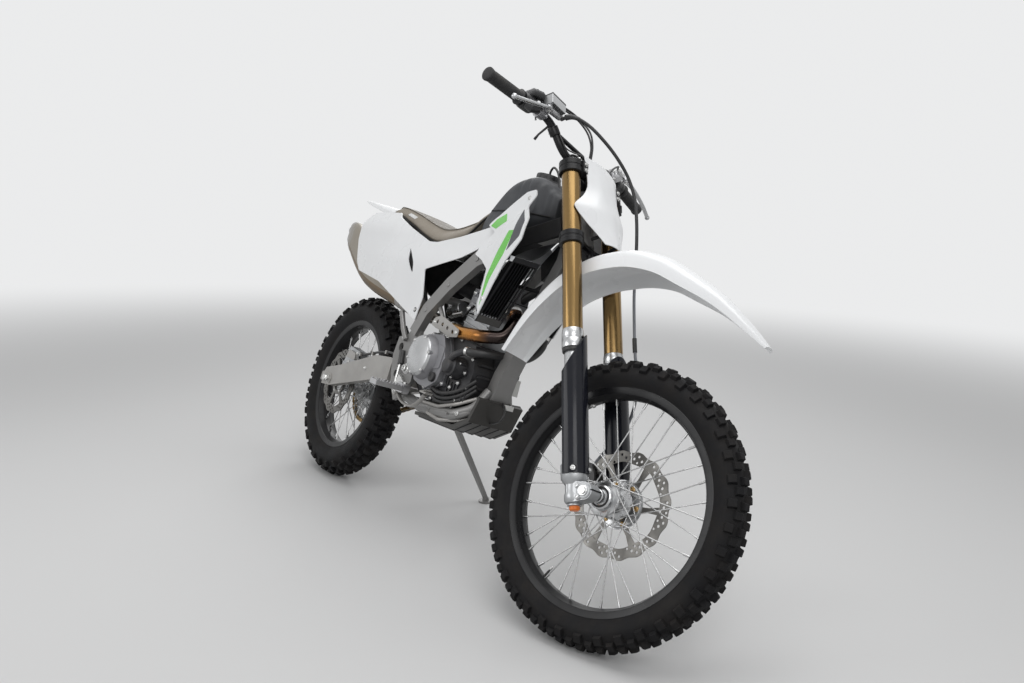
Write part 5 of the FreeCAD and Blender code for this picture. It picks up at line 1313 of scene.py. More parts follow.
class TRAIL_OT_seat(bpy.types.Operator):
    """Builds the seat's cover in two colours, its piping, lower edge and patch"""

    bl_idname = "trail.seat"
    bl_label = "Seat"

    def execute(self, context):
        shape = Shape()
        rows = smooth_stations(SEAT, 5)
        rings, last = [], len(rows) - 1
        for k, (x, top, low, half_top, half_low) in enumerate(rows):
            ends = min(1.0, 0.55 + 0.45 * (k / 3.0) ** 0.5 if k < 3 else 1.0)
            ends = min(ends, 0.8 + 0.2 * ((last - k) / 3.0) ** 0.5 if last - k < 3 else 1.0)
            height = (top - low) * ends
            side = [(half_low - 3, 0.0), (half_low, 0.10), (half_low - 0.5, 0.32),
                    (half_low + (half_top - half_low) * 0.45, 0.58), (half_top + 3.2, 0.80),
                    (half_top + 1.4, 0.885), (half_top - 0.5, 0.895), (half_top - 3, 0.93),
                    (half_top * 0.82, 0.972), (half_top * 0.55, 0.99), (half_top * 0.25, 1.0)]
            ring = [at(x, w, low + height * t) for w, t in side]
            rings.append(ring + mirror(reversed(ring)))
        shape.rings(rings)
        size = len(rings[0])
        edge = 5
        for index, face in enumerate(shape.faces):
            if len(face) == 4 and edge <= face[0] % size <= size - edge - 2:
                shape.finishes[index] = 1
        seat = piece("seat_cover", "chassis", shape, ["seat_side", "seat_top"], replaces=["seat"],
                     subdivide=1, crease_angle=75)
        piping, base = Shape(), Shape()
        for side, j in ((1, edge), (-1, size - 1 - edge)):
            piping.tube([ring[j] + at(0, side * 0.4, 0.6) for ring in rings[1:-1]], 1.5, 8)
            base.tube([at(x, side * (half_low - 3.0), low + 1.0) for x, _, low, _, half_low in rows[1:-4]],
                      3.2, 8)
        piece("seat_piping", "chassis", piping, ["seat_top"])
        piece("seat_base_edge", "chassis", base, ["black_plastic"])
        patch = Shape()
        grid = []
        for i in range(9):
            x = 176 + i * 62 / 8
            top, low, half_top, half_low = between(x, SEAT)
            line = []
            for t in (0.44, 0.50, 0.56, 0.62, 0.66):
                share = 0.45 * (t - 0.32) / 0.26 if t < 0.58 else 0.45 + 0.5 * (t - 0.58) / 0.22
                w = half_low + (half_top - half_low) * share
                line.append(at(x + (t - 0.44) * 8, -w - 1.0, low + (top - low) * t))
            grid.append(line)
        shell(patch, grid, 1.0, lambda p: at(0, -1, 0))
        piece("seat_patch", "chassis", patch, ["patch_vinyl"], bevel=0.3, segments=1)
        return {"FINISHED"}


def panel_surface(stations):
    """y of a panel's outer face for a point in side view, from lines of (z, y) at each x."""
    def surface(x, z):
        rows = []
        for station, line in stations:
            y = line[0][1] if z <= line[0][0] else line[-1][1]
            for (z0, y0), (z1, y1) in zip(line, line[1:]):
                if z0 < z <= z1:
                    t = (z - z0) / (z1 - z0)
                    t = t * t * (3 - 2 * t) * 0.35 + t * 0.65
                    y = y0 + (y1 - y0) * t
                    break
            rows.append((station, y))
        return between(x, rows)[0]
    return surface


# Forms of the right panel and shroud: at each x, the y of the outer face up its height, as (z, y)
PANEL_Y = -132.0
SHROUD_Y = -146.0
PANEL_FORM = [(-80, [(600, PANEL_Y + 8), (800, PANEL_Y), (900, PANEL_Y), (1000, PANEL_Y + 26)]),
              (200, [(600, PANEL_Y), (800, PANEL_Y - 6), (900, PANEL_Y), (1000, PANEL_Y + 24)]),
              (450, [(600, PANEL_Y + 4), (800, PANEL_Y + 2), (900, PANEL_Y + 14), (1000, PANEL_Y + 26)]),
              (700, [(600, PANEL_Y + 4), (800, PANEL_Y + 6), (900, PANEL_Y + 18), (1000, PANEL_Y + 28)])]
SHROUD_FORM = [(660, [(600, SHROUD_Y + 18), (850, SHROUD_Y + 18), (950, SHROUD_Y + 32),
                      (1100, SHROUD_Y + 56)]),
               (800, [(600, SHROUD_Y + 10), (850, SHROUD_Y + 12), (950, SHROUD_Y + 20),
                      (1100, SHROUD_Y + 46)]),
               (900, [(600, SHROUD_Y + 4), (850, SHROUD_Y), (950, SHROUD_Y + 2), (1100, SHROUD_Y + 26)]),
               (1000, [(600, SHROUD_Y - 4), (850, SHROUD_Y - 8), (950, SHROUD_Y - 8), (1100, SHROUD_Y + 10)])]
PANEL_OUTLINE = [(-15, 957), (60, 962), (182, 966), (194, 950), (300, 917), (440, 880), (490, 882),
                 (612, 909), (713, 938), (772, 956), (796, 938), (756, 893), (722, 874), (661, 845),
                 (480, 788), (520, 700), (512, 623), (394, 658), (202, 716), (18, 738), (-18, 769),
                 (-63, 851), (-70, 909)]
SHROUD_OUTLINE = [(961, 1062), (978, 1044), (958, 1011), (991, 976), (988, 915), (937, 849), (907, 781),
                  (872, 688), (852, 721), (844, 822), (795, 846), (748, 860), (768, 893), (814, 932),
                  (760, 952), (782, 972), (858, 1023), (915, 1056)]


def panel(outline, form, thickness, grid, corner, holes=(), lift=0.0):
    """Curved panel with a side-view outline, on both sides of the machine."""
    surface = panel_surface(form)
    points, faces = outline_skin(outline, lambda x, z: surface(x, z) - lift, grid, corner, holes)
    edges = {(a, b): True for face in faces for a, b in zip(face, face[1:] + face[:1])}
    count = len(points)
    under = [p + at(0, thickness, 0) for p in points]
    walls = [(a, b, count + b, count + a) for a, b in edges if (b, a) not in edges]
    back = [tuple(count + i for i in reversed(face)) for face in faces]
    return Shape().add(points + under, faces + back + walls).mirrored()


class TRAIL_OT_panels(bpy.types.Operator):
    """Builds the side panels, the shrouds with their flashes and the rear fender"""

    bl_idname = "trail.panels"
    bl_label = "Panels and shrouds"

    def execute(self, context):
        slit = [(342, 850), (362, 834), (398, 802), (412, 768), (394, 776), (358, 808)]
        side = panel(PANEL_OUTLINE, PANEL_FORM, 3.0, 16, 9, [slit])
        piece("side_covers", "chassis", side, ["white_plastic"], replaces=["side_panels"], bevel=1.0,
              segments=2, angle=40, crease_angle=50)
        behind = panel([(326, 862), (424, 850), (434, 756), (340, 764)], PANEL_FORM, 2.0, 20, 4, (), -5.0)
        piece("slit_backing", "chassis", behind, ["core_black"])
        fixings = Shape()
        x, z = 497, 656
        y = panel_surface(PANEL_FORM)(x, z)
        for s in (1, -1):
            fixings.lathe([(8.0, -1.0), (8.0, 0.6), (7.0, 1.4), (0.2, 1.4)], at(x, s * abs(y), z), (0, s, 0),
                          24)
            fixings.bolt(at(x, s * (abs(y) + 0.8), z), (0, s, 0), 4.0, 3.0, 1)
        for x, z in ((944, 1036), (870, 738)):
            y = panel_surface(SHROUD_FORM)(x, z)
            for s in (1, -1):
                fixings.bolt(at(x, s * abs(y), z), (0, s, 0), 5.0, 3.0, 1)
        piece("panel_fixings", "chassis", fixings, ["black_plastic", "zinc_bolt"], bevel=0.4, segments=1)

        shrouds = panel(SHROUD_OUTLINE, SHROUD_FORM, 3.0, 12, 7)
        piece("shroud_skins", "chassis", shrouds, ["white_plastic"], replaces=["shrouds"], bevel=1.0,
              segments=2, angle=40, crease_angle=50)
        for name, outline, label in SHROUD_FLASHES:
            flash = panel(outline, SHROUD_FORM, 0.5, 12, 2.5, (), 0.5)
            piece(name, "chassis", flash, [label])
        fender = Shape()
        rows = [(59.7, 996, 962, 85), (0, 1000, 966, 92), (-120, 1010, 986, 84), (-230, 1020, 1004, 62),
                (-300, 1025, 1018, 38)]
        section = [(1.0, 0.0), (0.985, 0.30), (0.95, 0.55), (0.86, 0.72), (0.72, 0.82), (0.5, 0.90),
                   (0.25, 0.97), (0.0, 1.0)]
        grid = []
        for x, top, edge, half in smooth_stations(rows, 7):
            line = [at(x, half * w, edge + (top - edge) * t) for w, t in section]
            grid.append(line + mirror(reversed(line[:-1])))
        shell(fender, grid, 3.0, lambda p: at(0, 0, 1))
        piece("tail_fender", "chassis", fender, ["white_plastic"], replaces=["rear_fender"], bevel=1.0,
              segments=2, angle=40)
        return {"FINISHED"}


# Plain flashes on the shrouds, in side view
SHROUD_FLASHES = [
    ("flash_low", [(866, 716), (880, 792), (916, 868), (934, 940), (906, 938), (880, 880), (858, 800)],
     "leaf_green"),
    ("flash_high", [(776, 950), (812, 942), (868, 966), (846, 990), (796, 972)], "leaf_green"),
    ("flash_dark", [(926, 880), (972, 924), (974, 968), (944, 1002), (934, 960)], "slate_film"),
]


# Handlebar and its controls


def bar_point(y, up=0.0, ahead=0.0):
    """Point beside the straight outer stretch of the handlebar."""
    share = (abs(y) - 148.0) / 252.0
    return fork(1034 - share * 3 + up, -14 - share * 24 + ahead, y)


def bar_turned(shape, side, y, profile, finish=0, steps=36):
    """Part turned about the bar; y is where its profile starts, and it runs outward."""
    return shape.lathe(profile, bar_point(side * y), bar_point(side * (y + 10)) - bar_point(side * y), steps,
                       finish)


class TRAIL_OT_bars(bpy.types.Operator):
    """Builds the handlebar with its grips, levers, master cylinder and switches"""

    bl_idname = "trail.bars"
    bl_label = "Handlebar"

    def execute(self, context):
        bar = Shape()
        right = [bar_point(-400), bar_point(-148), fork(948, -5, -94)]
        left = [fork(948, -5, 94), bar_point(148), bar_point(400)]
        bar.tube(bent(right + left, 70, 9), 11.1, 32)
        brace = [fork(1004, -11, -133), fork(1004, -11, 133)]
        bar.rod(brace[0], brace[1], 6.5, 24)
        for end in brace:
            side = 1 if end.y > 0 else -1
            run = (bar_point(side * 148) - fork(948, -5, side * 94)).normalized()
            bar.lathe([(11.4, -13), (14.6, -12.4), (15, -11), (15, 11), (14.6, 12.4), (11.4, 13)], end, run,
                      32)
            bar.bolt(end + AXIS_AHEAD * -14.4, AXIS_AHEAD * -1, 3.4, 3, 1)
        piece("handlebar_tube", "steering", bar, ["black_anodise", "zinc_bolt"],
              replaces=["handlebar"], bevel=0.5, segments=2, angle=40)

        grips = Shape()
        for side in (-1, 1):
            profile = [(11.3, -1.5), (20.5, -1.5), (22.3, -0.3), (22.5, 1.2), (20.4, 3), (18.4, 5.5),
                       (17.3, 9)]
            for i in range(sizes().grip_ribs):
                start = 13 + i * 94.0 / sizes().grip_ribs
                profile += [(16.0, start), (16.9, start + 0.7), (16.9, start + 2.2), (16.0, start + 2.9)]
            profile += [(16.6, 110), (17.8, 116), (18.9, 121), (18.7, 124.5), (16.8, 126.6), (8, 126.8),
                        (0.1, 126.4)]
            bar_turned(grips, side, 280, profile, 0, 44)
        piece("ribbed_grips", "steering", grips, ["grip_rubber"], replaces=["grips"], crease_angle=50)

        plastic, metal, silver = Shape(), Shape(), Shape()
        bar_turned(plastic, -1, 228, [(12, 0), (20, 0), (22.6, 2), (23.4, 6), (23.6, 20), (23.0, 21),
                                      (23.0, 22), (23.8, 23), (23.4, 38), (21.5, 43), (12, 44)])
        plastic.tube([bar_point(-262, -14, 12), bar_point(-252, -24, 20), bar_point(-238, -22, 27),
                      bar_point(-224, -12, 30)], [14, 17, 15, 7], 20)
        plastic.tube([bar_point(-262, 14, 8), bar_point(-248, 22, 22), bar_point(-226, 20, 30),
                      bar_point(-208, 14, 32)], [9, 13, 13, 8], 20)
        plastic.block(bar_point(-232, 24, 22), (24, 30, 12), AXIS_AHEAD, AXIS_UP)
        bar_turned(plastic, 1, 228, [(12, 0), (18.5, 0), (20, 2), (20.2, 19), (19.6, 20), (20.2, 21),
                                     (20, 36), (18.5, 38), (12, 38)])
        plastic.block(bar_point(248, 15, -10), (20, 30, 15), AXIS_AHEAD, AXIS_UP)
        plastic.block(bar_point(248, -4, -22), (8, 14, 9), AXIS_AHEAD, AXIS_UP, 1)
        piece("bar_switches", "steering", plastic, ["cap_black", "plug_orange"], bevel=1.8, segments=2,
              angle=35, replaces=["bar_controls"])

        for side in (-1, 1):
            bar_turned(metal, side, 178 if side < 0 else 182,
                       [(11.3, 0), (16, 0), (17, 1.2), (17, 25), (16, 26.2), (11.3, 26.2)])
            for z in (-14, 14):
                metal.block(bar_point(side * 191, z, 10), (13, 22, 9), AXIS_AHEAD, AXIS_UP)
                metal.bolt(bar_point(side * 191, z, -15 if side < 0 else 17),
                           AXIS_AHEAD * (-1 if side < 0 else 1), 3.6, 3.4, 1)
            metal.block(bar_point(side * 200, -7, 28), (34, 22, 13), AXIS_AHEAD, AXIS_UP)
            metal.rod(bar_point(side * 212, -26, 46), bar_point(side * 212, -2, 46), 8.4, 28)
            metal.bolt(bar_point(side * 212, -2, 46), AXIS_UP, 4.2, 3.6, 1)
            metal.bolt(bar_point(side * 212, -26, 46), AXIS_UP * -1, 4.0, 3.2, 1)
        metal.rod(bar_point(-150, -6, 34), bar_point(-206, -8, 36), 10.5, 28)
        metal.rod(bar_point(-140, -6, 34), bar_point(-150, -6, 34), 8.5, 6, 1)
        metal.rod(bar_point(192, -8, 40), bar_point(160, -6, 42), 5.2, 20, 1)
        metal.rod(bar_point(178, -7, 41), bar_point(168, -6.5, 41.6), 8.2, 18)
        piece("lever_perches", "steering", metal, ["plate_alloy", "zinc_bolt"], bevel=1.2, segments=2,
              angle=35)

        cup = Shape()
        cup.block(bar_point(-190, 4, 46), (30, 64, 27), AXIS_AHEAD, AXIS_UP, 0, 1.04)
        cup.block(bar_point(-190, 19.6, 46), (33, 67, 5), AXIS_AHEAD, AXIS_UP, 1, 0.96)
        cup.lathe([(8, -1), (8, 1.2), (6.4, 1.8), (0.1, 1.4)], bar_point(-182, 4, 30.5), AXIS_AHEAD * -1, 24,
                  1)
        piece("fluid_cup", "steering", cup, ["machined_alloy", "cap_black"], bevel=3.0, segments=3, angle=35)
        screws = Shape()
        for y in (-164, -216):
            screws.bolt(bar_point(y, 22, 46), AXIS_UP, 3.2, 2.2)
        piece("cup_screws", "steering", screws, ["zinc_bolt"])

        for side in (-1, 1):
            spots = ((205, -20, 44), (224, -24, 50), (248, -36, 57), (296, -54, 60), (338, -64, 56),
                     (362, -68, 52))
            line = smooth_path([bar_point(side * y, up, ahead) for y, up, ahead in spots], 6)
            shares = [i / (len(line) - 1) for i in range(len(line))]
            widths = [(9.5 - 3.4 * min(1.0, t * 2.2), 5.2 - 0.6 * t) for t in shares]
            blade(silver, line, widths, 0, 16, AXIS_UP)
            ball = [(7.8 * math.sin(a), -7.8 * math.cos(a)) for a in (math.pi * i / 10 for i in range(11))]
            silver.lathe(ball, line[-1], AXIS_UP, 20)
        piece("lever_blades", "steering", silver, ["machined_alloy"], replaces=["levers"], bevel=0.4,
              crease_angle=50)

        soft = Shape()
        route = [(1018, 24, -150), (1019, 42, -149), (1014, 62, -142), (1000, 84, -112), (968, 106, -70),
                 (930, 122, -22), (888, 130, 24), (836, 132, 54), (776, 128, 68), (714, 116, 86),
                 (650, 98, 108), (580, 84, 122), (500, 78, 128), (420, 76, 130), (345, 74, 140),
                 (275, 56, 151), (212, 22, 151), (160, -20, 124), (112, -36, 82.6)]
        line = smooth_path([fork(*point) for point in route], 8)
        # Thick hose down to about the lower clamp, then a thinner sleeved line to the caliper
        cut = int(len(line) * 0.53)
        soft.tube(line[:cut + 1], 4.7, 18)
        soft.tube(line[cut:], 4.2, 18, 1)
        soft.tube(line[6:20], [8.4 - 0.22 * i for i in range(14)], 18)
        for spot in (cut, cut + 26):
            soft.tube(line[spot - 2:spot + 3], 6.2, 16)
        piece("front_brake_line", "steering", soft, ["hose_rubber", "hose_sleeve"], replaces=["brake_hose"])
        cables = Shape()
        for shift in (0.0, 8.0):
            cables.hose([bar_point(-226, -6 + shift, 30), fork(1049 + shift, 22, -170),
                         fork(1054 + shift, 30, -128), fork(1046 + shift, 40, -86),
                         fork(1018, 50 + shift, -54), fork(978, 54 + shift * 0.6, -44),
                         fork(938, 46, -42 + shift), fork(880, 32, -34 + shift),
                         fork(800, 30, -24 + shift)], 8, 2.7, 12)
        cables.hose([fork(1008, 2, -134), fork(984, 4, -120), fork(958, 10, -104), fork(944, 26, -92),
                     fork(934, 44, -78), fork(915, 50, -56), fork(870, 40, -40)], 8, 2.2, 10)
        cables.hose([bar_point(160, -6, 42), fork(1006, 50, 120), fork(970, 54, 76), fork(920, 46, 44),
                     fork(850, 34, 32), fork(790, 30, 26)], 8, 2.9, 12)
        cables.hose([bar_point(240, -18, -6), fork(1000, -6, 170), fork(962, 4, 120), fork(930, 30, 70),
                     fork(880, 40, 46)], 8, 2.2, 10)
        stick = [fork(1018, -24, -144), fork(1000, -50, -150), fork(985, -60, -155)]
        cables.tube(stick, [3.4, 3.0, 4.2], 12)
        piece("bar_cables", "steering", cables, ["hose_rubber"])
        return {"FINISHED"}


# Engine, exhaust and shock


def grown(outline, amount):
    """Outline moved outward from its middle."""
    middle = Vector((sum(p[0] for p in outline), sum(p[1] for p in outline))) / len(outline)
    return [tuple(Vector(p) + (Vector(p) - middle).normalized() * amount) for p in outline]


def rim_bolts(shape, outline, face, radius, inward, low):
    """Bolts on round bosses along an outline, on a face that looks to the right."""
    for x, z in grown(outline, -inward):
        spot = at(x, face, z)
        shape.lathe([(radius * 2.1, -low), (radius * 2.0, 0.0), (radius * 1.6, 1.2), (0.2, 1.2)], spot,
                    RIGHTWARD, 16)
        shape.bolt(spot + at(0, -1.0, 0), RIGHTWARD, radius, 3.6, 1)


# Side views of the clutch cover and the crankcase
CLUTCH = [(600, 450), (575, 485), (575, 520), (585, 565), (606, 596), (650, 603), (700, 606), (722, 575),
          (740, 540), (735, 505), (730, 470), (680, 440), (640, 442)]
CASE = [(568, 440), (560, 480), (560, 520), (577, 560), (596, 596), (643, 612), (690, 626), (760, 616),
        (836, 604), (850, 566), (862, 530), (858, 480), (852, 440), (810, 412), (740, 409), (680, 407),
        (620, 406)]


class TRAIL_OT_engine(bpy.types.Operator):
    """Builds the engine's covers, ribs and bolts, the water pump and the hoses"""

    bl_idname = "trail.engine"
    bl_label = "Engine"

    def execute(self, context):
        cover = Shape()
        cover.prism(rounded(CLUTCH, 6), -118, -84)
        cover.prism(rounded(grown(CLUTCH, 4), 6), -98, -86)
        cover.prism(rounded([(684, 500), (726, 508), (728, 572), (684, 578)], 8), -121, -90)
        hub = at(632, 0, 527)
        cover.lathe([(70, 112), (70, 121), (66.5, 127), (64.5, 139), (63, 141.4)], hub, RIGHTWARD, 72)
        cover.lathe([(63, 140), (63, 142.4), (58.4, 148.6), (56.4, 149.6)], hub, RIGHTWARD, 72, 2)
        cover.lathe([(57, 148), (56.4, 149.4), (53.5, 149.0), (51, 147.6), (24, 147.6), (22, 149.4),
                     (0.2, 149.4)], hub, RIGHTWARD, 72)
        for a in turns(6, 0.3):
            spot = hub + around(57.5, a, -146.0)
            cover.lathe([(8.0, -14), (8.0, 1.0), (7.0, 2.0), (0.2, 2.0)], spot, RIGHTWARD, 16)
            cover.bolt(spot + at(0, -1.6, 0), RIGHTWARD, 4.0, 3.4, 1)
        rim_bolts(cover, CLUTCH[::2], -99, 4.0, -3.0, 10)
        cover.lathe([(15, 112), (15, 126), (13, 128), (6, 128), (5, 126), (0.2, 126)], at(706, 0, 478),
                    RIGHTWARD, 20, 3)
        dynamo = at(745, 0, 515)
        cover.lathe([(68, 54), (68, 66), (64, 70), (62, 92), (57, 102), (50, 104), (28, 104), (26, 101),
                     (0.2, 101)], dynamo, LEFTWARD, 64)
        for a in turns(8):
            spot = dynamo + around(66, a, 70)
            cover.lathe([(8.5, -14), (8.5, 0), (7.5, 1.2), (0.2, 1.2)], spot, LEFTWARD, 16)
            cover.bolt(spot + at(0, 1, 0), LEFTWARD, 4.0, 3.4, 1)
        cover.prism(rounded([(560, 440), (556, 500), (580, 548), (640, 556), (668, 500), (650, 446)], 10), 52,
                    64, 3)
        piece("engine_side_covers", "chassis", cover, ["cover_alloy", "zinc_bolt", "machined_alloy",
                                                       "engine_black"],
              replaces=["engine_covers"], bevel=1.2, segments=2, angle=35)

        pump = Shape()
        centre = at(790, 0, 528)
        pump.lathe([(33, 84), (33, 104), (30, 110), (29, 126), (24, 129), (21, 140), (18, 142), (0.2, 142)],
                   centre, RIGHTWARD, 40)
        pump.hose([at(793, -128, 534), at(800, -132, 552), at(812, -128, 566), at(832, -113, 582)],
                  4, 10.5, 16)
        pump.prism(rounded([(720, 500), (718, 524), (764, 540), (772, 506)], 6), -112, -86)
        pump.tube([at(708, -111, 511), at(750, -112, 513), at(792, -111, 516)], 3.6, 10, 1)
        for a in turns(3, 0.5):
            spot = centre + around(30, a, -110)
            pump.lathe([(7, -18), (7, 0), (6, 1), (0.2, 1)], spot, RIGHTWARD, 14)
            pump.bolt(spot, RIGHTWARD, 3.6, 3.2, 1)
        piece("water_pump", "chassis", pump, ["engine_black", "zinc_bolt"], bevel=0.8, segments=2, angle=35)

        hoses = Shape()
        low = smooth_path([at(832, -113, 582), at(858, -104, 584), at(878, -76, 590), at(884, -30, 596),
                           at(884, 30, 600), at(884, 76, 620), at(884, 102, 656), at(880, 106, 700)], 6)
        hoses.tube(low, 12, 18)
        for spot, ahead in ((low[1], low[2]), (low[-3], low[-2])):
            hoses.lathe([(12.6, -5), (13.4, -4.6), (13.4, 4.6), (12.6, 5)], spot, ahead - spot, 24, 1)
        hoses.hose([at(812, 20, 756), at(850, 40, 800), at(880, 66, 836), at(906, 84, 846)], 6, 13, 16)
        for y, drop in ((-101, 0), (-96, 14), (-92, 26)):
            hoses.hose([at(680, y, 452 - drop), at(734, y - 4, 442 - drop), at(790, y - 3, 450 - drop),
                        at(842, y + 6, 474 - drop), at(872, y + 26, 510 - drop)], 6, 5.4, 12)
        hoses.hose([at(842, 0, 402), at(900, -6, 404), at(948, -8, 426), at(940, 0, 452), at(914, 6, 470)],
                    6, 3.2, 10)
        hoses.hose([at(700, -30, 840), at(660, -64, 800), at(600, -84, 740), at(560, -88, 690)], 6, 4.2, 10)
        piece("engine_hoses", "chassis", hoses, ["hose_rubber", "zinc_bolt"])

        case = Shape()
        for x, z in ((756, 572), (770, 466), (806, 486), (826, 520), (700, 432), (820, 436)):
            case.rod(at(x, -84, z), at(x, -93, z), 9, 16, 0, 1.0)
            case.bolt(at(x, -93, z), RIGHTWARD, 4.2, 3.6, 1)
        for k in range(6):
            case.block(at(752 + k * 18, -88.6, 455), (5, 8, 62 - 5 * k), taper=0.8)
        for k in range(5):
            case.block(at(861 - abs(k - 3) * 2.6, -16, 420 + k * 34), (10, 118, 6), taper=0.9)
        case.prism(rounded(grown(CASE, 3), 8), -20, -14)
        rim_bolts(case, CASE[1::2], -90, 3.8, 7, 6)
        case.rod(at(650, -44, 402), at(650, -44, 412), 13, 20)
        case.bolt(at(720, 0, 408), (0, 0, -1), 9, 6, 1)
        piece("crankcase_details", "chassis", case, ["engine_black", "zinc_bolt"], bevel=0.8, segments=2,
              angle=35)

        head = Shape()
        for low, high, half in (((692, 697), (833, 687), 1.5), ((705, 762), (842, 750), 1.2)):
            run = at(high[0], 0, high[1]) - at(low[0], 0, low[1])
            middle = at((low[0] + high[0]) / 2, -6, (low[1] + high[1]) / 2)
            head.block(middle, (run.length + 3, 122, half * 2), run, UPWARD, 2)
        lean = (at(712, 0, 764) - at(690, 0, 627)).normalized()
        for k in range(5):
            spot = at(700, -66.5, 648) + lean * (12 + 20 * k)
            head.block(spot + at(64, 0, -6), (128, 9, 3.6), (0.995, 0, -0.09), lean)
        for x, z in ((704, 706), (744, 702), (788, 698), (834, 694), (716, 756), (758, 753), (834, 745)):
            head.rod(at(x, -60, z), at(x, -70, z), 9, 16, 0, 1)
            head.bolt(at(x, -70, z), RIGHTWARD, 4.4, 4, 1)
        for x, z in ((724, 790), (772, 800), (816, 786)):
            for y in (-55, 47):
                head.rod(at(x, y, z - 14), at(x, y, z + 6), 8, 14, 0, 1)
                head.bolt(at(x, y, z + 6), UPWARD, 4.2, 3.6, 1)
        head.lathe([(24, -64), (24, -76), (20, -79), (12, -79), (11, -76), (0.2, -76)], at(770, 0, 728),
                   LEFTWARD, 32)
        head.lathe([(14, 60), (14, 72), (9, 76), (0.2, 76)], at(752, 0, 753), RIGHTWARD, 6, 3)
        head.rod(at(752, -60, 753), at(700, -78, 674), 3.4, 10, 3)
        head.rod(at(648, -80, 675), at(695, -80, 687), 4.6, 12, 1)
        head.block(at(774, -2, 814), (34, 60, 22), (0.99, 0, -0.08), UPWARD, 3, 0.8)
        head.hose([at(774, -20, 822), at(770, -46, 842), at(740, -54, 856), at(700, -50, 850)],
                  5, 3.4, 10, 3)
        piece("head_details", "chassis", head, ["cast_alloy", "zinc_bolt", "core_black", "black_plastic"],
              bevel=0.8, segments=2, angle=35)
        return {"FINISHED"}


# Corners of the header pipe's middle line, from the cylinder to the silencer
HEADER = [(842.3, -4, 722), (872, -4, 722), (898, -30, 700), (908, -52, 650), (868, -104, 634),
          (780, -109, 629), (650, -104, 636), (560, -76, 648), (500, -78, 650), (460.3, -78, 650)]


class TRAIL_OT_exhaust(bpy.types.Operator):
    """Builds the header pipe, its shield and flange, and the silencer"""

    bl_idname = "trail.exhaust"
    bl_label = "Exhaust"

    def execute(self, context):
        pipe = Shape()
        line = bent([at(*p) for p in HEADER], 42, 8)
        pipe.tube(line, 19, 28)
        for x in (846, 852):
            pipe.lathe([(22, -2), (27, -2), (28, 0), (27, 3), (22, 3)], at(x, -4, 722), FORWARD, 28, 1)
        for y in (-34, 26):
            pipe.rod(at(838, y, 722), at(868, y, 722), 4.2, 12, 1)
            pipe.bolt(at(858, y, 722), FORWARD, 6.0, 6, 1)
        pipe.block(at(853, -4, 722), (6, 74, 22), finish=1)
        for x, y, z in ((712, -107, 632), (520, -78, 650)):
            pipe.lathe([(19.5, -9), (21.8, -8.6), (22.2, 0), (21.8, 8.6), (19.5, 9)], at(x, y, z),
                       (1, -0.02, 0.02), 32, 1)
        pipe.block(at(712, -112, 608), (15, 8, 12), finish=1)
        pipe.rod(at(712, -122, 608), at(712, -96, 608), 3.4, 12, 1)
        piece("header_pipe", "chassis", pipe, ["heated_pipe", "zinc_bolt"], replaces=["exhaust_header"],
              bevel=0.5, segments=1, angle=40)

        shield = Shape()
        outline = rounded([(632, 628), (640, 650), (668, 660), (700, 656), (795, 634), (790, 612), (740, 606),
                           (690, 616), (652, 622)], 7)
        holes = [[(x + 6.2 * math.cos(a), z + 6.2 * math.sin(a)) for a in turns(10)]
                 for x, z in ((664, 640), (696, 636), (728, 630), (760, 623))]
        points, faces = outline_skin(outline, lambda x, z: -133.5 + ((z - 634) / 26.0) ** 2 * 5.0, 9.0, 0.0,
                                     holes)
        shield.add(points, faces, 0)
        piece("pipe_shield", "chassis", shield, ["arm_alloy"], thickness=1.8, bevel=0.4, segments=1, angle=40,
              crease_angle=60, offset=0.0)
        posts = Shape()
        for x, z in ((646, 637), (780, 624)):
            posts.rod(at(x, -108, z), at(x, -132, z), 5.0, 12)
            posts.bolt(at(x, -134.0, z), RIGHTWARD, 4.2, 3.2, 1)
        piece("shield_posts", "chassis", posts, ["arm_alloy", "zinc_bolt"])

        can = Shape()
        rings = [rounded_section(*row) for row in smooth_stations(SILENCER, 6)]
        can.rings(rings)
        belly = [(-x, z, half_z) for x, _, z, _, half_z, _ in SILENCER]
        for index, face in enumerate(can.faces):
            if len(face) == 4:
                centre = sum((can.points[i] for i in face), Vector()) / 4
                z, half_z = between(-centre.x, belly)
                if centre.z < z - half_z * 0.45:
                    can.finishes[index] = 1
                if centre.x > 340 or centre.x < -172:
                    can.finishes[index] = 2
        for x in (352, 330, -150, -168):
            y, z, half_y, half_z, corner = between(-x, [(-row[0],) + row[1:] for row in SILENCER])
            steps = ((-4, 0.0), (-3.6, 1.3), (3.6, 1.3), (4, 0.0))
            band = [rounded_section(x + d, y, z, half_y + g, half_z + g, corner + g) for d, g in steps]
            can.rings(band, 2)
        tail, tail_run = at(-195, -92, 880), (-0.9, 0, 0.36)
        can.lathe([(23, -8), (23, 14), (21.4, 15.4), (19.6, 14), (19.6, -6), (0.2, -8)], tail, tail_run, 32,
                  2)
        can.lathe([(19.4, 3.0), (0.2, 3.2)], tail, tail_run, 24, 3)
        for a in turns(3, 0.4):
            can.bolt(at(-194, -90 + 24 * math.cos(a), 868 + 40 * math.sin(a)), (-0.95, 0, 0.3), 3.4, 3.0, 2)
        can.block(at(120, -60, 800), (26, 50, 6), (1, 0, 0.2), UPWARD, 2)
        piece("silencer_can", "chassis", can, ["silencer_shell", "silencer_brown", "arm_alloy", "core_black"],
              replaces=["silencer"], bevel=0.5, segments=1, angle=50, crease_angle=45)
        return {"FINISHED"}


SHOCK_TOP = Vector((585, 0, 715))
SHOCK_LINK = Vector((430, 0, 455))


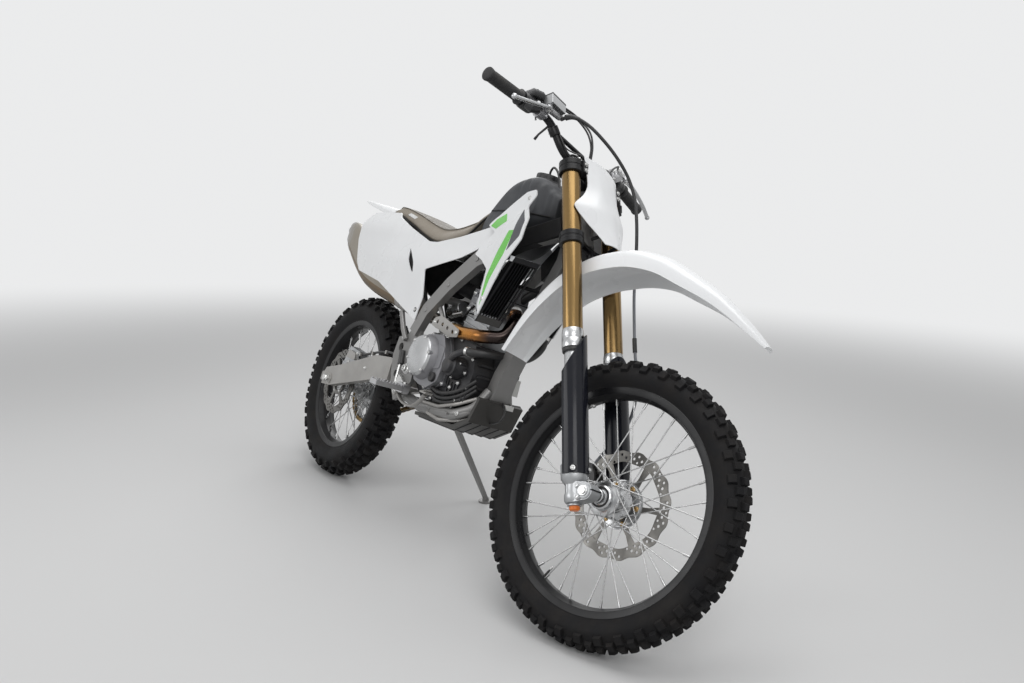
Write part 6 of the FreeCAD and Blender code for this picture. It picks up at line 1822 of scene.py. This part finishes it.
class TRAIL_OT_shock(bpy.types.Operator):
    """Builds the rear shock with its spring and reservoir"""

    bl_idname = "trail.shock"
    bl_label = "Rear shock"

    def execute(self, context):
        run = SHOCK_TOP - SHOCK_LINK
        length = run.length
        run = run.normalized()
        shape = Shape()
        shape.lathe([(16, -2), (16, 30), (11, 34), (11, 70), (27, 72), (30, 78), (30, 84), (22, 88),
                     (22, length - 70), (31, length - 66), (31, length - 52), (27, length - 48),
                     (25, length - 16), (15, length - 12), (15, length + 2)], SHOCK_LINK, run, 40)
        shape.rod(SHOCK_LINK + at(0, -24, 0), SHOCK_LINK + at(0, 24, 0), 14, 24)
        shape.rod(SHOCK_TOP + at(0, -24, 0), SHOCK_TOP + at(0, 24, 0), 13, 24)
        across = run.orthogonal().normalized()
        other = run.cross(across)
        coil, windings, steps = [], 7, 20
        low, high = 86.0, length - 70.0
        for k in range(windings * steps + 1):
            a = 2 * math.pi * k / steps
            coil.append(SHOCK_LINK + run * (low + (high - low) * k / (windings * steps)) +
                        (across * math.cos(a) + other * math.sin(a)) * 28.5)
        shape.tube(coil, 5.4, 10, 1)
        shape.rod(SHOCK_TOP + at(-6, -46, -34), SHOCK_TOP + at(64, -52, -12), 20, 28, 2)
        piece("shock_and_spring", "chassis", shape, ["black_paint", "tank_white", "machined_alloy"],
              replaces=["rear_shock"], bevel=0.5, segments=1, angle=40)
        return {"FINISHED"}


# Frame, radiators, pedals and chain


# Way that the right louvre and radiator face, level and partly outward
FACING = Vector((0.838, -0.545, 0))


def louvre_point(side, across, up, out=0.0):
    """Point on a radiator louvre; across runs 0 to 1 from its outer edge, up from its foot."""
    low = at(863, -137, 672).lerp(at(902, -77, 672), across)
    high = at(964, -137, 868).lerp(at(1002, -77, 868), across)
    spot = low.lerp(high, up) + FACING * out
    return mirror([spot])[0] if side > 0 else spot


def core_bar(shape, side, ends, section, finish):
    """Bar across a radiator's core from one end to the other; section holds (up, outward) points."""
    bar = [[p + FACING * out + at(0, 0, up) for up, out in section] for p in ends]
    shape.rings([mirror(ring) for ring in bar] if side > 0 else bar, finish)


class TRAIL_OT_radiators(bpy.types.Operator):
    """Builds the slatted louvres, the fins of the radiators behind them and the covers of the spars"""

    bl_idname = "trail.radiators"
    bl_label = "Radiators"

    def execute(self, context):
        shape = Shape()
        count = sizes().slats
        for side in (-1, 1):
            for across in (0.03, 0.97):
                section = ((-0.03, -31), (0.03, -31), (0.03, 0), (-0.03, 0))
                shape.rings([[louvre_point(side, across + d, up, out) for d, out in section]
                             for up in (0.0, 1.0)])
            for k in range(count):
                across = (k + 0.5) / count
                section = ((-0.03, -29), (-0.012, -29), (0.03, -1), (0.012, -1))
                shape.rings([[louvre_point(side, across + d, up, out) for d, out in section]
                             for up in (0.01, 0.99)])
            for up, half in ((0.05, 0.05), (0.965, 0.035)):
                section = ((-half, -31), (half, -31), (half, 0), (-half, 0))
                shape.rings([[louvre_point(side, across, up + d, out) for d, out in section]
                             for across in (0.0, 1.0)], 1 if up < 0.1 else 0)
        piece("louvre_slats", "chassis", shape, ["black_plastic", "skid_grey"], replaces=["radiator_louvres"],
              bevel=0.8, segments=1, angle=40)

        cores = Shape()
        for side in (-1, 1):
            foot_a, foot_b = at(842, -131, 694), at(878, -76, 694)
            top_a, top_b = at(930, -131, 864), at(968, -76, 864)
            for k in range(15):
                up = (k + 0.5) / 15
                core_bar(cores, side, (foot_a.lerp(top_a, up), foot_b.lerp(top_b, up)),
                         ((-1.2, -31), (1.2, -31), (1.2, 1), (-1.2, 1)), 0)
            for ends in ((foot_a, foot_b), (top_a, top_b)):
                core_bar(cores, side, ends, ((-8, -33), (8, -33), (8, 2), (-8, 2)), 1)
        piece("radiator_fins", "chassis", cores, ["core_black", "cast_alloy"],
              bevel=0.8, segments=1, angle=40)

        covers = Shape()
        for side in (-1, 1):
            line = [at(1006, side * 38, 988), at(880, side * 74, 928), at(790, side * 100, 872)]
            run = line[0] - line[-1]
            rise = at(-run.z, 0, run.x).normalized()
            section = ((-28.5, -15), (-28.5, 15), (28.5, 15), (28.5, -15))
            covers.rings([[spot + rise * up + at(0, side * out, 0) for up, out in section] for spot in line])
        piece("spar_covers", "chassis", covers, ["black_plastic"], bevel=3.0,
              segments=2, angle=40)
        return {"FINISHED"}


class TRAIL_OT_chassis(bpy.types.Operator):
    """Adds the tubes, brackets, caps and bolts of the frame and the swingarm, and the skid plate's ribs"""

    bl_idname = "trail.chassis"
    bl_label = "Frame details"

    def execute(self, context):
        frame_bits = Shape()
        for side in (-1, 1):
            y = 113 * side
            for x, z, r in ((530, 472, 15), (500, 440, 7), (540, 560, 8), (455, 560, 6), (532, 400, 7)):
                spot = at(x, y, z)
                frame_bits.lathe([(r * 1.25, -3), (r * 1.25, 1.5), (r * 1.1, 2.4), (0.2, 2.4)], spot,
                                 (0, side, 0), 28, 1)
                frame_bits.bolt(spot + at(0, side * 2.0, 0), (0, side, 0), r * 0.8, r * 0.7, 1)
            frame_bits.tube(bent([at(403, 120 * side, 640), at(446, 119 * side, 586),
                                  at(480, 118 * side, 556)], 30), 8.5, 16)
            frame_bits.tube([at(596, 104 * side, 690), at(640, 96 * side, 640), at(668, 84 * side, 600)], 7,
                            14)
            for x, z, wide in ((880, 928, 76), (752, 848, 113), (640, 757, 114), (552, 665, 114)):
                frame_bits.lathe([(9, -2), (9, 0.8), (7, 1.6), (0.2, 1.6)], at(x, (wide + 10.5) * side, z),
                                 (0, side, 0), 20)
            frame_bits.bolt(at(668, 92 * side, 600), (0, side, 0), 6.5, 6, 1)
            frame_bits.bolt(at(842, 88 * side, 404), (0, side, 0), 6, 5, 1)
        for low, high in ((-128, -112), (112, 128)):
            frame_bits.prism(rounded([(505, 400), (552, 392), (560, 430), (520, 450)], 8), low, high, 1)
        piece("frame_fittings", "chassis", frame_bits, ["frame_paint", "zinc_bolt"],
              bevel=0.8, segments=1, angle=40)

        rails = Shape()
        line = [at(886, -32, 492), at(880, -62, 432), at(822, -84, 399), at(740, -87, 388), at(640, -89, 381),
                at(540, -89, 392)]
        for side in (-1, 1):
            path = bent([at(p.x, -side * p.y, p.z) for p in line], 40)
            rails.tube(path, 14.0, 20, 3)
            rails.tube(bent([at(654, side * 98, 396), at(752, side * 99, 402), at(833, side * 93, 428),
                             at(882, side * 62, 462)], 30), 5.4, 14)
            for x, z in ((700, 384), (800, 394)):
                rails.block(at(x, side * 88, z), (30, 32, 6), (1, 0, 0.05), UPWARD, 3)
        rails.tube(bent([at(700, -96, 372), at(760, -90, 366), at(836, -70, 384), at(880, -30, 420)], 30),
                   6.0, 12)
        rails.block(at(875, 48, 520), (38, 28, 48), finish=1, taper=0.9)
        rails.rod(at(875, 48, 544), at(875, 48, 556), 12, 20, 2)
        rails.block(at(930, 18, 462), (16, 24, 14), (1, 0, 0.3), UPWARD, 1)
        piece("cradle_rails", "chassis", rails, ["arm_alloy", "tank_white", "black_plastic", "frame_paint"],
              bevel=0.8, segments=1, angle=40)

        arm = Shape()
        for side in (-1, 1):
            arm.prism(rounded([(-62, 318), (-62, 350), (14, 352), (22, 334), (14, 316)], 6), side * 97 - 15,
                      side * 97 + 15)
            arm.block(at(-14, side * 113.5, 333), (44, 5, 24), finish=1)
            arm.rod(at(-14, side * 116, 333), at(-14, side * 124, 333), 13, 6, 1)
            arm.rod(at(-84, side * 97, 333), at(-60, side * 97, 333), 4, 12, 1)
            arm.bolt(at(-66, side * 97, 333), (-1, 0, 0), 7, 5, 1)
            arm.bolt(at(250, side * 109.5, 420), (0, side, 0), 5, 4, 1)
        arm.hose([at(110, -74, 440), at(150, -88, 452), at(230, -98, 470), at(330, -104, 492),
                  at(420, -106, 500), at(500, -104, 480)], 6, 4.0, 12, 2)
        for x, z in ((166, 456), (262, 476), (360, 496)):
            arm.block(at(x, -96 - (x - 166) * 0.045, z), (9, 12, 12), (1, 0, 0.25), UPWARD)
        arm.prism(rounded([(380, 482), (380, 496), (470, 500), (545, 486), (545, 452), (500, 440),
                           (470, 470)], 8), 56, 84, 3)
        guide = rounded([(40, 214), (30, 236), (70, 262), (150, 262), (150, 232), (90, 208)], 10)
        arm.prism(guide, 54, 62, 3)
        arm.prism(guide, 76, 84, 3)
        for x in (70, 130):
            arm.rod(at(x, 54, 252), at(x, 90, 252), 4, 12, 1)
        arm.prism(rounded([(90, 262), (96, 318), (150, 330), (150, 262)], 10), 80, 90)
        for x, z in ((60, 414), (110, 452), (96, 410)):
            arm.bolt(at(x, -83, z), RIGHTWARD, 5, 4.5, 1)
        arm.prism(rounded([(48, 428), (56, 458), (112, 452), (118, 428)], 8), -92, -82)
        piece("swingarm_fittings", "chassis", arm, ["arm_alloy", "zinc_bolt", "hose_rubber", "black_plastic"],
              bevel=0.8, segments=1, angle=40)

        skid = Shape()
        for y in (-66, -33, 0, 33, 66):
            skid.tube([at(612, y, 346), at(820, y, 354), at(892, y, 392), at(912, y, 462)], 3.4, 8)
        piece("skid_ribs", "chassis", skid, ["black_plastic"])
        return {"FINISHED"}


class TRAIL_OT_controls(bpy.types.Operator):
    """Builds the toothed footpegs, the brake pedal and the shift lever"""

    bl_idname = "trail.controls"
    bl_label = "Pegs and pedals"

    def execute(self, context):
        pegs = Shape()
        for side in (-1, 1):
            for x in (549, 588):
                pegs.prism([(x - 2, 404), (x + 2, 404), (x + 2, 419), (x - 2, 419)], side * 135, side * 232)
                for k in range(9):
                    pegs.block(at(x, side * (141 + k * 10.6), 421.5), (3.6, 6.4, 5), taper=0.45)
            for k in range(4):
                y = side * (150 + k * 24)
                pegs.block(at(568, y, 411), (38, 4, 13))
                pegs.block(at(568, y, 420.5), (6, 5, 7), taper=0.5)
            pegs.prism([(549, 404), (588, 404), (588, 419), (549, 419)], side * 229, side * 233)
            pegs.prism(rounded([(546, 398), (585, 398), (590, 425), (548, 430)], 5), side * 112, side * 137)
            pegs.rod(at(566, side * 122, 396), at(566, side * 122, 432), 6, 16, 1)
        piece("toothed_footpegs", "chassis", pegs, ["plate_alloy", "zinc_bolt"], replaces=["footpegs"],
              bevel=0.6, segments=1, angle=40)

        pedals = Shape()
        line = smooth_path([at(532, -122, 396), at(580, -123, 374), at(640, -125, 372), at(700, -138, 392),
                            at(746, -149, 425)], 5)
        blade(pedals, line, [(4.4, 8.0)] * len(line), 0, 14, LEFTWARD)
        pedals.block(at(752, -152, 431), (34, 26, 5), (1, 0, 0.25), UPWARD)
        for k in range(4):
            pedals.block(at(741 + 7.4 * k, -152, 434.6 + 1.8 * k), (3, 25, 4), (1, 0, 0.25), UPWARD, 0, 0.6)
        pedals.rod(at(532, -112, 396), at(532, -134, 396), 13, 24)
        pedals.bolt(at(532, -134, 396), RIGHTWARD, 6.5, 5, 1)
        pedals.tube([at(512, -126, 404), at(500, -122, 440), at(492, -119, 480)], 4, 12, 1)
        pedals.rod(at(496, -118, 478), at(480, -116, 520), 11, 20, 2)
        shift = smooth_path([at(650, 112, 440), at(690, 117, 441), at(740, 128, 446), at(782, 141, 457)], 5)
        blade(pedals, shift, [(4.2, 7.0)] * len(shift), 0, 14, LEFTWARD)
        pedals.rod(at(650, 54, 440), at(650, 118, 440), 8, 20)
        pedals.rod(at(782, 138, 457), at(784, 166, 459), 7.4, 18, 3)
        pedals.rod(at(650, 104, 440), at(650, 121, 440), 12, 24)
        piece("pedals", "chassis", pedals, ["arm_alloy", "zinc_bolt", "black_paint", "hose_rubber"],
              replaces=["foot_levers"], bevel=0.5, segments=1, angle=40)
        return {"FINISHED"}


CHAIN_PITCH = 15.875
SMALL_TEETH, LARGE_TEETH = 13, 48
DRIVE_SHAFT = Vector((598, 0, 488))


class TRAIL_OT_chain(bpy.types.Operator):
    """Builds the drive chain link by link"""

    bl_idname = "trail.chain"
    bl_label = "Chain"

    def execute(self, context):
        small, large = (CHAIN_PITCH / (2 * math.sin(math.pi / teeth)) for teeth in (SMALL_TEETH, LARGE_TEETH))
        run = DRIVE_SHAFT - REAR_AXLE
        span = run.length
        lean = math.atan2(run.z, run.x)
        tilt = math.acos((large - small) / span)
        line = [REAR_AXLE + around(large, lean + tilt + (2 * math.pi - 2 * tilt) * k / 60) for k in range(61)]
        line += [DRIVE_SHAFT + around(small, lean - tilt + 2 * tilt * k / 24) for k in range(25)]
        line.append(line[0])
        lengths = [0.0]
        for a, b in zip(line, line[1:]):
            lengths.append(lengths[-1] + (b - a).length)
        links = 2 * round(lengths[-1] / CHAIN_PITCH / 2)
        pins, j = [], 0
        for k in range(links):
            goal = lengths[-1] * k / links
            while lengths[j + 1] < goal:
                j += 1
            share = (goal - lengths[j]) / (lengths[j + 1] - lengths[j])
            pins.append(line[j].lerp(line[j + 1], share))
        shape = Shape()
        for k, pin in enumerate(pins):
            after = pins[(k + 1) % links]
            ahead = (after - pin).normalized()
            up = at(-ahead.z, 0, ahead.x)
            waist = []
            for centre, turn in ((pin, math.pi / 2), (after, -math.pi / 2)):
                for step in range(6):
                    a = turn + math.pi * step / 5
                    waist.append(centre + ahead * (6.6 * math.cos(a)) + up * (6.6 * math.sin(a)))
            outer = k % 2
            for low in ((61.0, 75.2) if outer else (63.2, 73.0)):
                shape.rings([[p + at(0, low + d, 0) for p in waist] for d in (0, 1.8)], outer)
            shape.lathe([(5.0, 64.0), (5.0, 74.0)], pin, LEFTWARD, 10)
            shape.lathe([(2.6, 60.2), (2.6, 77.8)], pin, LEFTWARD, 8, 1)
        piece("chain_links", "chassis", shape, ["chain_steel", "bronze_bolt"], replaces=["drive_chain"],
              crease_angle=30)
        return {"FINISHED"}


# Stage


def seen_not_lit(tree):
    """One for rays that reach the camera straight, by a mirror or through glass, else nothing."""
    path = wire(tree, "LightPath", {})
    total = path.outputs["Is Camera Ray"]
    for label in ("Is Glossy Ray", "Is Transmission Ray"):
        total = wire(tree, "Math", {0: total, 1: path.outputs[label]}, operation="MAXIMUM").outputs[0]
    return total


BACKDROP = (0.83, 0.835, 0.84, 1.0)
# Share of the backdrop's brightness that lights the machine
AMBIENT = 0.42
# The photograph's camera: focal length and width in its pixels, the width of its sensor in
# millimetres, the ways that are right and up in it, and its place from the rear axle in metres
FOCAL_PIXELS, PHOTO_WIDTH, SENSOR = 897.016, 1024, 36.0
CAMERA_RIGHT = Vector((0.55537173, 0.83044658, 0.0438259))
CAMERA_UP = Vector((-0.15636988, 0.0525234, 0.98630105))
CAMERA_PLACE = Vector((2.99279, -1.34391, 0.70834))


def glow_strength(tree, level):
    """Full brightness for what the camera sees of the backdrop, and less for its light."""
    return ramp(tree, seen_not_lit(tree), 0.0, 1.0, AMBIENT * level, 1.0)


def studio_world(level):
    world = bpy.data.worlds.new("Studio")
    bpy.context.scene.world = world
    world.use_nodes = True
    tree = world.node_tree
    feed(tree, tree.nodes["Background"], {"Color": BACKDROP, "Strength": glow_strength(tree, level)})


def studio_floor(level):
    """Pale round floor that melts into the background."""
    shape = Shape()
    steps = 96
    rings = [[at(r * math.cos(a), r * math.sin(a), 0) for a in turns(steps)] for r in (0.2, 2, 4, 6, 9, 14,
                                                                                       30, 60)]
    shape.rings(rings, caps=False)
    shape.faces.append(tuple(range(steps)))
    shape.finishes.append(0)
    mesh = bpy.data.meshes.new("studio_floor")
    mesh.from_pydata([tuple(p) for p in shape.points], [], shape.faces)
    material = bpy.data.materials.new("studio_floor")
    material.use_nodes = True
    tree = material.node_tree
    shader = tree.nodes["Principled BSDF"]
    feed(tree, shader, {"Base Color": (0.62, 0.62, 0.62, 1), "Roughness": 0.75})
    glow = wire(tree, "Emission", {"Color": BACKDROP, "Strength": glow_strength(tree, level)})
    place = wire(tree, "TexCoord", {}).outputs["Object"]
    far = wire(tree, "VectorMath", {0: place}, operation="LENGTH").outputs["Value"]
    fade = wire(tree, "MapRange", {"Value": far, "From Min": 2.2, "From Max": 7.5},
                interpolation_type="SMOOTHSTEP")
    mix = wire(tree, "MixShader", {0: fade.outputs["Result"], 1: shader.outputs[0], 2: glow.outputs[0]})
    feed(tree, tree.nodes["Material Output"], {"Surface": mix.outputs[0]})
    mesh.materials.append(material)
    floor = bpy.data.objects.new("studio_floor", mesh)
    bpy.context.scene.collection.objects.link(floor)


def soft_light(name, place, aim, size, power):
    data = bpy.data.lights.new(name, "AREA")
    data.shape = "RECTANGLE"
    data.size, data.size_y = size
    data.energy = power
    light = bpy.data.objects.new(name, data)
    bpy.context.scene.collection.objects.link(light)
    light.location = place
    light.rotation_euler = (Vector(place) - Vector(aim)).to_track_quat("Z", "Y").to_euler()


def photo_camera():
    data = bpy.data.cameras.new("photo_camera")
    data.sensor_fit = "HORIZONTAL"
    data.sensor_width = SENSOR
    data.lens = SENSOR * FOCAL_PIXELS / PHOTO_WIDTH
    data.clip_end = 200.0
    camera = bpy.data.objects.new("photo_camera", data)
    matrix = Matrix((CAMERA_RIGHT, CAMERA_UP, CAMERA_RIGHT.cross(CAMERA_UP))).transposed().to_4x4()
    matrix.translation = Vector(JOINTS["rear_wheel"]["pos_m"]) + CAMERA_PLACE
    camera.matrix_world = matrix
    bpy.context.scene.collection.objects.link(camera)
    bpy.context.scene.camera = camera


class TRAIL_OT_stage(bpy.types.Operator):
    """Adds the pale floor, the soft studio lights and the camera"""

    bl_idname = "trail.stage"
    bl_label = "Stage"

    def execute(self, context):
        context.scene.view_settings.view_transform = "Standard"
        level = look().light
        studio_world(level)
        studio_floor(level)
        aim = (0.0, -0.1, 0.6)
        soft_light("overhead", (0.4, 0.2, 3.4), aim, (3.2, 2.6), 62 * level)
        soft_light("front_key", (3.0, -1.6, 2.6), aim, (1.6, 1.6), 30 * level)
        soft_light("side_fill", (-0.8, -3.4, 1.9), aim, (2.2, 1.6), 26 * level)
        soft_light("rear_rim", (-2.8, 1.8, 2.4), aim, (1.6, 1.6), 24 * level)
        photo_camera()
        return {"FINISHED"}


class TRAIL_OT_finishes(bpy.types.Operator):
    """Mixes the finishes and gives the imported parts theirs"""

    bl_idname = "trail.finishes"
    bl_label = "Finishes"

    def execute(self, context):
        mix_finishes(look())
        for label, nodes in PAINTED.items():
            for node in nodes:
                paint_node(node, label)
        return {"FINISHED"}


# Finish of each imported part, for as long as no piece replaces it
PAINTED = {
    "frame_paint": ("main_frame", "lower_cradle", "side_stand"),
    "black_paint": ("subframe", "stand_bracket", "foot_levers", "rear_shock"),
    "arm_alloy": ("swingarm",),
    "zinc_bolt": ("axle_and_pivot_bolts", "front_axle"),
    "engine_black": ("engine_case",),
    "cast_alloy": ("cylinder", "footpegs", "rear_caliper", "front_caliper"),
    "cover_alloy": ("engine_covers", "cylinder_head"),
    "heated_pipe": ("exhaust_header",),
    "silencer_shell": ("silencer",),
    "core_black": ("airbox", "radiators"),
    "black_plastic": ("radiator_louvres",),
    "skid_grey": ("skid_plate",),
    "tank_plastic": ("fuel_tank",),
    "cap_black": ("fuel_cap", "bar_controls"),
    "seat_side": ("seat",),
    "white_plastic": ("rear_fender", "side_panels", "shrouds", "front_fender", "number_plate"),
    "chain_steel": ("drive_chain", "drive_sprocket"),
    "tyre_rubber": ("rear_tyre", "front_tyre"),
    "black_anodise": ("rear_rim", "front_rim"),
    "spoke_steel": ("rear_spokes", "front_spokes"),
    "machined_alloy": ("rear_hub", "front_hub", "levers"),
    "disc_steel": ("rear_disc", "front_disc", "rear_sprocket"),
    "gold_anodise": ("fork_outer_tubes",),
    "gloss_black": ("fork_guards", "upper_clamp", "lower_clamp", "handlebar"),
    "grip_rubber": ("grips",),
    "hose_rubber": ("brake_hose",),
    "plate_alloy": ("fork_lowers",),
}

OPERATORS = (TRAIL_OT_finishes, TRAIL_OT_front_wheel, TRAIL_OT_rear_wheel, TRAIL_OT_fork, TRAIL_OT_clamps,
             TRAIL_OT_front_fender, TRAIL_OT_front_plate, TRAIL_OT_tank, TRAIL_OT_seat, TRAIL_OT_panels,
             TRAIL_OT_bars, TRAIL_OT_engine, TRAIL_OT_exhaust, TRAIL_OT_shock, TRAIL_OT_radiators,
             TRAIL_OT_chassis, TRAIL_OT_controls, TRAIL_OT_chain, TRAIL_OT_stage)


class TRAIL_PT_panel(bpy.types.Panel):
    """Sizes, colours and the pieces of the machine"""

    bl_idname = "TRAIL_PT_panel"
    bl_label = "Trail Motorcycle"
    bl_space_type = "VIEW_3D"
    bl_region_type = "UI"
    bl_category = "Trail Motorcycle"

    def draw(self, context):
        for group in (look(), sizes()):
            column = self.layout.column(align=True)
            for name in group.__annotations__:
                column.prop(group, name)
        column = self.layout.column(align=True)
        for operator in OPERATORS:
            column.operator(operator.bl_idname)


CLASSES = (TRAIL_look, TRAIL_sizes) + OPERATORS + (TRAIL_PT_panel,)


def register():
    for cls in CLASSES:
        bpy.utils.register_class(cls)
    bpy.types.Scene.trail_look = PointerProperty(type=TRAIL_look)
    bpy.types.Scene.trail_sizes = PointerProperty(type=TRAIL_sizes)


def unregister():
    del bpy.types.Scene.trail_sizes
    del bpy.types.Scene.trail_look
    for cls in reversed(CLASSES):
        bpy.utils.unregister_class(cls)


def main():
    register()
    for operator in OPERATORS:
        getattr(bpy.ops.trail, operator.bl_idname.split(".")[1])()


if __name__ == "__main__":
    main()
